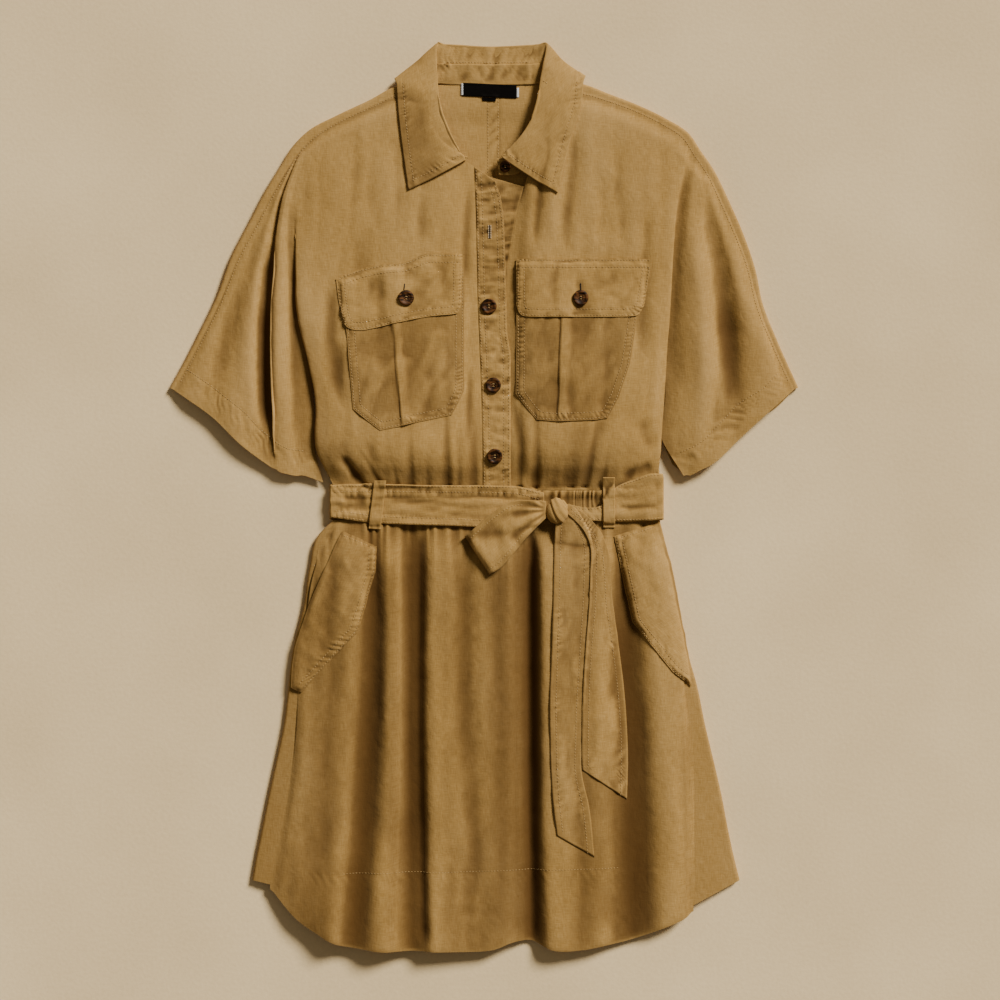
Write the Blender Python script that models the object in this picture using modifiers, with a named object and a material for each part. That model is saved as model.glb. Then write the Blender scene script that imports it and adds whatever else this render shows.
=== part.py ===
"""Shirt dress laid flat on its back: every cut and sewn piece as a closed wall of cloth.

The tables are in millimetres and the scene is in metres. +Z is up, +Y points to the collar,
and left and right are as seen from above. The ground is z = 0.

Panels are lofted. A panel is a set of lines that run from its top seam to its bottom edge, each
line with a point at a few levels, and a smooth surface passes through all of them. That surface is
the outer face of the cloth, and Solidify gives it its wall. What lies on a panel (pockets, flaps,
belt, label, buttons) drops its own grid on the panel's top and is then moved out by a small gap.
"""

import math
from typing import NamedTuple

import bpy
import numpy as np
from mathutils import Vector
from mathutils.bvhtree import BVHTree

# ---------------------------------------------------------------- driving sizes, in millimetres
MM = 0.001
CLOTH = 1.2  # wall of a single panel
DOUBLED = 1.4  # wall of the collar, flaps and belt, which are sewn double
SEAM_GAP = 0.7  # between two panels that are sewn edge to edge
LIE_GAP = 0.35  # between a piece and what it lies on
MIDDLE_X = -1.5  # middle of the span from cuff to cuff, which becomes x = 0

WAIST_TOP = 6.0  # y of the seam between bodice and waist casing
WAIST_BOTTOM = -25.0  # y of the seam between casing and skirt
BELT_TOP = 12.0
BELT_BOTTOM = -28.0
BELT_WALL = 1.5
BACK_LIFT_AT_WAIST = 2.0  # the back lies over the belt here
BACK_LIFT_AT_NECK = 1.9  # and over the fall of the collar here
BUTTON_DIAMETER = 16.0
NECK_BUTTON_DIAMETER = 11.5

LINEN = (0.40, 0.26, 0.11)
HORN = (0.030, 0.014, 0.006)
LABEL_BLACK = (0.006, 0.006, 0.007)

COLLECTION_NAME = "shirt_dress"


# ---------------------------------------------------------------- tables
class FoldRow(NamedTuple):
    """A point of the fold along shoulder and sleeve top, where the back rolls over to the front."""

    x: float
    y: float
    inset: float  # how far inside the fold the seam to the front lies
    height: float  # height of the outer face at that seam


class Line(NamedTuple):
    """A line down a front panel. top is a point, or the share of the top seam where it starts."""

    name: str
    top: tuple | float
    yoke: tuple
    chest: tuple
    rib: tuple
    blouse: tuple
    bottom: tuple


class BackLine(NamedTuple):
    """A line down a back panel: where it starts on the neck seam or the top fold, and its end."""

    start: tuple | float
    end: tuple


class Gather(NamedTuple):
    """A crease in the cloth above the belt: a trough that rises from the waist seam."""

    x: float
    lean: float  # sideways run for each millimetre up
    half_width: float
    depth: float
    reach: float


class SkirtLine(NamedTuple):
    """A ridge or valley down the front of the skirt, with its place and height at each level."""

    name: str
    waist_x: float
    hip_x: float
    thigh_x: float
    low_x: float
    hem_x: float
    hem_y: float
    waist_z: float
    hip_z: float
    thigh_z: float
    low_z: float


class SideRow(NamedTuple):
    """The two side folds of the skirt, and how far each wraps forward to its seam."""

    y: float
    left: float
    left_wrap: float
    right: float
    right_wrap: float


TOP_FOLD_LEFT = (
    FoldRow(-60, 430, 10, 7.4),
    FoldRow(-80, 429, 9.5, 7.4),
    FoldRow(-93, 426.5, 8, 7.4),
    FoldRow(-122, 412, 6.5, 7.2),
    FoldRow(-154, 397, 6, 7.0),
    FoldRow(-186, 379.5, 8.5, 7.0),
    FoldRow(-202, 363, 9, 7.0),
    FoldRow(-213, 345, 8.5, 7.0),
    FoldRow(-227.5, 321.5, 8.5, 7.0),
    FoldRow(-245, 288, 8, 7.0),
    FoldRow(-265.5, 248, 7, 6.8),
    FoldRow(-280.5, 207, 6, 6.6),
    FoldRow(-296, 175, 5.5, 6.4),
    FoldRow(-315.5, 137, 5, 6.0),
    FoldRow(-329, 113, 5, 5.6),
)

TOP_FOLD_RIGHT = (
    FoldRow(70, 430, 10, 7.4),
    FoldRow(88, 431, 9.5, 7.4),
    FoldRow(103, 428.5, 8.5, 7.4),
    FoldRow(128.5, 419, 6, 7.2),
    FoldRow(157, 408, 5.5, 7.0),
    FoldRow(185.5, 394.5, 5.5, 7.0),
    FoldRow(212.5, 377, 6, 7.0),
    FoldRow(224, 360, 6.5, 7.0),
    FoldRow(236.5, 342, 6.5, 7.0),
    FoldRow(252.5, 310, 7, 7.0),
    FoldRow(268.5, 273.5, 7, 6.8),
    FoldRow(281, 237, 6, 6.6),
    FoldRow(289, 200, 5.5, 6.4),
    FoldRow(304, 162, 5, 6.0),
    FoldRow(326, 113, 5, 5.6),
)

LEVELS = (0.0, 0.25, 0.50, 0.76, 0.91, 1.0)  # share of a line at each level of the front tables
FRONT_STEPS = (2, 3, 4, 3, 3)  # rows between two levels
FRONT_COLUMN = 8.0  # width of a column, where the lines aren't nearer than that
LEFT_CORNER = 0.403  # share of the top seam where the shoulder line turns down the sleeve
RIGHT_CORNER = 0.440
LEFT_UNDERARM = 0.61  # share of a line where body side and sleeve part
RIGHT_UNDERARM = 0.68

FRONT_LEFT = (
    Line("placket seam", (-12, 343, 8.2), (-10, 290, 8.4), (-8, 200, 9.0), (-4, 95, 11.0),
         (-3, 40, 13.4), (-3, 6.2, 6.4)),
    Line("inner chest", (-36, 358, 7.8), (-36, 291, 8.6), (-37, 200, 9.4), (-38, 95, 12.4),
         (-38, 40, 15.4), (-38, 6.2, 6.4)),
    Line("middle chest", (-54, 382, 7.6), (-68, 295, 9.0), (-74, 200, 9.8), (-78, 95, 13.4),
         (-79, 40, 16.4), (-80, 6.2, 6.4)),
    Line("neck point", 0.004, (-92, 298, 9.2), (-96, 200.5, 9.9), (-98, 95, 13.6),
         (-99, 40, 16), (-100, 6.2, 6.4)),
    Line("pocket side", 0.12, (-118, 300, 9.4), (-118, 201, 10.0), (-119, 95, 13.4),
         (-120, 40, 15.4), (-121, 6.2, 6.4)),
    Line("outer chest", 0.20, (-152, 303, 9.8), (-148, 203, 10.4), (-146, 95, 12.8),
         (-146, 40, 13.8), (-142, 6.4, 6.3)),
    Line("side ridge", 0.262, (-182, 303, 9.6), (-184, 204, 10.2), (-166, 94, 10.8),
         (-164, 40, 10.6), (-151.5, 7, 6.0)),
    Line("side fold edge", 0.292, (-193, 302, 9.2), (-196, 204, 8.3), (-176.5, 93, 7.7),
         (-174, 42, 7.2), (-156.8, 7.5, 5.4)),
    Line("side seam", 0.302, (-197, 301, 8.9), (-191.5, 203, 5.5), (-171, 93, 3.2),
         (-168.5, 41, 3.2), (-153.4, 7.5, 4.8)),
    Line("underarm", 0.311, (-200, 300, 8.7), (-190.3, 202, 4.1), (-190, 100, 3.2),
         (-189, 52, 3.2), (-188, 21, 4.9)),
    Line("sleeve floor", 0.320, (-203, 299, 8.8), (-200.5, 202, 3.6), (-198, 101, 4.4),
         (-198, 54, 4.8), (-197, 21, 5.2)),
    Line("sleeve inner ridge", 0.329, (-207, 299, 9.4), (-211, 202, 8.8), (-209, 103, 8.4),
         (-208, 57, 7.9), (-207, 23, 6.4)),
    Line("deep fold ridge", 0.338, (-210, 298.5, 9.6), (-218, 201, 9.6), (-217, 105, 9.2),
         (-215.5, 60, 8.4), (-214, 25, 6.6)),
    Line("deep fold edge", 0.347, (-214, 298, 8.0), (-223.5, 200.5, 7.7), (-223.5, 106, 7.4),
         (-221.5, 61, 7.3), (-218, 28, 6.4)),
    Line("deep fold return", 0.355, (-211.8, 297.5, 5.9), (-220.6, 200, 5.5), (-221, 106.5, 5.5),
         (-220.8, 61.5, 6.0), (-221, 29, 6.1)),
    Line("deep fold valley", 0.363, (-214.3, 297, 4.1), (-224.2, 200, 3.5), (-225.7, 107, 3.7),
         (-225, 62.5, 4.9), (-224.5, 31, 5.7)),
    Line("sleeve ridge", 0.373, (-221, 295, 7.2), (-240, 206, 9.0), (-251, 122, 9.2),
         (-255, 80, 8.6), (-254, 53, 7.8)),
    Line("sleeve soft valley", 0.383, (-227, 292, 7.0), (-252, 214, 7.4), (-274, 141, 7.2),
         (-282, 105, 7.2), (-284, 82, 6.9)),
    Line("sleeve top ridge", 0.393, (-232, 289, 7.4), (-260, 222, 8.0), (-289, 156, 7.8),
         (-302.5, 123, 7.4), (-309, 100, 6.9)),
)

FRONT_RIGHT = (
    Line("placket seam", (40, 322, 6.4), (31, 284, 6.6), (20, 200, 7.1), (21, 95, 9.1),
         (21, 40, 11.4), (21, 6.2, 4.7)),
    Line("beside placket", (45, 336, 6.9), (37, 286, 7.1), (28, 200, 7.4), (28.5, 95, 9.5),
         (28.5, 40, 11.8), (28.5, 6.2, 5.2)),
    Line("inner chest", (58, 368, 7.2), (54, 290, 8.4), (52, 200, 9.2), (52, 95, 12.4),
         (52, 40, 15.4), (52, 6.2, 6.4)),
    Line("middle chest", (67, 400, 7.4), (80, 296, 9.0), (82, 200, 9.6), (84, 95, 13.4),
         (84, 40, 16.4), (84, 6.2, 6.4)),
    Line("pocket middle", 0.004, (100, 298, 9.2), (102, 200, 9.8), (103, 95, 13.6),
         (103, 40, 16.2), (103, 6.2, 6.4)),
    Line("pocket side", 0.13, (124, 300, 9.4), (124, 200, 10.0), (123, 95, 13.4),
         (122, 42, 15.4), (122, 6.2, 6.4)),
    Line("outer chest", 0.26, (158, 303, 9.6), (154, 201, 10.4), (152, 95, 13.4),
         (151, 46, 13.2), (150, 6.4, 6.3)),
    Line("side ridge", 0.352, (190, 305, 9.2), (183, 203, 10.0), (177, 96, 11.4),
         (174, 54, 9.8), (173, 7, 6.0)),
    Line("side fold edge", 0.368, (199, 306, 7.8), (192, 203, 8.2), (186, 97, 7.7),
         (182.5, 54, 7.2), (179.4, 7.5, 5.4)),
    Line("side seam", 0.377, (200.5, 305.5, 5.6), (188, 203, 5.5), (180, 97, 3.2),
         (177, 54, 3.2), (174.6, 7.5, 4.8)),
    Line("underarm", 0.386, (202.3, 305, 4.4), (189.6, 202, 4.0), (186.8, 100, 3.2),
         (184, 58, 3.2), (206, 21, 4.9)),
    Line("sleeve floor", 0.395, (205, 304.5, 5.0), (196, 201, 3.8), (194.5, 103, 4.4),
         (194, 61, 4.8), (213, 21.5, 5.2)),
    Line("sleeve inner ridge", 0.404, (212, 302, 8.6), (210, 203, 8.6), (209, 112, 8.2),
         (210, 68, 8.0), (222, 26, 7.2)),
    Line("sleeve middle", 0.413, (222, 299, 8.8), (230, 207, 9.4), (234, 126, 9.4),
         (236, 84, 8.9), (240, 36, 8.0)),
    Line("sleeve soft valley", 0.422, (232, 296, 7.6), (248, 217, 6.8), (259, 145, 6.4),
         (264, 104, 6.6), (265, 60, 6.6)),
    Line("sleeve top ridge", 0.431, (241, 293, 8.0), (260, 232, 8.4), (278, 172, 8.4),
         (288, 128, 7.8), (291, 84, 7.0)),
)

GATHERS = (
    Gather(-129, -0.55, 5, 4.5, 34),
    Gather(-96, -0.20, 6, 2.5, 40),
    Gather(-65, -0.30, 5, 4.5, 40),
    Gather(-51, -0.10, 4, 1.5, 30),
    Gather(-35, 0.00, 4, 4.5, 58),
    Gather(-20, 0.05, 4, 2.5, 40),
    Gather(37, 0.00, 5, 4.0, 60),
    Gather(55, 0.10, 4, 2.5, 34),
    Gather(72, 0.05, 4, 1.5, 30),
    Gather(88, 0.10, 5, 4.0, 40),
    Gather(101, 0.00, 4, 2.0, 28),
    Gather(116, 0.15, 5, 3.5, 44),
    Gather(140, 0.60, 6, 3.5, 34),
)

# Sleeve hems, from the cuff tip to the underarm.
SLEEVE_HEM_LEFT = ((-327, 114), (-299, 95), (-267, 70), (-251, 52), (-227, 33), (-212, 25.5), (-189, 22.5))
SLEEVE_HEM_RIGHT = ((324, 114), (303, 92), (279, 78), (264, 62), (242, 39), (226, 29), (208, 22))

BACK_SEAM_X = 14.5
BACK_LEFT = (
    BackLine((BACK_SEAM_X - 0.2, 428.4), (BACK_SEAM_X - 0.2, 6.2)),
    BackLine((-12, 429), (-14, 6.2)),
    BackLine((-38, 429.6), (-40, 6.2)),
    BackLine(0.00, (-62, 6.2)),
    BackLine(0.08, (-97, 6.2)),
    BackLine(0.15, (-125, 6.2)),
    BackLine(0.21, (-144, 6.2)),
    BackLine(0.26, (-153.6, 8)),
    BackLine(0.30, (-165, 40)),
    BackLine(0.35, (-170.5, 92)),
    BackLine(0.43, (-190.5, 150)),
    BackLine(0.51, (-191, 124)),
    BackLine(0.61, (-190.5, 98)),
    BackLine(0.73, (-190, 70)),
    BackLine(0.87, (-189, 45)),
    BackLine(1.00, (-189, 22.5)),
)
BACK_RIGHT = (
    BackLine((BACK_SEAM_X + 0.2, 428.4), (BACK_SEAM_X + 0.2, 6.2)),
    BackLine((34, 429), (36, 6.2)),
    BackLine((54, 429.6), (54, 6.2)),
    BackLine(0.00, (72, 6.2)),
    BackLine(0.08, (104, 6.2)),
    BackLine(0.15, (134, 6.2)),
    BackLine(0.205, (160, 6.2)),
    BackLine(0.245, (174, 8)),
    BackLine(0.285, (175, 50)),
    BackLine(0.325, (178.4, 92)),
    BackLine(0.40, (186, 122)),
    BackLine(0.50, (187, 104)),
    BackLine(0.62, (185, 74)),
    BackLine(0.75, (186.5, 52)),
    BackLine(0.87, (195, 33)),
    BackLine(1.00, (208, 22)),
)
BACK_STEPS = 2  # columns between two lines of the back's table that start on the top fold
ROLL_ANGLES = (90, 132, 180, 228, 270)  # degrees round the fold, from its top to the ground
BACK_SHARES = (0.0, 0.055, 0.12, 0.40, 0.68, 0.90, 0.96, 1.0)

SKIRT_SIDES = (
    SideRow(-25.3, -158.8, 5, 181.2, 5),
    SideRow(-31, -165, 5.5, 183, 5.5),
    SideRow(-37, -171, 6, 184.5, 6),
    SideRow(-75, -183.5, 6, 193, 6),
    SideRow(-112, -189, 6.5, 200, 6),
    SideRow(-162, -201, 8, 210.5, 6.5),
    SideRow(-200, -205.5, 10, 221, 8),
    SideRow(-237, -210, 13, 228.5, 14),
    SideRow(-275, -218, 17, 237.5, 21),
    SideRow(-312, -226, 20, 246, 29),
    SideRow(-349, -233.5, 20, 253, 36),
    SideRow(-387, -241, 19, 261.5, 44),
    SideRow(-399.5, -243, 19, 264.7, 48.5),
)
SKIRT_SIDE_HEIGHT = 6.4
SKIRT_BACK_ROWS = 12
SKIRT_BACK_COLUMNS = 8
SKIRT_FRONT_ROWS = 12
SIDE_SEAM_DROP_LEFT = 4.5  # how much lower the hem is at the side seam than at the fold
SIDE_SEAM_DROP_RIGHT = 26.0
SKIRT_LEVELS = (0.0, 0.10, 0.32, 0.70, 1.0)
SKIRT_LEVEL_Y = (-25.3, -65.0, -150.0, -300.0)

SKIRT_LINES = (
    SkirtLine("left ridge", -149, -164, -177, -190, -198, -437.5, 6.6, 8.4, 8.8, 9.2),
    SkirtLine("left soft valley", -142, -150, -160, -173, -176, -455, 6.2, 6.6, 6.8, 7.0),
    SkirtLine("left broad ridge", -131, -136, -141, -153, -157, -463.5, 6.8, 10.0, 11.5, 11.5),
    SkirtLine("valley under flap", -114, -114, -116.5, -124.5, -133, -468.5, 5.8, 5.8, 4.6, 4.2),
    SkirtLine("broad ridge", -91, -91, -91, -93, -101, -472.2, 6.8, 11.0, 12.6, 12.4),
    SkirtLine("narrow valley", -68, -68, -67, -67, -68, -472.2, 5.6, 4.4, 3.4, 3.4),
    SkirtLine("ridge by middle", -48, -48, -47, -46, -43, -472.6, 6.8, 11.0, 13.0, 12.8),
    SkirtLine("middle soft valley", -24.5, -24.5, -25, -18, -8, -472.6, 6.0, 7.2, 6.6, 6.2),
    SkirtLine("middle ridge", -4, -4, -3.6, 2.6, 13, -471, 6.8, 11.0, 12.6, 12.2),
    SkirtLine("soft valley by middle", 18, 20, 23, 27, 30, -468, 6.2, 8.8, 8.6, 8.2),
    SkirtLine("narrow ridge", 34, 35, 36, 38, 43, -464.6, 6.8, 10.4, 11.6, 11.4),
    SkirtLine("valley by tail", 49.4, 49.4, 49.4, 51.5, 55.5, -462.5, 5.6, 4.6, 3.5, 3.5),
    SkirtLine("ridge under tails", 77, 79, 88, 93, 98, -471, 6.8, 10.8, 12.0, 12.2),
    SkirtLine("soft valley under tails", 108, 110, 116, 126, 130, -471, 6.2, 7.8, 7.4, 7.4),
    SkirtLine("ridge by right flap", 124, 128, 134, 142, 148, -467.5, 6.8, 9.6, 10.8, 10.8),
    SkirtLine("valley by right flap", 140, 145, 149, 154.5, 164, -461, 5.8, 5.2, 4.2, 4.2),
    SkirtLine("right broad ridge", 156, 164, 178, 188, 193, -446.5, 6.8, 9.8, 11.4, 11.4),
    SkirtLine("right soft valley", 168, 177, 193, 205, 207, -437.5, 6.2, 6.8, 7.2, 7.2),
)
FRONT_SIDE_HEM = ((-222.6, -409), (215.2, -431.5))  # the front's two hem corners
BACK_HEM = ((-243, -399.5), (-223, -406), (-203, -421), (-166, -450), (-130, -462), (-68, -469),
            (-11, -469), (46, -461), (119, -468), (163, -458), (190, -446), (216, -426), (236, -412),
            (264.7, -399.5))


# ---------------------------------------------------------------- curves and surfaces
def through(knots, values, at):
    """Smooth curve through values at knots. Each inner slope weighs its two neighbours by nearness."""
    knots = np.asarray(knots, float)
    values = np.asarray(values, float)
    at = np.clip(np.asarray(at, float), knots[0], knots[-1])
    widen = (slice(None),) + (None,) * (values.ndim - 1)
    span = np.diff(knots)[widen]
    slope = np.diff(values, axis=0) / span
    tangent = np.concatenate([slope[:1], slope[:-1], slope[-1:]])
    tangent[1:-1] = (slope[:-1] * span[1:] + slope[1:] * span[:-1]) / (span[:-1] + span[1:])
    tangent[-1] = slope[-1]
    piece = np.clip(np.searchsorted(knots, at, side="right") - 1, 0, len(knots) - 2)
    t = ((at - knots[piece]) / (knots[piece + 1] - knots[piece]))[widen]
    width = span[piece]
    return (
        (2 * t**3 - 3 * t**2 + 1) * values[piece]
        + (t**3 - 2 * t**2 + t) * width * tangent[piece]
        + (3 * t**2 - 2 * t**3) * values[piece + 1]
        + (t**3 - t**2) * width * tangent[piece + 1]
    )


def shares_of_length(points):
    """Share of the polyline's length at each of its points, from 0 to 1."""
    steps = np.linalg.norm(np.diff(np.asarray(points, float), axis=0), axis=1)
    return np.concatenate([[0.0], np.cumsum(steps)]) / steps.sum()


def refined(knots, steps):
    """The knots with even values added, so that gap i is cut into steps[i], or all into steps."""
    counts = np.broadcast_to(steps, len(knots) - 1)
    fine = [np.linspace(a, b, count, endpoint=False) for a, b, count in zip(knots[:-1], knots[1:], counts)]
    return np.append(np.concatenate(fine), knots[-1])


def smoothstep(value):
    """0 below 0, 1 above 1, and a smooth rise between."""
    value = np.clip(value, 0.0, 1.0)
    return value * value * (3.0 - 2.0 * value)


def loft(stations, levels, steps, rows):
    """Grid [row, column, xyz] of the smooth surface through stations [level, line, xyz].

    rows are the shares of a line at which the grid has a row. Across the lines the knots follow
    the square root of the gap, so a tight fold keeps its shape.
    """
    gaps = np.linalg.norm(np.diff(stations, axis=1), axis=2).mean(axis=0)
    knots = np.concatenate([[0.0], np.cumsum(np.sqrt(gaps))])
    down = through(levels, stations, rows)
    across = through(knots, down.transpose(1, 0, 2), refined(knots, steps))
    return across.transpose(1, 0, 2)


def steps_between(stations, width):
    """How many columns each gap between two lines takes, so that none is much over width."""
    gaps = np.linalg.norm(np.diff(stations, axis=1), axis=2).mean(axis=0)
    return np.maximum(1, np.rint(gaps / width)).astype(int)


def back_lift(x, y):
    """Height of the back's underside: it lies on the ground but for the belt and the collar."""
    waist_middle = (BELT_TOP + BELT_BOTTOM) / 2
    at_waist = BACK_LIFT_AT_WAIST * smoothstep(1.0 - (np.abs(y - waist_middle) - 30.0) / 20.0)
    neck = smoothstep((y - 385.0) / 22.0) * smoothstep(1.0 - (np.abs(x - 4.0) - 98.0) / 22.0)
    return np.maximum(at_waist, BACK_LIFT_AT_NECK * neck)


class TopFold:
    """The fold from the neck over the shoulder and down the sleeve, and the seam inside it."""

    def __init__(self, rows, turn, back_lines):
        """turn is 1 on the left and -1 on the right, where inwards is the other hand."""
        self.turn = turn
        self.rows = np.array(rows, float)
        self.knots = shares_of_length(self.rows[:, :2])
        starts = [line.start for line in back_lines if not isinstance(line.start, tuple)]
        self.shares = refined(np.array(starts), BACK_STEPS)

    def at(self, share, inset):
        """(x, y) at this share of the fold, moved in by inset."""
        share = np.atleast_1d(share)
        step = 0.004
        tangent = through(self.knots, self.rows[:, :2], share + step) - through(
            self.knots, self.rows[:, :2], share - step
        )
        tangent /= np.linalg.norm(tangent, axis=1, keepdims=True)
        inward = np.stack([-tangent[:, 1], tangent[:, 0]], axis=1) * self.turn
        return through(self.knots, self.rows[:, :2], share) + inward * np.reshape(inset, (-1, 1))

    def inset(self, share):
        """Distance from the fold to the seam."""
        return through(self.knots, self.rows[:, 2], np.atleast_1d(share))

    def height(self, share):
        """Height of the outer face at the seam."""
        return through(self.knots, self.rows[:, 3], np.atleast_1d(share))

    def seam(self):
        """(x, y, z) of the back's edge at each of its columns."""
        return np.column_stack([self.at(self.shares, self.inset(self.shares)), self.height(self.shares)])

    def front_edge(self, share):
        """(x, y, z) of the front's edge, one seam gap inside the straight runs of the back's edge."""
        seam = self.seam()
        run = np.clip(np.searchsorted(self.shares, share, side="right") - 1, 0, len(seam) - 2)
        part = (share - self.shares[run]) / (self.shares[run + 1] - self.shares[run])
        along = seam[run + 1] - seam[run]
        inward = np.array([-along[1], along[0], 0.0]) * self.turn / math.hypot(along[0], along[1])
        return seam[run] + part * along + SEAM_GAP * inward


LEFT_FOLD = TopFold(TOP_FOLD_LEFT, 1, BACK_LEFT)
RIGHT_FOLD = TopFold(TOP_FOLD_RIGHT, -1, BACK_RIGHT)


# ---------------------------------------------------------------- objects
def clear_scene():
    """Remove whatever the scene starts with."""
    for obj in list(bpy.data.objects):
        bpy.data.objects.remove(obj, do_unlink=True)


def new_material(name, colour, roughness):
    """A Principled material with one colour."""
    material = bpy.data.materials.new(name)
    material.use_nodes = True
    shader = material.node_tree.nodes["Principled BSDF"]
    shader.inputs["Base Color"].default_value = (*colour, 1.0)
    shader.inputs["Roughness"].default_value = roughness
    shader.inputs["Metallic"].default_value = 0.0
    return material


def link(obj, colour, roughness):
    """Give the object its material and put it in the dress's collection."""
    obj.data.materials.append(new_material(obj.name, colour, roughness))
    bpy.data.collections[COLLECTION_NAME].objects.link(obj)
    bpy.context.view_layer.update()
    return obj


def grid_mesh(name, grid, keep):
    """Mesh of the quads of a grid [row, column, xyz] in millimetres, without those keep leaves out."""
    rows, columns = grid.shape[:2]
    corner = np.arange(rows * columns).reshape(rows, columns)
    quads = np.stack([corner[:-1, :-1], corner[:-1, 1:], corner[1:, 1:], corner[1:, :-1]], axis=-1)
    quads = quads[keep]
    used, quads = np.unique(quads, return_inverse=True)
    points = (grid.reshape(-1, 3)[used] - (MIDDLE_X, 0.0, 0.0)) * MM
    mesh = bpy.data.meshes.new(name)
    mesh.from_pydata(points.tolist(), [], quads.reshape(-1, 4).tolist())
    mesh.update()
    return mesh


def add_sheet(name, grid, wall, outer=True, up=True, up_at=None, keep=None, colour=LINEN, roughness=0.9):
    """A closed wall of cloth on a grid of points.

    outer says that the grid is the outer face, so the wall grows inwards; otherwise the grid is the
    face that lies on something and the wall grows outwards. up says whether the outer face looks
    up at the quad up_at, the middle one by default.
    """
    if keep is None:
        keep = np.ones((grid.shape[0] - 1, grid.shape[1] - 1), bool)
    row, column = up_at or (grid.shape[0] // 2, (grid.shape[1] - 1) // 2)
    down_edge = grid[row + 1, column] - grid[row, column]
    side_edge = grid[row, column + 1] - grid[row, column]
    looks_up = np.cross(side_edge, down_edge)[2] > 0
    if looks_up != up:
        grid = grid[:, ::-1]
        keep = keep[:, ::-1]
    mesh = grid_mesh(name, grid, keep)
    mesh.shade_smooth()
    obj = bpy.data.objects.new(name, mesh)
    link(obj, colour, roughness)
    solidify = obj.modifiers.new("Wall", "SOLIDIFY")
    solidify.thickness = wall * MM
    solidify.offset = -1.0 if outer else 1.0
    bpy.context.view_layer.update()
    return obj


class Ground:
    """The top of the pieces already made, felt for with a plumb line."""

    def __init__(self, *names):
        graph = bpy.context.evaluated_depsgraph_get()
        self.trees = [BVHTree.FromObject(bpy.data.objects[name], graph) for name in names]

    def hit(self, x, y):
        """Highest (height, normal) under the point, or None over nothing."""
        origin = Vector(((x - MIDDLE_X) * MM, y * MM, 1.0))
        hits = [tree.ray_cast(origin, Vector((0.0, 0.0, -1.0))) for tree in self.trees]
        hits = [(place.z / MM, normal) for place, normal, _, _ in hits if place is not None]
        return max(hits, key=lambda found: found[0]) if hits else None

    def top(self, x, y, reach):
        """Highest cloth within reach of the point, or minus infinity."""
        best = -math.inf
        for turn in range(9):
            step = 0.0 if turn == 8 else reach
            angle = turn * math.pi / 4
            found = self.hit(x + step * math.cos(angle), y + step * math.sin(angle))
            if found:
                best = max(best, found[0])
        return best


def laid(grid, ground, reach=3.0, gap=LIE_GAP):
    """The grid with its points raised to lie just above the ground; none sinks below its own z."""
    grid = grid.copy()
    for point in grid.reshape(-1, 3):
        point[2] = max(point[2], ground.top(point[0], point[1], reach) + gap)
    share = np.linspace(0.0, 1.0, 7)
    worst = 0.0
    for row in range(grid.shape[0] - 1):
        for column in range(grid.shape[1] - 1):
            a, b = grid[row, column], grid[row, column + 1]
            c, d = grid[row + 1, column], grid[row + 1, column + 1]
            for u in share:
                for v in share:
                    spot = (a * (1 - u) + b * u) * (1 - v) + (c * (1 - u) + d * u) * v
                    found = ground.hit(spot[0], spot[1])
                    if found:
                        worst = max(worst, found[0] + gap - spot[2])
    grid[:, :, 2] += worst
    return grid


def ruled(first, last, rows, steps=1, height=0.0):
    """Grid between two edges given as tables of (x, y) with one row for each column of the grid.

    The edges are followed straight from point to point, with steps columns for each stretch.
    """
    knots = np.arange(len(first), dtype=float)
    at = refined(knots, steps)
    edges = []
    for edge in (first, last):
        edge = np.asarray(edge, float)
        edges.append(np.stack([np.interp(at, knots, edge[:, axis]) for axis in (0, 1)], axis=1))
    share = np.linspace(0.0, 1.0, rows + 1)[:, None, None]
    plan = edges[0][None] * (1 - share) + edges[1][None] * share
    return np.concatenate([plan, np.full(plan.shape[:2] + (1,), height)], axis=2)


def strip(table, across, steps):
    """Grid along a strip from a table of rows (x, y, z of one edge, x, y, z of the other)."""
    table = np.asarray(table, float)
    knots = shares_of_length((table[:, :3] + table[:, 3:]) / 2)
    table = through(knots, table, refined(knots, steps))
    share = np.linspace(0.0, 1.0, across + 1)[None, :, None]
    return table[:, None, :3] * (1 - share) + table[:, None, 3:] * share


# ---------------------------------------------------------------- bodice
def gathered(grid):
    """The front's grid with the creases that rise from the waist pressed into it."""
    grid = grid.copy()
    x, y = grid[:, :, 0], grid[:, :, 1]
    above = y - WAIST_TOP
    for gather in GATHERS:
        off = (x - gather.x - gather.lean * above) / gather.half_width
        fade = smoothstep(above / 6.0) * smoothstep((gather.reach - above) / (0.7 * gather.reach))
        grid[:, :, 2] -= gather.depth * np.exp(-off * off) * fade
    return grid


def front_grid(lines, fold, corner):
    """Grid of a front panel, from the placket out to the sleeve's top seam, and its underarm column."""
    table = []
    for line in lines:
        top = line.top if isinstance(line.top, tuple) else fold.front_edge(line.top)
        table.append((top, *line[2:]))
    table.append([fold.front_edge(corner + (1.0 - corner) * level) for level in LEVELS])
    stations = np.array(table, float).transpose(1, 0, 2)
    steps = steps_between(stations, FRONT_COLUMN)
    rows = refined(LEVELS, FRONT_STEPS)
    grid = gathered(loft(stations, LEVELS, steps, rows))

    seam_lines = [index for index, line in enumerate(lines) if not isinstance(line.top, tuple)]
    first = steps[:seam_lines[0]].sum()
    shares = refined([lines[index].top for index in seam_lines] + [corner], steps[seam_lines[0]:])
    grid[0, first:] = [fold.front_edge(share) for share in shares]
    grid[:, -1] = [fold.front_edge(corner + (1.0 - corner) * row) for row in rows]
    side_seam = [line.name for line in lines].index("side seam")
    return grid, steps[:side_seam].sum()


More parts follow.
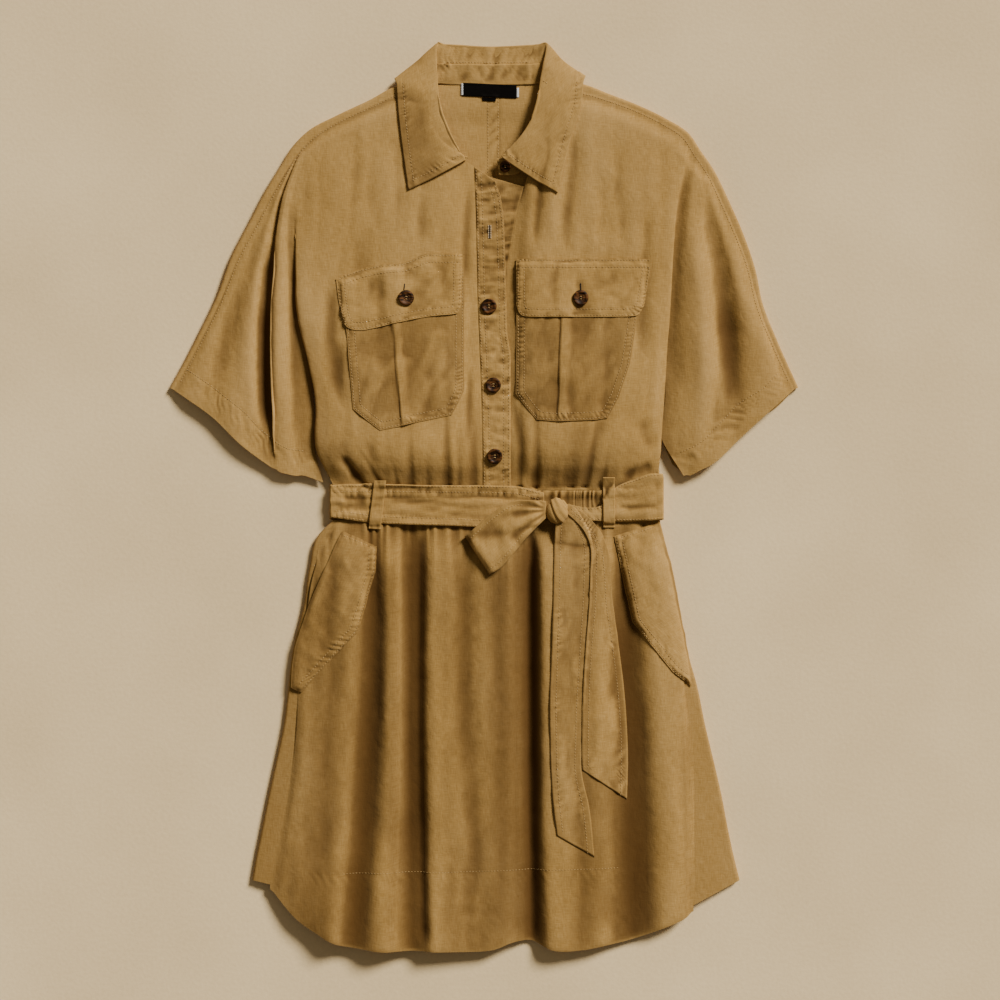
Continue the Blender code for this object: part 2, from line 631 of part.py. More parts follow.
def add_fronts():
    """The two dolman fronts, each cut in one with its half sleeve. Returns their placket edges.

    Below the underarm, the body side and the sleeve are apart.
    """
    edges = []
    for name, lines, fold, corner, underarm in (
        ("front_bodice_left", FRONT_LEFT, LEFT_FOLD, LEFT_CORNER, LEFT_UNDERARM),
        ("front_bodice_right", FRONT_RIGHT, RIGHT_FOLD, RIGHT_CORNER, RIGHT_UNDERARM),
    ):
        grid, slit = front_grid(lines, fold, corner)
        keep = np.ones((grid.shape[0] - 1, grid.shape[1] - 1), bool)
        keep[refined(LEVELS, FRONT_STEPS)[:-1] >= underarm, slit] = False
        add_sheet(name, grid, CLOTH, up_at=(5, 4), keep=keep)
        edges.append(grid[:, 0])
    return edges


def add_back(name, lines, fold, hem):
    """One half of the back: flat on the ground, rolled over the shoulder and sleeve top."""
    neck_lines = [line for line in lines if isinstance(line.start, tuple)]
    fold_lines = [line for line in lines if not isinstance(line.start, tuple)]
    shares = fold.shares
    ends = np.array([line.end for line in fold_lines], float)
    ends = np.stack([refined(ends[:, axis], BACK_STEPS) for axis in (0, 1)], axis=1)

    lift = back_lift(*fold.at(shares, 3.0).T)
    radius = (fold.height(shares) - lift) / 2
    roll = [fold.seam()]
    for degrees in ROLL_ANGLES:
        inset = radius * (1 + math.cos(math.radians(degrees)))
        height = lift + radius * (1 + math.sin(math.radians(degrees)))
        roll.append(np.column_stack([fold.at(shares, inset), height]))
    roll = np.array(roll)

    neck_starts = np.array([line.start for line in neck_lines], float)
    neck_ends = np.array([line.end for line in neck_lines], float)
    starts = np.concatenate([neck_starts, roll[-1, :, :2]])
    stops = np.concatenate([neck_ends, ends])
    share = np.array(BACK_SHARES)[:, None, None]
    floor = starts[None] * (1 - share) + stops[None] * share
    hem_curve = through(shares_of_length(hem), hem, np.array(BACK_SHARES))
    floor[1:, -1] = hem_curve[1:]
    heights = back_lift(floor[:, :, 0], floor[:, :, 1])
    floor = np.concatenate([floor, heights[:, :, None]], axis=2)

    neck_roll = np.repeat(floor[:1, :len(neck_lines)], len(roll), axis=0)
    grid = np.concatenate([np.concatenate([neck_roll, roll], axis=1), floor[1:]])
    keep = np.ones((grid.shape[0] - 1, grid.shape[1] - 1), bool)
    keep[:len(roll) - 1, :len(neck_lines)] = False
    add_sheet(name, grid, CLOTH, up=False, up_at=(len(roll) + 2, 4), keep=keep)


# ---------------------------------------------------------------- skirt
def skirt_side(y, column):
    """A column of the table of side folds at height y."""
    table = np.array(SKIRT_SIDES, float)[::-1]
    return through(table[:, 0], table[:, column], y)


def add_skirt_back():
    """The back of the skirt, flat on the ground and wrapped forward round both sides.

    Returns its two side edges.
    """
    share = np.linspace(0.0, 1.0, SKIRT_BACK_ROWS + 1)
    side_y = WAIST_BOTTOM - 0.3 + share * (SKIRT_SIDES[-1].y - WAIST_BOTTOM + 0.3)
    left, left_wrap = skirt_side(side_y, 1), skirt_side(side_y, 2)
    right, right_wrap = skirt_side(side_y, 3), skirt_side(side_y, 4)
    lift = back_lift(0.0, side_y)
    radius = (SKIRT_SIDE_HEIGHT - lift) / 2
    top = np.full(len(share), SKIRT_SIDE_HEIGHT)

    columns = [np.column_stack([left + left_wrap, side_y - SIDE_SEAM_DROP_LEFT * share, top])]
    for degrees in ROLL_ANGLES:
        x = left + radius * (1 + math.cos(math.radians(degrees)))
        z = lift + radius * (1 + math.sin(math.radians(degrees)))
        drop = 1.0 * share if degrees < 180 else 0.0
        columns.append(np.column_stack([x, side_y - drop, z]))
    hem = np.array(BACK_HEM)
    for part in np.linspace(0.0, 1.0, SKIRT_BACK_COLUMNS + 1)[1:-1]:
        x = (left + radius) * (1 - part) + (right - radius) * part
        hem_y = np.interp(x[-1], hem[:, 0], hem[:, 1])
        y = side_y[0] + share * (hem_y - side_y[0])
        columns.append(np.column_stack([x, y, back_lift(0.0, y)]))
    for degrees in ROLL_ANGLES[::-1]:
        x = right - radius * (1 + math.cos(math.radians(degrees)))
        z = lift + radius * (1 + math.sin(math.radians(degrees)))
        drop = 2.0 * share if degrees < 180 else 0.0
        columns.append(np.column_stack([x, side_y - drop, z]))
    for part in (0.5, 1.0):
        x = right - radius * (1 - part) - right_wrap * part
        drop = SIDE_SEAM_DROP_RIGHT * part * smoothstep((share - 0.5) / 0.5)
        columns.append(np.column_stack([x, side_y - drop, top]))
    grid = np.array(columns).transpose(1, 0, 2)
    add_sheet("skirt_back", grid, CLOTH, up=False, up_at=(6, 10))
    return grid[:, 0], grid[:, -1]


def add_skirt_front(left_edge, right_edge):
    """The front of the skirt, with its ridges and valleys from the gathered waist to the hem."""
    level_y = np.array(SKIRT_LEVEL_Y)
    side_z = np.full(len(level_y), SKIRT_SIDE_HEIGHT)
    table = [[*zip(beside(left_edge, level_y, 1), level_y, side_z), (*FRONT_SIDE_HEM[0], SKIRT_SIDE_HEIGHT)]]
    for line in SKIRT_LINES:
        places = (line.waist_x, line.hip_x, line.thigh_x, line.low_x)
        heights = (line.waist_z, line.hip_z, line.thigh_z, line.low_z)
        hem = (line.hem_x, line.hem_y, 0.92 * line.low_z + 0.4)
        table.append([*zip(places, level_y, heights), hem])
    table.append([*zip(beside(right_edge, level_y, -1), level_y, side_z), (*FRONT_SIDE_HEM[1], SKIRT_SIDE_HEIGHT)])
    stations = np.array(table, float).transpose(1, 0, 2)
    grid = loft(stations, SKIRT_LEVELS, 2, np.linspace(0.0, 1.0, SKIRT_FRONT_ROWS + 1))
    grid[:, 0, 0] = beside(left_edge, grid[:, 0, 1], 1)
    grid[:, -1, 0] = beside(right_edge, grid[:, -1, 1], -1)
    add_sheet("skirt_front", grid, CLOTH, up_at=(6, 10))


def beside(edge, y, turn):
    """x at height y of the line one seam gap beside this edge; turn is 1 to its right, -1 to its left."""
    return np.interp(-np.asarray(y), -edge[:, 1], edge[:, 0]) + turn * SEAM_GAP


# ---------------------------------------------------------------- waist casing
def add_casings():
    """The gathered waist casing, in a back and a front half that meet at the sides."""
    y_top, y_bottom = WAIST_TOP - 0.3, WAIST_BOTTOM + 0.2
    ends = (-155.3, 178.6)
    x = np.linspace(*ends, 28)
    back = [(px, y_top, BACK_LIFT_AT_WAIST, px, y_bottom, BACK_LIFT_AT_WAIST) for px in (ends[0], 0.0, ends[1])]
    add_sheet("waist_casing_back", strip(back, 1, 3), CLOTH, up=False, up_at=(0, 0))
    middle = (ends[0] + ends[1]) / 2
    rise = smoothstep((abs(ends[1] - middle) - np.abs(x - middle)) / 14.0)
    height = 4.8 + 1.5 * rise
    front = np.column_stack([x, np.full(28, y_top), height, x, np.full(28, y_bottom), height])
    add_sheet("waist_casing_front", strip(front, 1, 1), CLOTH, up_at=(10, 0))


# ---------------------------------------------------------------- plackets and collar
PLACKET_EDGE = ((6, 26.2), (148, 26), (170, 22.4), (230, 21), (286, 19.2), (312, 15.6), (327.5, 10))  # y, x
PLACKET_TOP_SLOPE = 15.5  # how much lower the placket's top edge is on the right
UNDER_PLACKET_EDGE = 2.0  # x of its hidden edge
UNDER_PLACKET_TOP_SLOPE = 11.0


def add_plackets(left_edge, right_edge):
    """The button placket on the left front and the button stand under it on the right front."""
    near_top = smoothstep((right_edge[:, 1] - 240.0) / 82.0)
    inner = right_edge - (SEAM_GAP, 0.0, 0.0)
    outer = inner.copy()
    outer[:, 0] = UNDER_PLACKET_EDGE
    outer[:, 1] += UNDER_PLACKET_TOP_SLOPE * near_top
    add_sheet("under_placket", strip(np.column_stack([outer, inner]), 2, 1), CLOTH, up_at=(4, 0))

    near_top = smoothstep((left_edge[:, 1] - 250.0) / 93.0)
    inner = left_edge + (SEAM_GAP, 0.0, 0.0)
    outer = inner.copy()
    outer[:, 1] -= PLACKET_TOP_SLOPE * near_top
    outer[:, 0] = np.interp(outer[:, 1], *np.array(PLACKET_EDGE, float).T)
    add_sheet("button_placket", strip(np.column_stack([inner, outer]), 3, 1), CLOTH, up_at=(4, 0))


COLLAR_SECTIONS = (
    # stand seam, roll line, middle of the fall, outer edge; each x, y, z
    ((-22.5, 351, 9.6), (-20.3, 348.8, 10.2), (-50.4, 331.8, 11.6), (-80, 317.4, 10.8)),
    ((-31.6, 360.5, 9.4), (-27.5, 356, 11.4), (-57, 349, 12.6), (-85.4, 355, 10.8)),
    ((-45.6, 385, 9.4), (-40.5, 384, 12.4), (-66, 386, 13.0), (-89, 385, 10.8)),
    ((-51.5, 407, 9.4), (-47.5, 406, 12.4), (-70, 408, 13.0), (-91, 406.6, 10.8)),
    ((-54.5, 434, 8.6), (-50.5, 434, 11.8), (-72, 430, 12.4), (-92.5, 427.5, 10.4)),
    ((-49, 448.5, 5.4), (-50.6, 469.5, 7.0), (-72.5, 452.5, 6.0), (-94, 435.5, 6.0)),
    ((-42, 450.4, 3.9), (-42, 471, 3.0), (-60, 449, 0.6), (-78, 431, 0.3)),
    ((-32, 450.8, 3.6), (-30, 470.6, 2.0), (-38, 441, 0.0), (-50, 416, 0.0)),
    ((2.6, 450.5, 3.5), (5, 468.6, 2.0), (5, 441, 0.0), (5, 414, 0.0)),
    ((42, 450.8, 3.6), (43, 470.2, 2.0), (50, 441, 0.0), (62, 416, 0.0)),
    ((50, 450.4, 3.9), (55, 471, 3.0), (70, 449, 0.6), (87, 431, 0.3)),
    ((57, 448.5, 5.4), (64, 469.5, 7.0), (82.5, 452, 6.0), (103, 437.5, 6.0)),
    ((62, 432, 8.6), (58.2, 434, 11.8), (80, 431, 12.4), (101.6, 428.5, 10.4)),
    ((56, 402, 9.4), (52, 402, 12.4), (76, 404, 13.0), (99.6, 406.6, 10.8)),
    ((45.4, 377, 9.4), (40.8, 377, 12.4), (65, 375, 13.0), (89.6, 374, 10.8)),
    ((34.5, 364, 9.4), (28.5, 362, 12.0), (56, 350, 13.0), (81, 340, 10.8)),
    ((22, 352.5, 10.6), (18.2, 350.5, 11.6), (48.4, 329.7, 12.2), (74.9, 314, 10.8)),
)

STAND_SECTIONS = (
    # neck seam, collar seam; each x, y, z
    (-20.5, 349.0, 7.8, -21.5, 350.8, 7.6),
    (-34.4, 358.8, 7.6, -31.4, 361.5, 7.6),
    (-51.6, 383, 7.5, -45.4, 385.5, 7.6),
    (-54.0, 402, 7.4, -49.8, 404, 7.6),
    (-56.8, 421.5, 6.4, -53.4, 432, 6.8),
    (-54, 430.2, 4.6, -48.3, 447.5, 4.4),
    (-36, 430.3, 3.5, -35, 449.9, 3.5),
    (2.6, 429.2, 3.4, 2.6, 449.6, 3.4),
    (46, 430.3, 3.5, 44, 449.9, 3.5),
    (62, 430.5, 4.6, 56.3, 447.5, 4.4),
    (66.6, 421, 6.4, 61, 431, 6.8),
    (65.0, 401, 7.2, 55.6, 402, 7.6),
    (57, 376, 7.0, 45, 378, 7.6),
    (44.5, 345, 6.7, 35, 363, 7.6),
    (31, 334.5, 6.6, 24, 352.5, 7.6),
    (13.5, 334, 6.6, 12, 350.5, 7.2),
)


def add_collar():
    """The stand round the neck seam, and the leaf that rolls over it to the two points."""
    add_sheet("collar_stand", strip(STAND_SECTIONS, 1, 2), CLOTH, up_at=(2, 0))
    sections = np.array(COLLAR_SECTIONS, float)
    along = refined(np.arange(len(sections), dtype=float), 2)
    sections = through(np.arange(len(sections)), sections, along)
    across = (0.0, 0.5, 1.0, 1.3, 1.8, 2.4, 3.0)
    grid = through((0.0, 1.0, 2.0, 3.0), sections.transpose(1, 0, 2), across).transpose(1, 0, 2)
    grid[:, :, 2] = np.maximum(grid[:, :, 2], 0.0)
    add_sheet("collar_leaf", grid, DOUBLED, up_at=(4, 5))


def add_neck_labels():
    """The woven label on the back neck seam and the small size tab under it, both plain."""
    ground = Ground("back_bodice_left", "back_bodice_right", "collar_stand")
    label = laid(ruled(((-23.2, 430.7), (32.5, 428)), ((-23.8, 416.9), (32, 414.3)), 3, 6), ground)
    add_sheet("neck_label", label, 1.0, outer=False, colour=LABEL_BLACK, roughness=0.7)
    ground = Ground("back_bodice_left", "back_bodice_right")
    tab = laid(ruled(((-3.4, 415.4), (10.8, 414.7)), ((-3.2, 411.8), (10.6, 411.2)), 1, 2), ground, 1.0)
    add_sheet("size_tab", tab, 1.0, outer=False, colour=LABEL_BLACK, roughness=0.7, up_at=(0, 0))


# ---------------------------------------------------------------- pockets
class PocketSet(NamedTuple):
    """A chest pocket and its flap: the top and bottom edge of each, and the pocket's pleat line."""

    side: str
    pocket_top: tuple
    pocket_bottom: tuple
    flap_top: tuple
    flap_bottom: tuple
    pleat_top: tuple
    pleat_bottom: tuple


POCKETS = (
    PocketSet(
        "left",
        ((-148, 219), (-134, 224), (-120, 229), (-98, 233), (-84, 235), (-44, 245), (-33, 249), (-21.8, 250.4)),
        ((-137, 90), (-123, 78.5), (-108.7, 67.6), (-87, 72), (-76, 75), (-34.8, 83.7), (-28.5, 96), (-22.4, 109)),
        ((-155, 225), (-150, 227.5), (-143, 230.5), (-131, 235), (-112, 239.3), (-86, 241.5), (-62, 251),
         (-33, 251.2), (-28, 251.2), (-24.4, 251)),
        ((-150.5, 192), (-147.5, 181), (-141, 173.5), (-128.4, 171.6), (-112, 174.5), (-92, 179.3), (-60, 185.6),
         (-33, 188.4), (-27.5, 192), (-25, 200)),
        (-96.5, 180), (-86, 73),
    ),
    PocketSet(
        "right",
        ((33, 240), (46, 240), (58, 240), (78, 240), (92, 240), (120, 240), (138, 240), (150, 240), (166, 240)),
        ((31.7, 106), (42, 92), (52.9, 79), (72.6, 77), (86, 77.4), (112, 78.4), (126.4, 80.5), (138, 102),
         (149.5, 137)),
        ((32.3, 246), (38, 246), (46, 246), (72, 246), (100, 246), (128, 246), (154, 246), (164, 246), (173, 246)),
        ((32.3, 198), (36, 189), (45, 186), (72, 185.6), (100, 185.6), (128, 185.6), (150, 186), (158.6, 188.5),
         (165, 198)),
        (79, 187), (74.5, 77),
    ),
)
PLEAT_RISE = 0.9
PLEAT_WIDTH = 13.0


def add_chest_pockets():
    """Each chest pocket with its pleat, and the flap over its mouth."""
    for pocket in POCKETS:
        front = f"front_bodice_{pocket.side}"
        grid = laid(ruled(pocket.pocket_top, pocket.pocket_bottom, 7), Ground(front))
        share = (grid[:, :, 1] - pocket.pleat_bottom[1]) / (pocket.pleat_top[1] - pocket.pleat_bottom[1])
        pleat_x = pocket.pleat_bottom[0] + share * (pocket.pleat_top[0] - pocket.pleat_bottom[0])
        past = grid[:, :, 0] - pleat_x
        grid[:, :, 2] += PLEAT_RISE * smoothstep((past + 2.0) / 2.0) * smoothstep((PLEAT_WIDTH - past) / 4.0)
        add_sheet(f"chest_pocket_{pocket.side}", grid, CLOTH, outer=False)
        ground = Ground(front, f"chest_pocket_{pocket.side}")
        grid = laid(ruled(pocket.flap_top, pocket.flap_bottom, 5), ground)
        add_sheet(f"chest_flap_{pocket.side}", grid, DOUBLED, outer=False)


HIP_FLAPS = (
    # side, edge along the pocket mouth, free edge; each from the waist down
    ("left",
     ((-149, -37), (-161, -63), (-173, -90), (-185, -118), (-192, -138), (-198, -157), (-201, -176), (-202, -199)),
     ((-113, -52), (-114, -77), (-120, -98), (-126.5, -120), (-133, -141), (-148, -157), (-163, -173), (-191, -204))),
    ("right",
     ((134, -42), (138, -62), (143, -86), (148, -108), (153, -131), (173.5, -156.5), (194, -182), (214, -197.5)),
     ((180, -28), (186, -47), (191.5, -68), (196, -88), (200, -108), (205, -130), (211, -165), (214.4, -196.5))),
)


def add_hip_flaps():
    """The pointed flaps over the slanted hip pockets."""
    for side, mouth, free in HIP_FLAPS:
        grid = laid(ruled(mouth, free, 4), Ground("skirt_front", "skirt_back"), 6.0, 0.6)
        add_sheet(f"hip_flap_{side}", grid, DOUBLED, outer=False)


# ---------------------------------------------------------------- belt
def add_belt():
    """The sash: round the back and both sides, the two front stretches, knot, loop and tails."""
    wrap = (
        # x, z, top edge y, bottom edge y
        (-149.5, 9.4, BELT_TOP, -23.5), (-156.5, 9.2, BELT_TOP, -23), (-161.2, 7.4, BELT_TOP, -23),
        (-162.4, 4.5, BELT_TOP, -23.5), (-161.2, 1.6, BELT_TOP, -24.5), (-157, 0.0, BELT_TOP, -26),
        (-140, 0.0, BELT_TOP, BELT_BOTTOM), (-70, 0.0, BELT_TOP, BELT_BOTTOM),
        (10, 0.0, BELT_TOP, BELT_BOTTOM), (90, 0.0, BELT_TOP, BELT_BOTTOM),
        (160, 0.0, BELT_TOP, BELT_BOTTOM), (180, 0.0, 12.5, -26), (184.4, 1.8, 15, -25),
        (185.6, 5.4, 19, -24.5), (184.4, 9.2, 22, -24.5), (179.6, 11.4, 23.8, -25), (173.5, 11.6, 23.6, -25.5),
    )
    back = [(x, top, z, x, bottom, z) for x, z, top, bottom in wrap]
    grid = strip(back, 2, 1)
    grid[:, :, 2] = np.maximum(grid[:, :, 2], 0.0)
    add_sheet("belt_back", grid, BELT_WALL, up=False, up_at=(8, 0))

    ground = Ground("front_bodice_left", "front_bodice_right", "button_placket", "waist_casing_front", "skirt_front")
    left = (
        (-149, BELT_TOP, 7.7, -149, -23.8, 7.7), (-126, 12.2, 8.0, -126, -27, 8.0),
        (-102, 12.3, 8.2, -102, -29, 8.2), (-66, 11.8, 8.4, -66, -30.5, 8.4),
        (-29, 11.5, 8.6, -29, -31.5, 8.6), (10, 11.0, 9.0, 10, -33, 9.0),
        (36, 9.6, 9.6, 36, -30, 9.6), (61, 3, 11.0, 61, -25, 11.0),
    )
    add_sheet("belt_front_left", laid(strip(left, 4, 2), ground, 2.0), BELT_WALL, outer=False, up_at=(4, 1))
    right = (
        (84.6, -8, 10.5, 84.6, -24, 10.5), (105, -12, 9.0, 105, -25, 9.0),
        (121, -9, 8.6, 121, -26, 8.6), (134, 8, 9.2, 134, -26.5, 8.6),
        (155, 17.5, 9.8, 155, -26.3, 8.8), (173, 23.5, 10.1, 173, -25.5, 10.1),
    )
    ground = Ground("front_bodice_right", "waist_casing_front", "skirt_front")
    add_sheet("belt_front_right", laid(strip(right, 4, 2), ground, 2.0), BELT_WALL, outer=False, up_at=(4, 1))


KNOT_CENTRE = (73.0, -15.0, 15.6)
KNOT_RADII = (10.4, 12.6, 7.6)
KNOT_CREASE = 0.9

BOW_SECTIONS = (
    # upper edge x, y, z, then lower edge; from the knot out on top and back underneath
    (62.8, -5.5, 17.6, 62.6, -23, 17.6), (47, -4.5, 20.4, 49, -36.5, 20.4), (28.6, -5, 21.9, 40, -46, 21.4),
    (8, -17, 21.4, 27, -62, 20.4), (-10, -32, 19.4, 15, -74.5, 18.4), (-19.5, -40.5, 17.3, 6.5, -80, 16.3),
    (-21.6, -41.8, 15.1, 4.2, -81.2, 14.3), (-19.5, -40.5, 12.8, 6.5, -79.5, 12.3), (-8, -31, 11.8, 16, -73, 11.8),
    (10, -17, 11.7, 28, -60, 11.8), (30, -8, 12.3, 41, -45, 12.4), (47, -7, 12.9, 50, -34, 12.9),
    (62.4, -8, 13.2, 62.4, -22, 13.2),
)

LONG_TAIL = (
    (75, -29.5, 13, 92, -29.5, 13), (71.5, -49, 12.5, 109, -49, 12.5), (70.4, -80, 0, 109, -80, 0),
    (70, -108, 0, 108, -108, 0), (69, -140, 0, 106, -140, 0), (68, -173, 0, 104, -173, 0),
    (66.6, -219, 0, 101, -219, 0), (67, -250, 0, 100, -252, 0), (67.5, -276, 0, 99.5, -283, 0),
    (70, -318, 0, 108, -325, 0), (74, -351.5, 0, 113, -374, 0),
)
SHORT_TAIL = (
    (93, -29.5, 16, 105, -29.5, 16), (106, -40, 15, 118, -40, 15), (109.5, -52, 0, 127, -52, 0),
    (108.4, -80, 0, 130, -80, 0), (107.6, -108, 0, 131.6, -108, 0), (104.5, -146, 0, 137, -146, 0),
    (101, -200, 0, 144, -200, 0), (100, -240, 0, 147, -240, 0), (100, -270, 0, 148, -276, 0),
    (100.5, -283.5, 0, 147, -315, 0),
)


def add_knot():
    """The knot: a rounded lump with the crease of the sash drawn across it."""
    turns, rings = 20, 10
    azimuth = np.linspace(0.0, 2 * math.pi, turns, endpoint=False)
    polar = np.linspace(0.0, math.pi, rings + 1)[1:-1]
    azimuth, polar = np.meshgrid(azimuth, polar)
    crease = 1.0 - KNOT_CREASE / KNOT_RADII[0] * np.exp(-((np.sin(azimuth - 0.6) / 0.35) ** 2))
    x = KNOT_CENTRE[0] + KNOT_RADII[0] * crease * np.sin(polar) * np.cos(azimuth)
    y = KNOT_CENTRE[1] + KNOT_RADII[1] * crease * np.sin(polar) * np.sin(azimuth)
    z = KNOT_CENTRE[2] + KNOT_RADII[2] * np.cos(polar)
    points = np.stack([x, y, z], axis=2).reshape(-1, 3)
    poles = np.array([KNOT_CENTRE, KNOT_CENTRE]) + ((0, 0, KNOT_RADII[2]), (0, 0, -KNOT_RADII[2]))
    points = np.concatenate([points, poles]) - (MIDDLE_X, 0.0, 0.0)
    faces = []
    for turn in range(turns):
        following = (turn + 1) % turns
        faces.append((len(points) - 2, turn, following))
        last = (rings - 2) * turns
        faces.append((len(points) - 1, last + following, last + turn))
        for ring in range(rings - 2):
            first = ring * turns
            faces.append((first + turn, first + turns + turn, first + turns + following, first + following))
    mesh = bpy.data.meshes.new("belt_knot")
    mesh.from_pydata((points * MM).tolist(), [], faces)
    mesh.shade_smooth()
    link(bpy.data.objects.new("belt_knot", mesh), LINEN, 0.9)


def add_bow():
    """The knot, the half bow's loop, and the two tails that hang from the knot over the skirt."""
    add_knot()
    add_sheet("belt_bow_loop", strip(BOW_SECTIONS, 3, 2), BELT_WALL, up_at=(4, 1))
    ground = Ground("skirt_front", "waist_casing_front", "belt_front_left", "belt_front_right")
    add_sheet("belt_tail_long", laid(strip(LONG_TAIL, 3, 2), ground, 6.0), BELT_WALL, outer=False)
    ground = Ground("skirt_front", "waist_casing_front", "belt_front_right", "belt_tail_long")
    add_sheet("belt_tail_short", laid(strip(SHORT_TAIL, 3, 2), ground, 5.0), BELT_WALL, outer=False)


BELT_CARRIERS = (
    ("left", ((-115.6, 16), (-103, 16)), ((-121.8, -34), (-109, -35))),
    ("right", ((121.8, 19.5), (134, 19.5)), ((122.4, -33), (134.6, -33))),
)


def add_belt_carriers():
    """The two loops of cloth that hold the belt at the waist."""
    for side, top, bottom in BELT_CARRIERS:
        ground = Ground(f"front_bodice_{side}", "skirt_front", "waist_casing_front", f"belt_front_{side}")
        grid = laid(ruled(top, bottom, 14), ground, 2.0)
        add_sheet(f"belt_carrier_{side}", grid, CLOTH, outer=False, up_at=(0, 0))


# ---------------------------------------------------------------- buttons
class Button(NamedTuple):
    """A button and the piece that it is sewn to."""

    name: str
    x: float
    y: float
    diameter: float
    on: str


BUTTONS = (
    Button("placket_button_1", 3.6, 197, BUTTON_DIAMETER, "button_placket"),
    Button("placket_button_2", 8.1, 115, BUTTON_DIAMETER, "button_placket"),
    Button("placket_button_3", 9.6, 41, BUTTON_DIAMETER, "button_placket"),
    Button("pocket_button_left", -82, 205, BUTTON_DIAMETER, "chest_flap_left"),
    Button("pocket_button_right", 98.7, 205.2, BUTTON_DIAMETER, "chest_flap_right"),
    Button("neck_button", 20.5, 342, NECK_BUTTON_DIAMETER, "collar_stand"),
)
# The button's half profile as shares of its radius: from the middle of the face round to the back.
BUTTON_PROFILE = ((0.0, 0.17), (0.48, 0.17), (0.64, 0.25), (0.86, 0.29), (1.0, 0.19), (0.97, 0.08), (0.80, 0.0), (0.0, 0.0))


def add_button(button):
    """A turned horn button with a raised rim, square to the cloth under it."""
    radius = button.diameter / 2
    profile = [(share * radius * MM, 0.0, height * radius * MM) for share, height in BUTTON_PROFILE]
    mesh = bpy.data.meshes.new(button.name)
    mesh.from_pydata(profile, [(i, i + 1) for i in range(len(profile) - 1)], [])
    obj = bpy.data.objects.new(button.name, mesh)
    ground = Ground(button.on)
    height, normal = ground.hit(button.x, button.y)
    lean = Vector((0.0, 0.0, 1.0)).rotation_difference(normal)
    rim = ground.top(button.x, button.y, 0.8 * radius)
    height = max(height, rim - 0.8 * radius * math.sin(lean.angle))
    place = Vector((button.x - MIDDLE_X, button.y, height)) + normal * LIE_GAP
    obj.location = place * MM
    obj.rotation_mode = "QUATERNION"
    obj.rotation_quaternion = lean
    screw = obj.modifiers.new("Turn", "SCREW")
    screw.steps = 14
    screw.render_steps = 14
    screw.use_merge_vertices = True
    screw.merge_threshold = 0.00001
    screw.use_smooth_shade = True
    link(obj, HORN, 0.35)


# ---------------------------------------------------------------- the dress
def main():
    """Build the dress, from the cloth on the ground up to what lies on top of it."""
    clear_scene()
    bpy.context.scene.unit_settings.scale_length = 1.0
    bpy.context.scene.collection.children.link(bpy.data.collections.new(COLLECTION_NAME))
    add_back("back_bodice_left", BACK_LEFT, LEFT_FOLD, SLEEVE_HEM_LEFT)
    add_back("back_bodice_right", BACK_RIGHT, RIGHT_FOLD, SLEEVE_HEM_RIGHT)
    skirt_edges = add_skirt_back()
    placket_edges = add_fronts()
    add_skirt_front(*skirt_edges)
    add_casings()
    add_plackets(*placket_edges)
    add_collar()
    add_neck_labels()
    add_chest_pockets()
    add_hip_flaps()
    add_belt()
    add_bow()
    add_belt_carriers()
    for button in BUTTONS:
        add_button(button)


if __name__ == "__main__":
    main()
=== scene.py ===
"""Looks of a linen shirt dress that lies flat on its back.

The tables are in millimetres and the scene is in metres. +Z is up, +Y points to the collar, and left
and right are as seen from above. Every panel is a smooth surface through lines that run from its top
seam to its bottom edge. What lies on a panel takes its height from a contour map of the cloth below.
"""

import logging
import math
from dataclasses import dataclass, field
from enum import Enum
from functools import reduce
from typing import NamedTuple, Sequence

import bpy
import numpy as np
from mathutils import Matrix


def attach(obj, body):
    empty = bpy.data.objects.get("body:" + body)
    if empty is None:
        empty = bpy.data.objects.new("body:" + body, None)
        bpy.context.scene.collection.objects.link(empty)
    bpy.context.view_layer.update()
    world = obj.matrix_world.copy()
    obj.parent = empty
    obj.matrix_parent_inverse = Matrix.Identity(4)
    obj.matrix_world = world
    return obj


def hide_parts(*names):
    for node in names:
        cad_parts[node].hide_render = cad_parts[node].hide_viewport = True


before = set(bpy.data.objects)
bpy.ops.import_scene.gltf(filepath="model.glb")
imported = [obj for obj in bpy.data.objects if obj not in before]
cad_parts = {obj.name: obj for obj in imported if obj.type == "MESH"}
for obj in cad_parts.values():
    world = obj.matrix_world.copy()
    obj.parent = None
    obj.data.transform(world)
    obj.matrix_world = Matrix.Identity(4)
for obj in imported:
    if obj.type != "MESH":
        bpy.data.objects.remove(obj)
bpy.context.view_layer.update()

LOG = logging.getLogger("shirt_dress")

Array = np.ndarray

MM = 0.001
MIDDLE_X = -1.5  # table x of the middle of the span from cuff to cuff
SEAM_GAP = 0.05  # between two panels that are sewn edge to edge
LIE_GAP = 0.2  # between a piece and what it lies on
CLOTH_WALL = 0.7
DOUBLED_WALL = 1.1
SASH_WALL = 1.2
WAIST_TOP = 6.0
WAIST_BOTTOM = -25.0
BELT_TOP = 12.0
BELT_BOTTOM = -28.0
BACK_LIFT_AT_WAIST = 2.0
BACK_LIFT_AT_NECK = 1.9
TONE_KNEE = 0.4  # past it the painted shade of a hollow grows ever slower
TONE_PAST_KNEE = 0.75  # how much it can still grow
WIDE_HOLLOW = (12.0, 2.6)  # half width of the surroundings, and the depth that gives a painted shade of 1
NARROW_HOLLOW = (3.2, 0.8)


class Face(Enum):
    """Which face of the cloth a grid of points is."""

    OUTER = -1.0
    UNDER = 1.0


class Held(Enum):
    """How a piece of cloth is held."""

    LAID = "laid"
    GATHERED = "gathered"
    FOLDED = "folded"


# ---------------------------------------------------------------- tables
class Line(NamedTuple):
    """A line down a front panel. top is a point, or the share of the top seam where it starts."""

    name: str
    top: tuple | float
    yoke: tuple
    chest: tuple
    rib: tuple
    blouse: tuple
    bottom: tuple


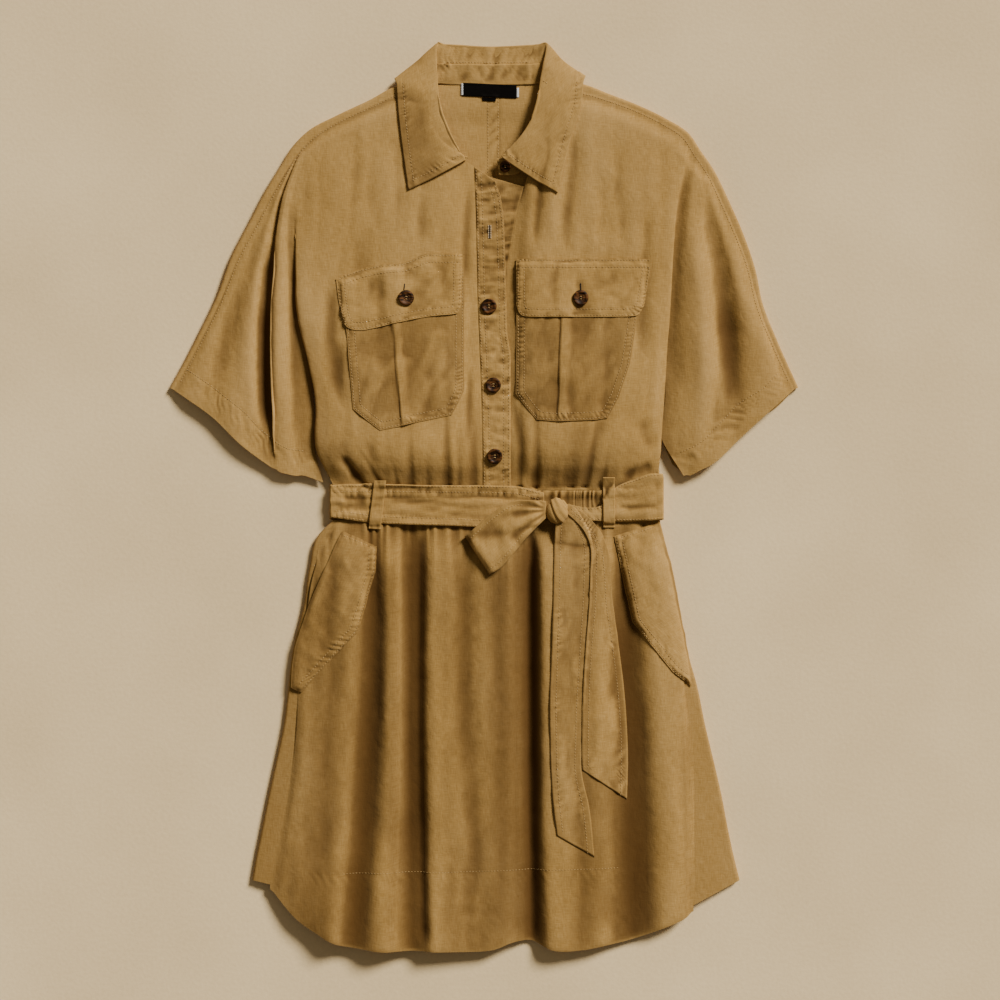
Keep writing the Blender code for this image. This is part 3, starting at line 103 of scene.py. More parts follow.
class BackLine(NamedTuple):
    """A line down a back panel: where it starts on the neck seam or the top fold, and its end."""

    start: tuple | float
    end: tuple


class Gather(NamedTuple):
    """A crease above the belt: a trough that rises from the waist seam and leans sideways."""

    x: float
    lean: float
    half_width: float
    depth: float
    reach: float


class SkirtLine(NamedTuple):
    """A ridge or valley down the front of the skirt, with its place and height at each level."""

    name: str
    waist_x: float
    hip_x: float
    thigh_x: float
    low_x: float
    hem_x: float
    hem_y: float
    waist_z: float
    hip_z: float
    thigh_z: float
    low_z: float


TOP_FOLD_LEFT = (
    # points of the fold along shoulder and sleeve top: x, y, inset of the seam, height of the seam
    (-60, 430, 10, 7.4), (-80, 429, 9.5, 7.4), (-93, 426.5, 8, 7.4), (-122, 412, 6.5, 7.2),
    (-154, 397, 6, 7), (-186, 379.5, 8.5, 7), (-202, 363, 9, 7), (-213, 345, 8.5, 7),
    (-227.5, 321.5, 8.5, 7), (-245, 288, 8, 7), (-265.5, 248, 7, 6.8), (-280.5, 207, 6, 6.6),
    (-296, 175, 5.5, 6.4), (-315.5, 137, 5, 6), (-329, 113, 5, 5.6),
)

TOP_FOLD_RIGHT = (
    (70, 430, 10, 7.4), (88, 431, 9.5, 7.4), (103, 428.5, 8.5, 7.4), (128.5, 419, 6, 7.2),
    (157, 408, 5.5, 7), (185.5, 394.5, 5.5, 7), (212.5, 377, 6, 7), (224, 360, 6.5, 7), (236.5, 342, 6.5, 7),
    (252.5, 310, 7, 7), (268.5, 273.5, 7, 6.8), (281, 237, 6, 6.6), (289, 200, 5.5, 6.4), (304, 162, 5, 6),
    (326, 113, 5, 5.6),
)

LEVELS = (0.0, 0.25, 0.50, 0.76, 0.91, 1.0)  # share of a line at each level of the front tables
FRONT_STEPS = (2, 3, 4, 3, 3)
FRONT_COLUMN = 8.0
LEFT_CORNER = 0.403  # share of the top seam where the shoulder line turns down the sleeve
RIGHT_CORNER = 0.440
LEFT_UNDERARM = 0.61  # share of a line where body side and sleeve part
RIGHT_UNDERARM = 0.68

FRONT_LEFT = tuple(Line(*row) for row in (
    ("placket seam", (-12, 343, 8.2), (-10, 290, 8.4), (-8, 200, 9), (-4, 95, 11), (-3, 40, 13.4),
     (-3, 6.2, 6.4)),
    ("inner chest", (-36, 358, 7.8), (-36, 291, 8.6), (-37, 200, 9.4), (-38, 95, 12.4), (-38, 40, 15.4),
     (-38, 6.2, 6.4)),
    ("middle chest", (-54, 382, 7.6), (-68, 295, 9), (-74, 200, 9.8), (-78, 95, 13.4), (-79, 40, 16.4),
     (-80, 6.2, 6.4)),
    ("neck point", 0.004, (-92, 298, 9.2), (-96, 200.5, 9.9), (-98, 95, 13.6), (-99, 40, 16),
     (-100, 6.2, 6.4)),
    ("pocket side", 0.12, (-118, 300, 9.4), (-118, 201, 10), (-119, 95, 13.4), (-120, 40, 15.4),
     (-121, 6.2, 6.4)),
    ("outer chest", 0.2, (-152, 303, 9.8), (-148, 203, 10.4), (-146, 95, 12.8), (-146, 40, 13.8),
     (-142, 6.4, 6.3)),
    ("side ridge", 0.262, (-182, 303, 9.6), (-184, 204, 10.2), (-166, 94, 10.8), (-164, 40, 10.6),
     (-151.5, 7, 6)),
    ("side fold edge", 0.292, (-193, 302, 9.2), (-196, 204, 8.3), (-176.5, 93, 7.7), (-174, 42, 7.2),
     (-156.8, 7.5, 5.4)),
    ("side seam", 0.302, (-197, 301, 8.9), (-191.5, 203, 5.5), (-171, 93, 3.2), (-168.5, 41, 3.2),
     (-153.4, 7.5, 4.8)),
    ("underarm", 0.311, (-200, 300, 8.7), (-190.3, 202, 4.1), (-190, 100, 3.2), (-189, 52, 3.2),
     (-188, 21, 4.9)),
    ("sleeve floor", 0.32, (-203, 299, 8.8), (-200.5, 202, 3.6), (-198, 101, 4.4), (-198, 54, 4.8),
     (-197, 21, 5.2)),
    ("sleeve inner ridge", 0.329, (-207, 299, 9.4), (-211, 202, 8.8), (-209, 103, 8.4), (-208, 57, 7.9),
     (-207, 23, 6.4)),
    ("deep fold ridge", 0.338, (-210, 298.5, 9.6), (-218, 201, 9.6), (-217, 105, 9.2), (-215.5, 60, 8.4),
     (-214, 25, 6.6)),
    ("deep fold edge", 0.347, (-214, 298, 8), (-223.5, 200.5, 7.7), (-223.5, 106, 7.4), (-221.5, 61, 7.3),
     (-218, 28, 6.4)),
    ("deep fold return", 0.355, (-211.8, 297.5, 5.9), (-220.6, 200, 5.5), (-221, 106.5, 5.5),
     (-220.8, 61.5, 6), (-221, 29, 6.1)),
    ("deep fold valley", 0.363, (-214.3, 297, 4.1), (-224.2, 200, 3.5), (-225.7, 107, 3.7),
     (-225, 62.5, 4.9), (-224.5, 31, 5.7)),
    ("sleeve ridge", 0.373, (-221, 295, 7.2), (-240, 206, 9), (-251, 122, 9.2), (-255, 80, 8.6),
     (-254, 53, 7.8)),
    ("sleeve soft valley", 0.383, (-227, 292, 7), (-252, 214, 7.4), (-274, 141, 7.2), (-282, 105, 7.2),
     (-284, 82, 6.9)),
    ("sleeve top ridge", 0.393, (-232, 289, 7.4), (-260, 222, 8), (-289, 156, 7.8), (-302.5, 123, 7.4),
     (-309, 100, 6.9)),
))

FRONT_RIGHT = tuple(Line(*row) for row in (
    ("placket seam", (40, 322, 6.4), (31, 284, 6.6), (20, 200, 7.1), (21, 95, 9.1), (21, 40, 11.4),
     (21, 6.2, 4.7)),
    ("beside placket", (45, 336, 6.9), (37, 286, 7.1), (28, 200, 7.4), (28.5, 95, 9.5), (28.5, 40, 11.8),
     (28.5, 6.2, 5.2)),
    ("inner chest", (58, 368, 7.2), (54, 290, 8.4), (52, 200, 9.2), (52, 95, 12.4), (52, 40, 15.4),
     (52, 6.2, 6.4)),
    ("middle chest", (67, 400, 7.4), (80, 296, 9), (82, 200, 9.6), (84, 95, 13.4), (84, 40, 16.4),
     (84, 6.2, 6.4)),
    ("pocket middle", 0.004, (100, 298, 9.2), (102, 200, 9.8), (103, 95, 13.6), (103, 40, 16.2),
     (103, 6.2, 6.4)),
    ("pocket side", 0.13, (124, 300, 9.4), (124, 200, 10), (123, 95, 13.4), (122, 42, 15.4),
     (122, 6.2, 6.4)),
    ("outer chest", 0.26, (158, 303, 9.6), (154, 201, 10.4), (152, 95, 13.4), (151, 46, 13.2),
     (150, 6.4, 6.3)),
    ("side ridge", 0.352, (190, 305, 9.2), (183, 203, 10), (177, 96, 11.4), (174, 54, 9.8), (173, 7, 6)),
    ("side fold edge", 0.368, (199, 306, 7.8), (192, 203, 8.2), (186, 97, 7.7), (182.5, 54, 7.2),
     (179.4, 7.5, 5.4)),
    ("side seam", 0.377, (200.5, 305.5, 5.6), (188, 203, 5.5), (180, 97, 3.2), (177, 54, 3.2),
     (174.6, 7.5, 4.8)),
    ("underarm", 0.386, (202.3, 305, 4.4), (189.6, 202, 4), (186.8, 100, 3.2), (184, 58, 3.2),
     (206, 21, 4.9)),
    ("sleeve floor", 0.395, (205, 304.5, 5), (196, 201, 3.8), (194.5, 103, 4.4), (194, 61, 4.8),
     (213, 21.5, 5.2)),
    ("sleeve inner ridge", 0.404, (212, 302, 8.6), (210, 203, 8.6), (209, 112, 8.2), (210, 68, 8),
     (222, 26, 7.2)),
    ("sleeve middle", 0.413, (222, 299, 8.8), (230, 207, 9.4), (234, 126, 9.4), (236, 84, 8.9),
     (240, 36, 8)),
    ("sleeve soft valley", 0.422, (232, 296, 7.6), (248, 217, 6.8), (259, 145, 6.4), (264, 104, 6.6),
     (265, 60, 6.6)),
    ("sleeve top ridge", 0.431, (241, 293, 8), (260, 232, 8.4), (278, 172, 8.4), (288, 128, 7.8),
     (291, 84, 7)),
))

GATHERS = tuple(Gather(*row) for row in (
    (-121, -0.8, 6.5, 2.8, 46), (-104, -0.62, 4.5, 1.8, 52), (-90, -0.2, 4, 1.2, 40),
    (-76, -0.02, 6, 2.1, 74), (-58, -0.05, 4, 1.1, 50), (-38, -0.03, 6, 2.4, 128), (-27, 0.02, 4, 1.2, 84),
    (-11, 0, 6, 2.1, 96), (36, 0.02, 4, 1.4, 120), (53.5, 0, 6, 2.3, 128), (71, 0.05, 7, 1.1, 66),
    (90, 0.04, 12, 2, 92), (104, 0.16, 6, 2.2, 92), (121, 0.14, 5, 1.3, 52), (141, 0.62, 7, 1.7, 40),
))

SLEEVE_HEM_LEFT = ((-327, 114), (-299, 95), (-267, 70), (-251, 52), (-227, 33), (-212, 25.5), (-189, 22.5))
SLEEVE_HEM_RIGHT = ((324, 114), (303, 92), (279, 78), (264, 62), (242, 39), (226, 29), (208, 22))

BACK_SEAM_X = 14.5
BACK_LEFT = tuple(BackLine(*row) for row in (
    ((BACK_SEAM_X - 0.02, 428.4), (BACK_SEAM_X - 0.02, 6.2)), ((-12, 429), (-14, 6.2)),
    ((-38, 429.6), (-40, 6.2)), (0, (-62, 6.2)), (0.08, (-97, 6.2)), (0.15, (-125, 6.2)),
    (0.21, (-144, 6.2)), (0.26, (-153.6, 8)), (0.3, (-165, 40)), (0.35, (-170.5, 92)), (0.43, (-190.5, 150)),
    (0.51, (-191, 124)), (0.61, (-190.5, 98)), (0.73, (-190, 70)), (0.87, (-189, 45)), (1, (-189, 22.5)),
))
BACK_RIGHT = tuple(BackLine(*row) for row in (
    ((BACK_SEAM_X + 0.02, 428.4), (BACK_SEAM_X + 0.02, 6.2)), ((34, 429), (36, 6.2)),
    ((54, 429.6), (54, 6.2)), (0, (72, 6.2)), (0.08, (104, 6.2)), (0.15, (134, 6.2)), (0.205, (160, 6.2)),
    (0.245, (174, 8)), (0.285, (175, 50)), (0.325, (178.4, 92)), (0.4, (186, 122)), (0.5, (187, 104)),
    (0.62, (185, 74)), (0.75, (186.5, 52)), (0.87, (195, 33)), (1, (208, 22)),
))
ROLL_ANGLES = tuple(range(90, 271, 15))  # degrees round a fold, from its top to the ground
BACK_SHARES = (0.0, 0.055, 0.12, 0.40, 0.68, 0.90, 0.96, 1.0)

SKIRT_SIDES = (
    # the two side folds: y, x of the left one, how far it wraps forward to its seam, the same on the right
    (-25.3, -158.8, 5, 181.2, 5), (-31, -165, 5.5, 183, 5.5), (-37, -171, 6, 184.5, 6),
    (-75, -183.5, 6, 193, 6), (-112, -189, 6.5, 200, 6), (-162, -201, 8, 210.5, 6.5),
    (-200, -205.5, 10, 221, 8), (-237, -210, 13, 228.5, 14), (-275, -218, 17, 237.5, 21),
    (-312, -226, 20, 246, 29), (-349, -233.5, 20, 253, 36), (-387, -241, 19, 261.5, 44),
    (-399.5, -243, 19, 264.7, 48.5),
)
SKIRT_SIDE_HEIGHT = 6.4
SIDE_SEAM_DROP_LEFT = 4.5
SIDE_SEAM_DROP_RIGHT = 26.0
SKIRT_LEVELS = (0.0, 0.10, 0.32, 0.70, 1.0)
SKIRT_LEVEL_Y = (-25.3, -65.0, -150.0, -300.0)

SKIRT_LINES = tuple(SkirtLine(*row) for row in (
    ("left ridge", -149, -164, -177, -190, -198, -437.5, 6.6, 8, 8.2, 8.4),
    ("left soft valley", -142, -150, -158, -166, -173, -455, 6.2, 7.4, 7.8, 8),
    ("left broad ridge", -131, -134, -138, -146, -157, -463.5, 6.8, 9.2, 9.2, 9),
    ("valley under flap", -118, -118, -118, -125, -139, -468.5, 5.8, 5, 4.4, 4.4),
    ("broad ridge", -100, -100, -99, -101, -110, -472.2, 6.8, 10.2, 10.2, 9.8),
    ("broad ridge slope", -89, -90, -90, -90, -94, -472.2, 6.8, 8.6, 8.4, 7.6),
    ("narrow valley", -78, -79, -79, -79, -77, -472.2, 5.6, 3.8, 2.6, 2.4),
    ("ridge by middle", -55, -54, -54, -53, -51, -472.6, 6.8, 10.2, 11.2, 11.2),
    ("ridge by middle, right side", -40, -40, -40, -37, -30, -472.6, 6.8, 10.4, 11.2, 11.2),
    ("middle soft valley", -22, -21, -20, -15, -7, -472.6, 6, 8.6, 9.2, 9.6),
    ("middle ridge", -4, -4, -2, 2, 8, -471, 6.8, 10.4, 10.6, 10.4),
    ("soft valley by middle", 14, 14, 14, 15, 17, -468, 6.2, 9.2, 9.2, 9.2),
    ("narrow ridge", 24, 24, 24, 24, 25, -464.6, 6.8, 9.4, 8.8, 8.2),
    ("valley by tail", 35, 34, 33, 33, 35, -462.5, 5.8, 6.4, 6.2, 6),
    ("deep line", 47, 46.5, 46, 46, 48, -462.5, 5.6, 4, 2.6, 2.4),
    ("ridge under tails", 61, 62, 63, 64, 69, -471, 6.8, 10.8, 11.6, 11.6),
    ("soft valley under tails", 92, 94, 96, 98, 100, -471, 6.2, 9.4, 10.4, 10.6),
    ("ridge by right flap", 122, 124, 116, 116, 120, -467.5, 6.8, 9.8, 10.4, 10.4),
    ("valley by right flap", 136, 141, 146, 149, 152, -461, 5.8, 5.4, 4.2, 3.8),
    ("right broad ridge", 152, 160, 176, 186, 190, -446.5, 6.8, 9.8, 10.4, 10.4),
    ("right soft slope", 168, 177, 195, 207, 209, -437.5, 6.2, 8.2, 9, 8.8),
))
SKIRT_PAINTED_SHADE = (
    # painted shade where the folds of the skirt are deepest: path, half width, extra painted shade, fade
    (((-109, -60), (-109, -108), (-110, -212), (-116, -275), (-122, -337), (-133, -385), (-134, -468)), 10,
     0.27, 30),
    (((-71, -36), (-69, -108), (-68, -275), (-67, -379), (-65, -425), (-63, -478)), 10, 0.5, 30),
    (((44, -36), (44.5, -108), (44.5, -212), (44, -337), (46, -420), (48, -472)), 16, 0.98, 30),
    (((136, -120), (141, -170), (144, -212), (151, -275), (155, -337), (158, -379), (161, -420), (165, -465)),
     14, 0.88, 30),
    (((-20, -70), (-21, -212), (-17, -275), (-11, -345), (-8, -420)), 8, 0.22, 30),
    (((-97, -60), (-97, -460)), 12, 0.24, 30), (((116, -60), (117, -300), (122, -460)), 16, 0.55, 30),
    (((16, -60), (16, -460)), 14, 0.5, 30),
)
FRONT_SIDE_HEM = (
    (-222.6, -409), (215.2, -431.5),
)
BACK_HEM = (
    (-243, -399.5), (-223, -406), (-203, -421), (-166, -450), (-130, -462), (-68, -469), (-11, -469),
    (46, -461), (119, -468), (163, -458), (190, -446), (216, -426), (236, -412), (264.7, -399.5),
)

FRONT_CREASES = {
    # path, half width, depth (negative for a ridge), fade
    "left": (
        (((-238, 300), (-262, 215), (-277, 150), (-284, 95)), 12, 2, 60),
        (((-224, 270), (-231, 204), (-232, 152), (-230, 100), (-222, 60)), 9, 4.8, 40),
        (((-160, 235), (-160, 160), (-152, 90)), 10, 2, 40),
        (((-226, 290), (-238, 200), (-243, 120), (-240, 60)), 7, -1.6, 60),
        (((-10, 335), (-18, 290), (-24, 215)), 6, 1.6, 30),
        (((-60, 350), (-66, 300), (-66, 255)), 8, 1.1, 30),
        (((-15, 140), (-17, 90), (-18, 50)), 4, 1.3, 30),
        (((-150, 165), (-152, 120), (-146, 80)), 8, 2, 30),
        (((-150, 42), (-140, 29), (-130, 12)), 5, 2.4, 10),
        (((-126, 60), (-118, 42), (-110, 22)), 7, 1.2, 16),
    ),
    "right": (
        (((228, 320), (243, 235), (254, 150), (258, 85)), 12, 4, 60),
        (((212, 300), (222, 220), (226, 140), (226, 70)), 9, -1.8, 60),
        (((282, 260), (292, 180), (296, 110)), 9, -1.2, 50),
        (((247, 215), (252, 165), (249, 118), (244, 85), (236, 42)), 13, 2.9, 50),
        (((64, 380), (58, 330), (53, 290), (50, 250)), 6, 2.4, 30),
        (((96, 390), (90, 330), (84, 290), (80, 250)), 8, 1.7, 40),
        (((140, 380), (138, 320), (140, 250)), 9, 1.1, 40), (((160, 84), (168, 62), (176, 44)), 8, 1.8, 14),
        (((66, 350), (70, 300), (69, 258)), 7, -1, 30), (((118, 345), (124, 300), (122, 255)), 9, 1.2, 30),
        (((170, 330), (166, 260), (162, 190), (165, 110)), 8, 1.8, 60),
        (((122, 88), (112, 48), (104, 12)), 7, 1.8, 24), (((143, 14), (153, 23), (176, 33)), 5.5, 2.4, 10),
        (((30, 96), (36, 50), (38, 10)), 6, 1.6, 24),
    ),
}
FRONT_PAINTED_SHADE = (
    # painted shade where the fronts are darker, in their folds and under the right collar point: path, half
    # width, extra painted shade, fade
    (((36, 322), (66, 300)), 8, 0.45, 6), (((-158, 215), (-156, 95)), 9, 0.16, 30),
    (((-231, 215), (-229, 60)), 9, 0.55, 40), (((243, 215), (251, 130), (238, 42)), 15, 0.24, 50),
    (((62, 372), (56, 320), (54, 256)), 5, 0.3, 40), (((92, 388), (84, 320), (80, 252)), 8, 0.22, 40),
    (((-17, 320), (-22, 250)), 6, 0.25, 30), (((-92, 330), (-98, 255)), 10, 0.2, 30),
    (((-60, 300), (-64, 256)), 7, 0.2, 20), (((138, 380), (138, 250)), 10, 0.2, 40),
    (((-130, 300), (-140, 120)), 16, 0.12, 60), (((176, 330), (170, 120)), 10, 0.22, 60),
    (((31, 250), (30, 100)), 5, 0.3, 20), (((-164, 190), (-160, 70)), 9, 0.3, 30),
    (((92, 78), (94, 8)), 20, 0.26, 14), (((-19, 112), (-18, 6)), 11, 0.34, 14),
    (((106, 90), (98, 6)), 8, 0.3, 20), (((-170, 60), (-150, 20)), 12, 0.25, 14),
    (((-150, 60), (-128, 12)), 8, 0.3, 10), (((-40, 110), (-37, 8)), 5, 0.2, 14),
    (((53, 112), (53.5, 8)), 5, 0.25, 14),
)

COLLAR_SECTIONS = (
    # stand seam, roll line, middle of the fall, outer edge; each x, y, z
    ((-22.5, 351, 9.6), (-20.3, 348.8, 10.2), (-50.4, 331.8, 11.6), (-80, 317.4, 10.8)),
    ((-31.6, 360.5, 9.4), (-27.5, 356, 11.4), (-57, 349, 12.6), (-85.4, 355, 10.8)),
    ((-45.6, 385, 9.4), (-40.5, 384, 12.4), (-66, 386, 13), (-89, 385, 10.8)),
    ((-51.5, 407, 9.4), (-47.5, 406, 12.4), (-70, 408, 13), (-91, 406.6, 10.8)),
    ((-54.5, 434, 8.6), (-50.5, 434, 11.8), (-72, 430, 12.4), (-92.5, 427.5, 10.4)),
    ((-55, 449.2, 4.4), (-50.6, 469.5, 7), (-72.5, 452.5, 6), (-94, 435.5, 6)),
    ((-42, 450.4, 3.9), (-42, 471, 3), (-60, 449, 0.6), (-78, 431, 0.3)),
    ((-32, 450.8, 3.6), (-30, 470.6, 2), (-38, 441, 0), (-50, 416, 0)),
    ((2.6, 450.5, 3.5), (5, 468.6, 2), (5, 441, 0), (5, 414, 0)),
    ((42, 450.8, 3.6), (43, 470.2, 2), (50, 441, 0), (62, 416, 0)),
    ((50, 450.4, 3.9), (55, 471, 3), (70, 449, 0.6), (87, 431, 0.3)),
    ((64, 449.2, 4.4), (64, 469.5, 7), (82.5, 452, 6), (103, 437.5, 6)),
    ((62, 432, 8.6), (58.2, 434, 11.8), (80, 431, 12.4), (101.6, 428.5, 10.4)),
    ((56, 402, 9.4), (52, 402, 12.4), (76, 404, 13), (99.6, 406.6, 10.8)),
    ((45.4, 377, 9.4), (40.8, 377, 12.4), (65, 375, 13), (89.6, 374, 10.8)),
    ((34.5, 364, 9.4), (28.5, 362, 12), (56, 350, 13), (81, 340, 10.8)),
    ((22, 352.5, 10.6), (18.2, 350.5, 11.6), (48.4, 329.7, 12.2), (74.9, 314, 10.8)),
)

STAND_SECTIONS = (
    # neck seam, collar seam; each x, y, z
    (-20.5, 349, 7.8, -21.5, 350.8, 7.6), (-34.4, 358.8, 7.6, -31.4, 361.5, 7.6),
    (-51.6, 383, 7.5, -45.4, 385.5, 7.6), (-54, 402, 7.4, -49.8, 404, 7.6),
    (-56.8, 421.5, 6.4, -53.4, 432, 6.8), (-54, 430.2, 3.9, -53.5, 448.5, 3.6),
    (-36, 430.3, 3.5, -35, 449.9, 3.5), (2.6, 429.2, 3.4, 2.6, 449.6, 3.4), (46, 430.3, 3.5, 44, 449.9, 3.5),
    (62, 430.5, 3.9, 62.5, 448.5, 3.6), (66.6, 421, 6.4, 61, 431, 6.8), (65, 401, 7.2, 55.6, 402, 7.6),
    (57, 376, 7, 45, 378, 7.6), (44.5, 345, 6.7, 35, 363, 7.6), (31, 334.5, 6.6, 24, 352.5, 7.6),
    (13.5, 334, 6.6, 12, 350.5, 7.2),
)


# ---------------------------------------------------------------- curves and surfaces
def through(knots: Sequence[float], values: Array, at: Array) -> Array:
    """Smooth curve through values at knots: a cubic between two knots, with slopes that weigh both
    neighbours by nearness.

    Args:
        knots: rising places of the values.
        values: one value, point or row of points for each knot.
        at: where the curve is wanted.

    Returns:
        The curve's values, one for each entry of at.
    """
    knots = np.asarray(knots, float)
    values = np.asarray(values, float)
    at = np.clip(np.asarray(at, float), knots[0], knots[-1])
    widen = (slice(None),) + (None,) * (values.ndim - 1)
    span = np.diff(knots)[widen]
    slope = np.diff(values, axis=0) / span
    tangent = np.concatenate([slope[:1], slope[:-1], slope[-1:]])
    tangent[1:-1] = (slope[:-1] * span[1:] + slope[1:] * span[:-1]) / (span[:-1] + span[1:])
    tangent[-1] = slope[-1]
    piece = np.clip(np.searchsorted(knots, at, side="right") - 1, 0, len(knots) - 2)
    t = ((at - knots[piece]) / (knots[piece + 1] - knots[piece]))[widen]
    width = span[piece]
    return (
        (2 * t**3 - 3 * t**2 + 1) * values[piece]
        + (t**3 - 2 * t**2 + t) * width * tangent[piece]
        + (3 * t**2 - 2 * t**3) * values[piece + 1]
        + (t**3 - t**2) * width * tangent[piece + 1]
    )


def shares_of_length(points: Array) -> Array:
    """Share of a polyline's length at each of its points.

    Args:
        points: the polyline, one point a row.

    Returns:
        Numbers from 0 to 1.
    """
    steps = np.linalg.norm(np.diff(np.asarray(points, float), axis=0), axis=1)
    return np.concatenate([[0.0], np.cumsum(steps)]) / steps.sum()


def refined(knots: Sequence[float], steps: int | Sequence[int]) -> Array:
    """The knots with even values added between them.

    Args:
        knots: rising values.
        steps: how many parts each gap is cut into, one number for all or one a gap.

    Returns:
        The longer list of values.
    """
    counts = np.broadcast_to(steps, len(knots) - 1)
    fine = [np.linspace(start, stop, count, endpoint=False)
            for start, stop, count in zip(knots[:-1], knots[1:], counts)]
    return np.append(np.concatenate(fine), knots[-1])


def smoothstep(value: Array | float) -> Array:
    """0 below 0, 1 above 1, and 3v^2 - 2v^3 between."""
    value = np.clip(value, 0.0, 1.0)
    return value * value * (3.0 - 2.0 * value)


def mean_gaps(stations: Array) -> Array:
    """Mean distance between each two neighbouring lines of points [level, line, xyz]."""
    return np.linalg.norm(np.diff(stations, axis=1), axis=2).mean(axis=0)


def loft(stations: Array, levels: Sequence[float], steps: Sequence[int], rows: Array) -> Array:
    """Smooth surface through lines of points: a cubic down each line, then a cubic across them.

    Args:
        stations: points [level, line, xyz].
        levels: share of a line at each level.
        steps: columns between two lines.
        rows: shares of a line at which the grid has a row.

    Returns:
        Grid [row, column, xyz]. The knots across follow the square root of the gaps, so a tight
        fold keeps its shape.
    """
    knots = np.concatenate([[0.0], np.cumsum(np.sqrt(mean_gaps(stations)))])
    down = through(levels, stations, rows)
    return through(knots, down.transpose(1, 0, 2), refined(knots, steps)).transpose(1, 0, 2)


def steps_between(stations: Array, width: float) -> Array:
    """How many columns each gap between two lines takes, so that none is much over width.

    Args:
        stations: points [level, line, xyz].
        width: widest column.

    Returns:
        One whole number a gap.
    """
    return np.maximum(1, np.rint(mean_gaps(stations) / width)).astype(int)


def ruled(first: Sequence[tuple], last: Sequence[tuple], rows: int, steps: int,
          smooth: bool = False) -> Array:
    """Surface of straight lines between two edges.

    Args:
        first: (x, y) points of one edge.
        last: as many points of the other edge.
        rows: parts from edge to edge.
        steps: columns for each stretch of an edge.
        smooth: whether the edges curve through their points or are straight between them.

    Returns:
        Grid [row, column, xyz] at height 0.
    """
    knots = np.arange(len(first), dtype=float)
    at = refined(knots, steps)
    edges = []
    for edge in (np.asarray(first, float), np.asarray(last, float)):
        straight = np.stack([np.interp(at, knots, edge[:, axis]) for axis in (0, 1)], axis=1)
        edges.append(through(knots, edge, at) if smooth else straight)
    share = np.linspace(0.0, 1.0, rows + 1)[:, None, None]
    plan = edges[0][None] * (1 - share) + edges[1][None] * share
    return np.concatenate([plan, np.zeros(plan.shape[:2] + (1,))], axis=2)


def between(rows: Array, across: int) -> Array:
    """Band of straight lines between two edges.

    Args:
        rows: (x, y, z of one edge, x, y, z of the other) for each row.
        across: parts from edge to edge.

    Returns:
        Grid [row, column, xyz].
    """
    share = np.linspace(0.0, 1.0, across + 1)[None, :, None]
    return rows[:, None, :3] * (1 - share) + rows[:, None, 3:] * share


def strip(table: Sequence[tuple], across: int, steps: int) -> Array:
    """Band of cloth between two edge curves, each a cubic through its points.

    Args:
        table: rows of (x, y, z of one edge, x, y, z of the other).
        across: parts from edge to edge.
        steps: rows for each stretch of the table.

    Returns:
        Grid [row, column, xyz].
    """
    rows = np.asarray(table, float)
    knots = shares_of_length((rows[:, :3] + rows[:, 3:]) / 2)
    return between(through(knots, rows, refined(knots, steps)), across)


def plan(grid: Array) -> tuple[Array, Array]:
    """x and y of a grid's points."""
    return grid[:, :, 0], grid[:, :, 1]


def normals(grid: Array, upwards: bool = True) -> Array:
    """Unit normals of a grid: the cross product of its two directions.

    Args:
        grid: points [row, column, xyz].
        upwards: whether most normals shall point up.

    Returns:
        Normals [row, column, xyz].
    """
    found = np.cross(np.gradient(grid, axis=1), np.gradient(grid, axis=0))
    found /= np.maximum(np.linalg.norm(found, axis=2, keepdims=True), 1e-9)
    return found if (found[:, :, 2].mean() > 0) == upwards else -found


def box_mean(values: Array, reach: int, axis: int) -> Array:
    """Mean of a window round each value, by differences of a running sum; the ends are repeated.

    Args:
        values: the values.
        reach: how many neighbours on each side.
        axis: along which they lie.

    Returns:
        As many means.
    """
    pad = [(0, 0), (0, 0)]
    pad[axis] = (reach + 1, reach)
    total = np.pad(values, pad, mode="edge").cumsum(axis=axis)
    size = 2 * reach + 1
    ahead = np.take(total, np.arange(size, total.shape[axis]), axis)
    return (ahead - np.take(total, np.arange(values.shape[axis]), axis)) / size


def hollowness(grid: Array, reach: float) -> Array:
    """How far each point lies under the mean height round it, from two passes of a box.

    Args:
        grid: points [row, column, xyz].
        reach: half width of the surroundings.

    Returns:
        Depths, negative on ridges.
    """
    mean = grid[:, :, 2]
    for axis in (0, 1):
        gap = np.linalg.norm(np.diff(grid, axis=axis), axis=2).mean()
        count = int(np.clip(round(reach / gap), 1, grid.shape[axis] // 2))
        mean = box_mean(box_mean(mean, count, axis), count, axis)
    return mean - grid[:, :, 2]


def across_of(grid: Array) -> tuple[Array, Array]:
    """Run along each row from its first column, and from its last one.

    Args:
        grid: points [row, column, xyz].

    Returns:
        Both runs, in millimetres.
    """
    run = np.pad(np.linalg.norm(np.diff(grid, axis=1), axis=2).cumsum(axis=1), ((0, 0), (1, 0)))
    return run, run[:, -1:] - run


def in_from_edges(grid: Array) -> tuple[Array, Array]:
    """Run of each point from the nearer end of its row, and from the nearer end of its column."""
    side = np.minimum(*across_of(grid))
    return side, np.minimum(*(run.T for run in across_of(grid.transpose(1, 0, 2))))


def from_rim(grid: Array, rows: float, columns: float) -> Array:
    """Share of the way in from the nearest rim: 1 at so many rows or columns from it, and more past that."""
    down, across = (np.linspace(0.0, 1.0, count) for count in grid.shape[:2])
    down = np.minimum(down, down[::-1]) * len(down) / rows
    across = np.minimum(across, across[::-1]) * len(across) / columns
    return np.minimum(down[:, None], across[None])


def puffed(grid: Array, height: float, first: float, last: float) -> Array:
    """The grid swollen upwards, as a quarter sine from its two side edges.

    Args:
        grid: points [row, column, xyz].
        height: how far the middle rises.
        first: width over which it rises from the first column.
        last: width over which it rises from the last column.

    Returns:
        Heights to add.
    """
    near, far = across_of(grid)
    for run, reach in ((near, first), (far, last)):
        height = height * np.sin(math.pi / 2 * np.clip(run / reach, 0.0, 1.0))
    return height


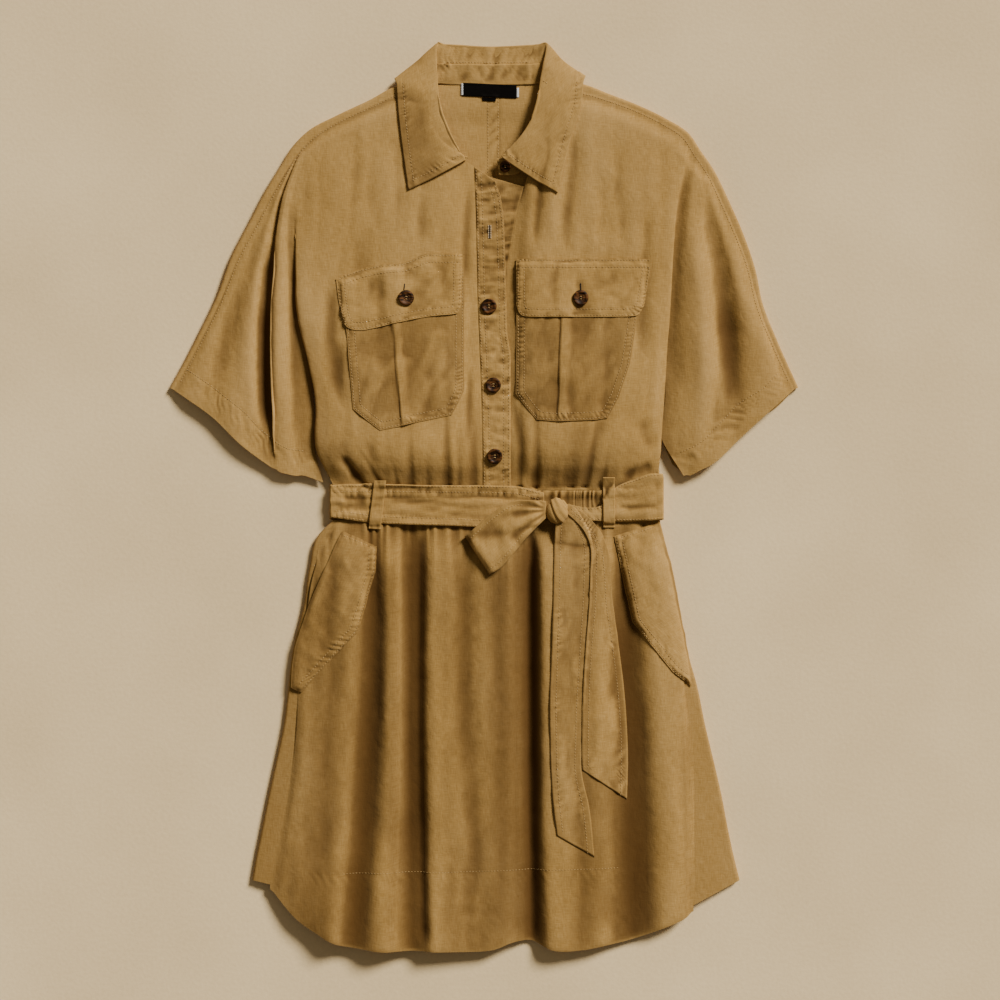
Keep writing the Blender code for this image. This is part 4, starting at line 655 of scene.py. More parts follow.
def back_lift(x: Array | float, y: Array | float) -> Array:
    """Height of the back's underside: 0, but raised smoothly over the belt and the collar."""
    waist_middle = (BELT_TOP + BELT_BOTTOM) / 2
    at_waist = BACK_LIFT_AT_WAIST * smoothstep(1.0 - (np.abs(y - waist_middle) - 30.0) / 20.0)
    neck = smoothstep((y - 385.0) / 22.0) * smoothstep(1.0 - (np.abs(x - 4.0) - 98.0) / 22.0)
    return np.maximum(at_waist, BACK_LIFT_AT_NECK * neck)


# ---------------------------------------------------------------- paths on the cloth
def offset_path(path: Array, distance: float) -> Array:
    """The path moved sideways, with mitred corners.

    Args:
        path: (x, y) points.
        distance: how far, to the left of its run where positive.

    Returns:
        As many points.
    """
    path = np.asarray(path, float)
    step = np.diff(path, axis=0)
    step /= np.linalg.norm(step, axis=1, keepdims=True)
    side = np.stack([-step[:, 1], step[:, 0]], axis=1)
    before = np.concatenate([side[:1], side])
    after = np.concatenate([side, side[-1:]])
    mitre = (before + after) / np.maximum(1.0 + (before * after).sum(axis=1, keepdims=True), 0.3)
    return path + distance * mitre


def resampled(path: Array, pitch: float, trim: tuple = (0.0, 0.0)) -> Array:
    """The path with points at an even pitch.

    Args:
        path: points, one a row.
        pitch: distance between two points.
        trim: length left out at its start and at its end.

    Returns:
        The new points.
    """
    path = np.asarray(path, float)
    run = np.concatenate([[0.0], np.cumsum(np.linalg.norm(np.diff(path, axis=0), axis=1))])
    count = max(2, int(round((run[-1] - sum(trim)) / pitch)) + 1)
    at = np.linspace(trim[0], run[-1] - trim[1], count)
    return np.stack([np.interp(at, run, path[:, axis]) for axis in range(path.shape[1])], axis=1)


def beside_path(x: Array, y: Array, path: Array) -> tuple[Array, Array]:
    """Where points lie by a path: the nearest foot of a perpendicular over all its stretches.

    Args:
        x: x of the points.
        y: y of the points.
        path: (x, y) points of the path.

    Returns:
        Signed distance, positive to the left of the path's run, and the run at the foot.
    """
    path = np.asarray(path, float)
    away = np.full(np.shape(x), np.inf)
    signed = np.zeros(np.shape(x))
    run = np.zeros(np.shape(x))
    start = 0.0
    for here, there in zip(path[:-1], path[1:]):
        step = there - here
        length = math.hypot(*step)
        share = np.clip(((x - here[0]) * step[0] + (y - here[1]) * step[1]) / length**2, 0.0, 1.0)
        dx = x - here[0] - share * step[0]
        dy = y - here[1] - share * step[1]
        distance = np.hypot(dx, dy)
        near = distance < away
        away = np.where(near, distance, away)
        on_left = step[0] * dy - step[1] * dx >= 0
        signed = np.where(near, np.where(on_left, distance, -distance), signed)
        run = np.where(near, start + share * length, run)
        start += length
    return signed, run


# ---------------------------------------------------------------- relief
LATTICE = 97  # values along each side of the square that a random height repeats
LATTICE_START = 500.0  # keeps every place on it positive


@dataclass(frozen=True)
class Wander:
    """A smooth random height over the plan, the same on every run.

    Lattice values are blended with smoothstep weights; a second layer at half the size adds a third.
    """

    seed: int
    wide: float
    long: float
    lean: float = 0.0
    height: float = 1.0

    def at(self, x: Array, y: Array) -> Array:
        """Height at the points.

        Args:
            x: x of the points.
            y: y of the points.

        Returns:
            Heights, about from minus height to height.
        """
        lattice = np.random.default_rng(self.seed).uniform(-1.0, 1.0, (LATTICE, LATTICE))
        total = np.zeros(np.shape(x))
        for scale, weight in ((1.0, 0.75), (2.1, 0.25)):
            u = (x - self.lean * y) / self.wide * scale + LATTICE_START
            v = y / self.long * scale + LATTICE_START
            i, j = np.floor(u).astype(int), np.floor(v).astype(int)
            s, t = smoothstep(u - i), smoothstep(v - j)
            i, j, i_next, j_next = (place % LATTICE for place in (i, j, i + 1, j + 1))
            low = lattice[i, j] * (1 - s) + lattice[i_next, j] * s
            high = lattice[i, j_next] * (1 - s) + lattice[i_next, j_next] * s
            total = total + weight * (low * (1 - t) + high * t)
        return self.height * total


@dataclass(frozen=True)
class Crease:
    """A fold line pressed into the cloth (or raised, where depth is negative).

    Its section is depth times exp(-(distance / width)^2), and it fades at both ends.
    """

    path: tuple
    width: float
    depth: float
    fade: float = 12.0

    def at(self, x: Array, y: Array) -> Array:
        """Height that the crease adds at the points.

        Args:
            x: x of the points.
            y: y of the points.

        Returns:
            Heights.
        """
        away, run = beside_path(x, y, self.path)
        length = np.linalg.norm(np.diff(np.asarray(self.path, float), axis=0), axis=1).sum()
        ends = smoothstep(run / self.fade) * smoothstep((length - run) / self.fade)
        return -self.depth * np.exp(-((away / self.width) ** 2)) * ends


@dataclass(frozen=True)
class Seam:
    """A row of stitching: a fine groove, and the short puckers that it draws into the cloth beside it.

    The puckers are a cosine along the run whose phase and height wander; they fade sideways.
    """

    path: Array | tuple
    pucker: float = 0.25
    pitch: float = 6.5
    reach: float = 4.0
    middle: float = 0.0
    groove: float = 0.16
    seed: int = 5

    def at(self, x: Array, y: Array) -> Array:
        """Height that the seam adds at the points.

        Args:
            x: x of the points.
            y: y of the points.

        Returns:
            Heights.
        """
        away, run = beside_path(x, y, self.path)
        phase = run / self.pitch + 1.6 * Wander(self.seed, 3 * self.pitch, 50.0).at(run, away) + 0.08 * away
        size = 0.6 + 1.0 * Wander(self.seed + 1, 4 * self.pitch, 60.0).at(run, away)
        ripple = 1.3 * self.pucker * size * np.cos(2 * math.pi * phase)
        beside = np.exp(-(((away - self.middle) / self.reach) ** 2))
        return ripple * beside - 0.9 * self.groove * np.exp(-((away / 1.0) ** 2))


def relief(x: Array, y: Array, parts: Sequence[Wander | Crease | Seam]) -> Array:
    """Sum of the heights of all parts at the points.

    Args:
        x: x of the points.
        y: y of the points.
        parts: what shapes the cloth there.

    Returns:
        Heights.
    """
    total = np.zeros(np.shape(x))
    for part in parts:
        total = total + part.at(x, y)
    return total


def painted_shade_along(grid: Array, table: Sequence[tuple]) -> Array:
    """Painted shade along the paths of a table.

    Args:
        grid: points [row, column, xy or xyz].
        table: rows of path, half width, extra painted shade and fade.

    Returns:
        The painted shade at each point.
    """
    return relief(*plan(grid), [Crease(path, width, -tone, fade) for path, width, tone, fade in table])


def raised(grid: Array, parts: Sequence[Wander | Crease | Seam], fade: Array | float = 1.0) -> Array:
    """The grid moved along its normals by the relief of the parts.

    Args:
        grid: points [row, column, xyz].
        parts: what shapes the cloth.
        fade: factor on the relief.

    Returns:
        The moved grid.
    """
    return grid + normals(grid) * (relief(*plan(grid), parts) * fade)[:, :, None]


@dataclass
class Contour:
    """The top of the cloth laid so far, as heights on small squares of the plan."""

    cell: float = 0.8
    left: float = -340.0
    bottom: float = -485.0
    columns: int = 860
    rows: int = 1215
    heights: Array = field(init=False)

    def __post_init__(self) -> None:
        """Start with the bare ground."""
        self.heights = np.zeros((self.rows, self.columns))

    def press(self, grid: Array, wall: float = 0.0) -> None:
        """Raise the map to the top of a piece. The grid is filled in between its points first.

        Args:
            grid: points [row, column, xyz] of a face of the piece.
            wall: how far its top lies above that face.
        """
        for axis in (0, 1):
            gap = np.linalg.norm(np.diff(grid, axis=axis), axis=2).max()
            parts = int(np.clip(math.ceil(gap / (0.75 * self.cell)), 1, 24))
            at = refined(np.arange(grid.shape[axis], dtype=float), parts)
            low = np.minimum(at.astype(int), grid.shape[axis] - 2)
            share = (at - low).reshape((-1, 1, 1) if axis == 0 else (1, -1, 1))
            grid = np.take(grid, low, axis) * (1 - share) + np.take(grid, low + 1, axis) * share
        column = np.rint((grid[:, :, 0] - self.left) / self.cell).astype(int)
        row = np.rint((grid[:, :, 1] - self.bottom) / self.cell).astype(int)
        np.maximum.at(self.heights, (row.ravel(), column.ravel()), (grid[:, :, 2] + wall).ravel())

    def over(self, reach: float, blur: float) -> "Contour":
        """A stiffer map: the highest within reach, then averaged over about blur.

        Args:
            reach: half width of the window of the highest, in millimetres.
            blur: half width of the averaging window, in millimetres.

        Returns:
            A new map.
        """
        made = Contour()
        heights = self.heights.copy()
        for _ in range(int(round(reach / self.cell))):
            for axis in (0, 1):
                beside = np.maximum(np.roll(heights, 1, axis), np.roll(heights, -1, axis))
                heights = np.maximum(heights, beside)
        for _ in range(int(round(blur / self.cell))):
            for axis in (0, 1):
                heights = (heights * 2 + np.roll(heights, 1, axis) + np.roll(heights, -1, axis)) / 4
        made.heights = heights
        return made

    def at(self, x: Array, y: Array) -> Array:
        """Height of the map at the points, blended from the four nearest squares.

        Args:
            x: x of the points.
            y: y of the points.

        Returns:
            Heights.
        """
        u = np.clip((np.asarray(x) - self.left) / self.cell, 0, self.columns - 1.001)
        v = np.clip((np.asarray(y) - self.bottom) / self.cell, 0, self.rows - 1.001)
        i, j = u.astype(int), v.astype(int)
        s, t = u - i, v - j
        low = self.heights[j, i] * (1 - s) + self.heights[j, i + 1] * s
        high = self.heights[j + 1, i] * (1 - s) + self.heights[j + 1, i + 1] * s
        return low * (1 - t) + high * t

    def laid(self, grid: Array, reach: float = 1.6, blur: float = 2.4, gap: float = LIE_GAP,
             rim: float = 0.0) -> Array:
        """The grid raised to lie just above the map; none sinks below its own height.

        Args:
            grid: points [row, column, xyz].
            reach: how stiffly it bridges hollows.
            blur: how softly it follows them.
            gap: room left under it.
            rim: width of the rim that lies close on the map, if any.

        Returns:
            The raised grid.
        """
        stiff = self.over(reach, blur).at(*plan(grid))
        bare = self.over(self.cell, 0.0).at(*plan(grid))
        inside = smoothstep(np.minimum(*in_from_edges(grid)) / rim) if rim else 1.0
        made = grid.copy()
        made[:, :, 2] = np.maximum(grid[:, :, 2], bare + np.maximum(stiff - bare, 0.0) * inside + gap)
        return made

    def cleared(self, grid: Array, gap: float = 0.12) -> Array:
        """The grid with every point at least a gap above the map."""
        made = grid.copy()
        made[:, :, 2] = np.maximum(grid[:, :, 2], self.over(self.cell, 0.0).at(*plan(grid)) + gap)
        return made


# ---------------------------------------------------------------- finishes
# ---------------------------------------------------------------- finishes
Socket = bpy.types.NodeSocket
Material = bpy.types.Material


class Nodes:
    """The node tree of a new material, with a method for each kind of node that the finishes use."""

    def __init__(self, name: str) -> None:
        """Start with the Principled shader and the output only."""
        self.material = bpy.data.materials.new(name)
        self.material.use_nodes = True
        self.tree = self.material.node_tree
        self.shader = self.tree.nodes["Principled BSDF"]

    def drive(self, node: bpy.types.Node, values: dict) -> None:
        """Link or set inputs of a node.

        Args:
            node: the node.
            values: a socket or a plain value for each input, by its name or number.
        """
        for place, value in values.items():
            if isinstance(value, Socket):
                self.tree.links.new(value, node.inputs[place])
            else:
                node.inputs[place].default_value = value

    def add(self, kind: str, values: dict, **settings: object) -> bpy.types.Node:
        """Add a node.

        Args:
            kind: Blender's name of it, after ShaderNode.
            values: what its inputs take.
            settings: its other properties.

        Returns:
            The node.
        """
        node = self.tree.nodes.new(f"ShaderNode{kind}")
        for name, value in settings.items():
            setattr(node, name, value)
        self.drive(node, values)
        return node

    def cut(self) -> Socket:
        """Coordinates along the threads of the cloth."""
        return self.add("UVMap", {}, uv_map="Cut").outputs["UV"]

    def place(self) -> Socket:
        """Coordinates in the object's own space."""
        return self.add("TexCoord", {}).outputs["Object"]

    def noise(self, source: Socket, scale: tuple, detail: float) -> Socket:
        """A noise stretched by a mapping.

        Args:
            source: the coordinates.
            scale: cells for each unit, along x, y and z.
            detail: layers of finer noise.

        Returns:
            Its value.
        """
        stretched = self.add("Mapping", {"Vector": source, "Scale": scale}).outputs["Vector"]
        return self.add("TexNoise", {"Vector": stretched, "Scale": 1.0, "Detail": detail}).outputs["Fac"]

    def maths(self, operation: str, first: Socket | float, second: Socket | float) -> Socket:
        """One operation on two values, each a socket or a number."""
        return self.add("Math", {0: first, 1: second}, operation=operation).outputs[0]

    def total(self, *parts: tuple) -> Socket:
        """Sum of (value, weight) pairs, each value times its weight."""
        terms = [value if weight == 1.0 else self.maths("MULTIPLY", value, weight) for value, weight in parts]
        return reduce(lambda first, second: self.maths("ADD", first, second), terms)

    def ramp(self, value: Socket, *stops: tuple) -> Socket:
        """A colour ramp over a value.

        Args:
            value: the value.
            stops: (place, colour) pairs.

        Returns:
            The colour.
        """
        ramp = self.add("ValToRGB", {"Fac": value})
        elements = ramp.color_ramp.elements
        for place, (position, colour) in enumerate(stops):
            element = elements[place] if place < len(elements) else elements.new(position)
            element.position = position
            element.color = (*colour, 1.0)
        return ramp.outputs["Color"]

    def mixed(self, colour: Socket, other: tuple, share: Socket) -> Socket:
        """A colour blended towards another, with the share held between 0 and 1."""
        values = {"Factor": share, 6: colour, 7: (*other, 1.0)}
        return self.add("Mix", values, data_type="RGBA", clamp_factor=True).outputs[2]

    def surfaced(self, colour: Socket, values: dict, bump: tuple | None = None) -> Material:
        """Drive the shader.

        Args:
            colour: the base colour.
            values: what its other inputs take.
            bump: height, strength, and the metres that a height of one stands for.

        Returns:
            The material.
        """
        self.drive(self.shader, {"Base Color": colour, **values})
        if bump:
            values = dict(zip(("Height", "Strength", "Distance"), bump))
            self.drive(self.shader, {"Normal": self.add("Bump", values).outputs["Normal"]})
        return self.material


@dataclass(frozen=True)
class Linen:
    """Plain-woven linen: slubbed threads both ways, soft tone changes, and a dry surface."""

    name: str = "linen"
    dark: tuple = (0.340, 0.187, 0.044)
    middle: tuple = (0.424, 0.246, 0.069)
    light: tuple = (0.508, 0.311, 0.101)
    deep: tuple = (0.074, 0.029, 0.0015)  # painted shade in the folds
    ridge_highlight: tuple = (0.640, 0.420, 0.175)  # painted highlight on ridges
    thread: float = 0.0009  # width of a slub
    slub: float = 0.009  # length of a slub
    roughness: float = 0.88

    def material(self) -> Material:
        """Warp and weft are noises stretched along v and u; their mean tints and roughens the cloth.

        Returns:
            The material.
        """
        nodes = Nodes(self.name)
        cut, place = nodes.cut(), nodes.place()
        fine, long = 1.0 / self.thread, 1.0 / self.slub
        warp = nodes.noise(cut, (fine, long, 1.0), 1.5)
        weft = nodes.noise(cut, (long, fine, 1.0), 1.5)
        threads = nodes.maths("MULTIPLY", nodes.total((warp, 1.0), (weft, 1.0)), 0.5)
        cloud = nodes.noise(place, (14.0, 9.0, 14.0), 3.0)
        grain = nodes.noise(cut, (1500.0, 1500.0, 1.0), 0.0)
        tone = nodes.total((threads, 0.62), (cloud, 0.26), (grain, 0.12))
        colour = nodes.ramp(tone, (0.36, self.dark), (0.64, self.light), (0.50, self.middle))
        # painted shade towards the fold colour where the attribute is positive, and painted highlight towards
        # the ridge colour where it is negative
        fold = nodes.add("Attribute", {}, attribute_name="PaintedShadeAndHighlight").outputs["Fac"]
        colour = nodes.mixed(colour, self.deep, nodes.maths("MULTIPLY", fold, 0.84))
        colour = nodes.mixed(colour, self.ridge_highlight, nodes.maths("MULTIPLY", fold, -0.26))
        wrinkle = nodes.noise(place, (85.0, 60.0, 85.0), 4.0)
        crease = nodes.maths("ABSOLUTE", nodes.maths("SUBTRACT", wrinkle, 0.5), 0.0)
        height = nodes.total((threads, 1.0), (grain, 0.35), (crease, 9.0))
        return nodes.surfaced(colour, {
            "Roughness": self.roughness, "Specular IOR Level": 0.25, "Sheen Weight": 0.12,
            "Sheen Roughness": 0.45, "Sheen Tint": (0.95, 0.80, 0.55, 1.0),
        }, (height, 0.45, 0.00022))


@dataclass(frozen=True)
class SewingThread:
    """The thread of the stitches, a little lighter than the cloth."""

    name: str = "sewing_thread"
    dark: tuple = (0.40, 0.25, 0.08)
    light: tuple = (0.60, 0.41, 0.17)

    def material(self) -> Material:
        """A fine noise on Object coordinates tints each stitch.

        Returns:
            The material.
        """
        nodes = Nodes(self.name)
        noise = nodes.noise(nodes.place(), (420.0, 420.0, 420.0), 1.0)
        return nodes.surfaced(nodes.ramp(noise, (0.35, self.dark), (0.65, self.light)), {"Roughness": 0.7})


@dataclass(frozen=True)
class Ribbon:
    """Woven satin ribbon with fine ribs."""

    name: str
    dark: tuple
    light: tuple
    roughness: float

    def material(self) -> Material:
        """Ribs are a noise stretched along the ribbon, which tints it and lifts the surface.

        Returns:
            The material.
        """
        nodes = Nodes(self.name)
        ribs = nodes.noise(nodes.cut(), (300.0, 2600.0, 1.0), 1.0)
        return nodes.surfaced(nodes.ramp(ribs, (0.3, self.dark), (0.7, self.light)),
                              {"Roughness": self.roughness, "Specular IOR Level": 0.05}, (ribs, 0.4, 0.00015))


@dataclass(frozen=True)
class Horn:
    """Dark mottled horn with a satin polish."""

    name: str = "horn"
    dark: tuple = (0.014, 0.006, 0.002)
    light: tuple = (0.150, 0.058, 0.016)

    def material(self) -> Material:
        """Streaks are a stretched noise on Object coordinates from near black to brown.

        Returns:
            The material.
        """
        nodes = Nodes(self.name)
        streaks = nodes.noise(nodes.place(), (150.0, 420.0, 300.0), 4.0)
        return nodes.surfaced(nodes.ramp(streaks, (0.42, self.dark), (0.68, self.light)),
                              {"Roughness": 0.48, "Specular IOR Level": 0.12}, (streaks, 0.15, 0.0002))


@dataclass(frozen=True)
class Plaster:
    """The plain pale floor."""

    name: str = "floor_plaster"
    dark: tuple = (0.800, 0.600, 0.322)
    light: tuple = (0.990, 0.752, 0.426)

    def material(self) -> Material:
        """Two sizes of noise on Object coordinates tint the floor a little.

        Returns:
            The material.
        """
        nodes = Nodes(self.name)
        place = nodes.place()
        cloud = nodes.noise(place, (5.0, 5.0, 5.0), 6.0)
        grain = nodes.noise(place, (260.0, 260.0, 260.0), 2.0)
        colour = nodes.ramp(nodes.total((cloud, 0.7), (grain, 0.3)), (0.3, self.dark), (0.7, self.light))
        return nodes.surfaced(colour, {"Roughness": 0.95}, (grain, 0.25, 0.0006))


# ---------------------------------------------------------------- the workroom
@dataclass
class Workroom:
    """What every sub-assembly shares: the contour map and the finishes."""

    contour: Contour
    linen: Material
    thread: Material
    label: Material
    white: Material
    horn: Material

    @classmethod
    def opened(cls) -> "Workroom":
        """A workroom with all its finishes made and nothing laid yet."""
        finishes = (
            Linen(), SewingThread(),
            Ribbon("label_ribbon", (0.0014, 0.0009, 0.0007), (0.0040, 0.0028, 0.0022), 0.75),
            Ribbon("label_stitch", (0.60, 0.60, 0.60), (0.85, 0.85, 0.85), 0.7), Horn(),
        )
        return cls(Contour(), *(finish.material() for finish in finishes))


def mesh_object(name: str, points: Array, faces: Array, material: Material) -> bpy.types.Object:
    """A smooth-shaded object from points in millimetres of the tables.

    Args:
        name: name of the piece.
        points: its points.
        faces: corners of its faces, all with as many corners.
        material: its finish.

    Returns:
        The object, linked to the scene.
    """
    mesh = bpy.data.meshes.new(name)
    mesh.from_pydata(((points - (MIDDLE_X, 0.0, 0.0)) * MM).tolist(), [], faces.tolist())
    mesh.shade_smooth()
    mesh.materials.append(material)
    obj = bpy.data.objects.new(name, mesh)
    bpy.context.scene.collection.objects.link(obj)
    return obj


def lay_out(obj: bpy.types.Object, plan: Array, faces: Array) -> None:
    """Give a mesh its cut as a UV map.

    Args:
        obj: the mesh's object.
        plan: (u, v) in metres of each point.
        faces: corners of its faces.
    """
    layer = obj.data.uv_layers.new(name="Cut")
    layer.data.foreach_set("uv", plan[faces.ravel()].astype(np.float32).ravel())


def turned_faces(rows: int, around: int) -> Array:
    """Triangles of a closed round body: rings of points from top to bottom, then its two poles.

    Args:
        rows: number of rings.
        around: points of a ring.

    Returns:
        Corners of the triangles.
    """
    here = np.arange(around)
    following = (here + 1) % around
    ring = np.arange(rows - 1)[:, None] * around
    below = ring + around
    quads = np.stack([ring + here, below + here, below + following, ring + following], axis=-1).reshape(-1, 4)
    last, pole = (rows - 1) * around, rows * around
    return np.concatenate([
        quads[:, [0, 1, 2]], quads[:, [0, 2, 3]],
        np.column_stack([np.full(around, pole), here, following]),
        np.column_stack([np.full(around, pole + 1), last + following, last + here]),
    ])


@dataclass
class Panel:
    """One piece of cloth: a grid of points that becomes a thin closed wall with the cut as its UV map."""

    node: str
    grid: Array
    wall: float = CLOTH_WALL
    face: Face = Face.OUTER
    up: bool = True
    up_at: tuple | None = None
    keep: Array | None = None
    held: Held = Held.LAID
    rests_on: tuple = ()
    turned: bool = False  # whether the warp runs along the rows
    with_pieces: tuple = ()
    shade: Array | float = 0.0  # extra painted shade, negative for painted highlight: 1 is the deepest of a fold
    seamed: bool = False  # whether its edges are sewn, so they keep the shading of the cloth up to the rim

    def tone(self) -> Array:
        """Painted shade and highlight at each point: painted shade near 1.1 at most in hollows, which it
        nears gently past the knee, and painted highlight down to -1 on ridges, of two widths together."""
        if not self.up:
            return np.zeros(self.grid.shape[:2]) + self.shade
        wide, narrow = (hollowness(self.grid, reach) / depth for reach, depth in (WIDE_HOLLOW, NARROW_HOLLOW))
        side, end = in_from_edges(self.grid)
        fade = smoothstep(side / min(14.0, 0.3 * side.max() + 1.0)) * smoothstep(end / 5.0)
        bent = wide * fade + 0.45 * narrow * smoothstep(side / 3.5) * smoothstep(end / 3.5)
        tone = np.maximum(np.where(bent < 0, 0.5 * bent, bent) + self.shade, -1.0)
        past = TONE_KNEE + TONE_PAST_KNEE * (1.0 - np.exp((TONE_KNEE - tone) / TONE_PAST_KNEE))
        return np.where(tone < TONE_KNEE, tone, past)

    def cut(self) -> tuple[float, float, float]:
        """Width, length and area of the flat cloth, in metres: the longest row, the longest column
        and the sum of the faces."""
        side, down = (np.diff(self.grid, axis=axis) for axis in (1, 0))
        width = np.linalg.norm(side, axis=2).sum(axis=1).max() * MM
        length = np.linalg.norm(down, axis=2).sum(axis=0).max() * MM
        area = np.linalg.norm(np.cross(side[:-1], down[:, :-1]), axis=2)
        if self.keep is not None:
            area = area * self.keep
        return width, length, min(area.sum() * MM * MM, width * length)

    def threads(self) -> Array:
        """The cut's coordinates at each point, in metres. A laid panel keeps its threads along x and y,
        and takes a share of its height on top; a turned one counts the run along its rows and columns."""
        if not self.turned:
            return (self.grid[:, :, :2] + 0.6 * self.grid[:, :, 2:]) * MM
        across, _ = across_of(self.grid)
        across = across - across[:, across.shape[1] // 2][:, None]
        down, _ = across_of(self.grid.transpose(1, 0, 2))
        return np.stack([down.T, across], axis=2) * MM

    def build(self, room: Workroom, material: Material | None = None, slot: str = "linen",
              soft: bool = True) -> None:
        """Make the piece, let it stand for its CAD node, and raise the contour map.

        Args:
            room: the workroom.
            material: its finish, the linen by default.
            slot: not used.
            soft: whether its cut's width, length and area are worked out; they are not used further.
        """
        rows, columns = self.grid.shape[:2]
        keep = np.ones((rows - 1, columns - 1), bool) if self.keep is None else self.keep
        row, column = self.up_at or (rows // 2, (columns - 1) // 2)
        side = self.grid[row, column + 1] - self.grid[row, column]
        down = self.grid[row + 1, column] - self.grid[row, column]
        corner = np.arange(rows * columns).reshape(rows, columns)
        quads = np.stack([corner[:-1, :-1], corner[1:, :-1], corner[1:, 1:], corner[:-1, 1:]], axis=-1)[keep]
        if (np.cross(down, side)[2] > 0) != self.up:
            quads = quads[:, ::-1]
        used, faces = np.unique(quads, return_inverse=True)
        faces = faces.reshape(-1, 4)
        obj = mesh_object(f"{self.node}_linen", self.grid.reshape(-1, 3)[used], faces, material or room.linen)
        lay_out(obj, self.threads().reshape(-1, 2)[used], faces)
        if self.seamed:
            edges = np.empty(len(obj.data.loops), np.int32)
            obj.data.loops.foreach_get("edge_index", edges)
            rim = np.bincount(edges, minlength=len(obj.data.edges)) == 1
            obj.data.attributes.new("sharp_edge", "BOOLEAN", "EDGE").data.foreach_set("value", rim)
        # painted shade in hollows and painted highlight on ridges, which the linen mixes into its colour
        tone = obj.data.attributes.new("PaintedShadeAndHighlight", "FLOAT", "POINT")
        tone.data.foreach_set("value", self.tone().ravel()[used].astype(np.float32))
        solidify = obj.modifiers.new("Wall", "SOLIDIFY")
        solidify.thickness = self.wall * MM
        solidify.offset = self.face.value
        room.contour.press(self.grid, 0.0 if self.up and self.face is Face.OUTER else self.wall)
        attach(obj, "root")
        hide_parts(self.node)
        if soft:
            width, length, area = self.cut()
        LOG.info("%s: %d x %d points", obj.name, rows, columns)


def spindle_faces() -> Array:
    """Triangles of a stitch: a point, two rings of four points, and a point."""
    here = [(1 + k, 1 + (k + 1) % 4, 5 + (k + 1) % 4, 5 + k) for k in range(4)]
    return np.array([(0, b, a) for a, b, _, _ in here] + [(9, d, c) for _, _, c, d in here]
                    + [(a, b, c) for a, b, c, _ in here] + [(a, c, d) for a, _, c, d in here])


@dataclass
class StitchWork:
    """Rows of machine stitches of one sub-assembly. Each stitch is a small spindle of 16 faces."""

    name: str
    pitch: float = 3.2
    length: float = 2.3
    radius: float = 0.27
    rows: list = field(default_factory=list)

    def add(self, path: Array, trim: tuple = (1.5, 1.5)) -> None:
        """Add a row along a path of (x, y) points, which lies on the contour map."""
        self.rows.append((np.asarray(path, float), trim))

    def build(self, room: Workroom, material: Material | None = None, slot: str = "linen") -> None:
        """Make the stitches: a spindle along each step of the rows, just above the cloth.

        Args:
            room: the workroom.
            material: their finish, the sewing thread by default.
            slot: not used.
        """
        starts, ends = [], []
        for path, trim in self.rows:
            marks = resampled(path[:, :2], self.pitch, trim)
            step = np.diff(marks, axis=0)
            middle = (marks[:-1] + marks[1:]) / 2
            half = step / np.linalg.norm(step, axis=1, keepdims=True) * self.length / 2
            for ends_of, sign in ((starts, -1), (ends, 1)):
                place = middle + sign * half
                height = path[:, 2].mean() if path.shape[1] == 3 else room.contour.at(*place.T)
                ends_of.append(np.column_stack([place, np.broadcast_to(height, len(place))]))
        start, end = np.concatenate(starts), np.concatenate(ends)
        along = end - start
        along /= np.linalg.norm(along, axis=1, keepdims=True)
        side = np.cross(along, (0.0, 0.0, 1.0))
        side /= np.linalg.norm(side, axis=1, keepdims=True)
        lift = np.cross(side, along)
        rings = []
        for share, girth in ((0.0, 0.0), (0.22, 1.0), (0.78, 1.0), (1.0, 0.0)):
            centre = start + share * (end - start) + lift * self.radius * (0.15 + 0.5 * girth)
            for turn in (0.0, 0.25, 0.5, 0.75) if girth else (0.0,):
                out = math.cos(2 * math.pi * turn) * side + math.sin(2 * math.pi * turn) * lift
                rings.append(centre + self.radius * girth * out)
        points = np.stack(rings, axis=1)
        faces = (spindle_faces()[None] + len(rings) * np.arange(len(points))[:, None, None]).reshape(-1, 3)
        obj = mesh_object(self.name, points.reshape(-1, 3), faces, material or room.thread)
        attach(obj, "root")
        LOG.info("%s: %d stitches", obj.name, len(points))


# ---------------------------------------------------------------- bodice
@dataclass
class TopFold:
    """The fold from the neck over the shoulder and down the sleeve, and the seam inside it."""

    table: tuple
    turn: int  # 1 on the left and -1 on the right, where inwards is the other hand
    back_lines: tuple
    steps: int = 12
    rows: Array = field(init=False)
    knots: Array = field(init=False)
    shares: Array = field(init=False)

    def __post_init__(self) -> None:
        """Work out the shares at which the back has a column."""
        self.rows = np.array(self.table, float)
        self.knots = shares_of_length(self.rows[:, :2])
        starts = [line.start for line in self.back_lines if not isinstance(line.start, tuple)]
        self.shares = refined(starts, self.steps)

    def at(self, share: Array, inset: Array | float) -> Array:
        """(x, y) at a share of the fold, moved in along its sideways direction.

        Args:
            share: shares of the fold's length.
            inset: how far in.

        Returns:
            One point for each share.
        """
        share = np.atleast_1d(share)
        ahead, here, behind = (through(self.knots, self.rows[:, :2], share + step)
                               for step in (0.004, 0.0, -0.004))
        tangent = ahead - behind
        tangent /= np.linalg.norm(tangent, axis=1, keepdims=True)
        inward = np.stack([-tangent[:, 1], tangent[:, 0]], axis=1) * self.turn
        return here + inward * np.reshape(inset, (-1, 1))

    def inset(self, share: Array) -> Array:
        """Distance from the fold to the seam."""
        return through(self.knots, self.rows[:, 2], np.atleast_1d(share))

    def height(self, share: Array) -> Array:
        """Height of the outer face at the seam."""
        return through(self.knots, self.rows[:, 3], np.atleast_1d(share))

    def seam(self, share: Array, gap: float = 0.0) -> Array:
        """(x, y, z) of the seam between back and front, or of the line one gap inside it."""
        return np.column_stack([self.at(share, self.inset(share) + gap), self.height(share)])


LEFT_FOLD = TopFold(TOP_FOLD_LEFT, 1, BACK_LEFT)
RIGHT_FOLD = TopFold(TOP_FOLD_RIGHT, -1, BACK_RIGHT)


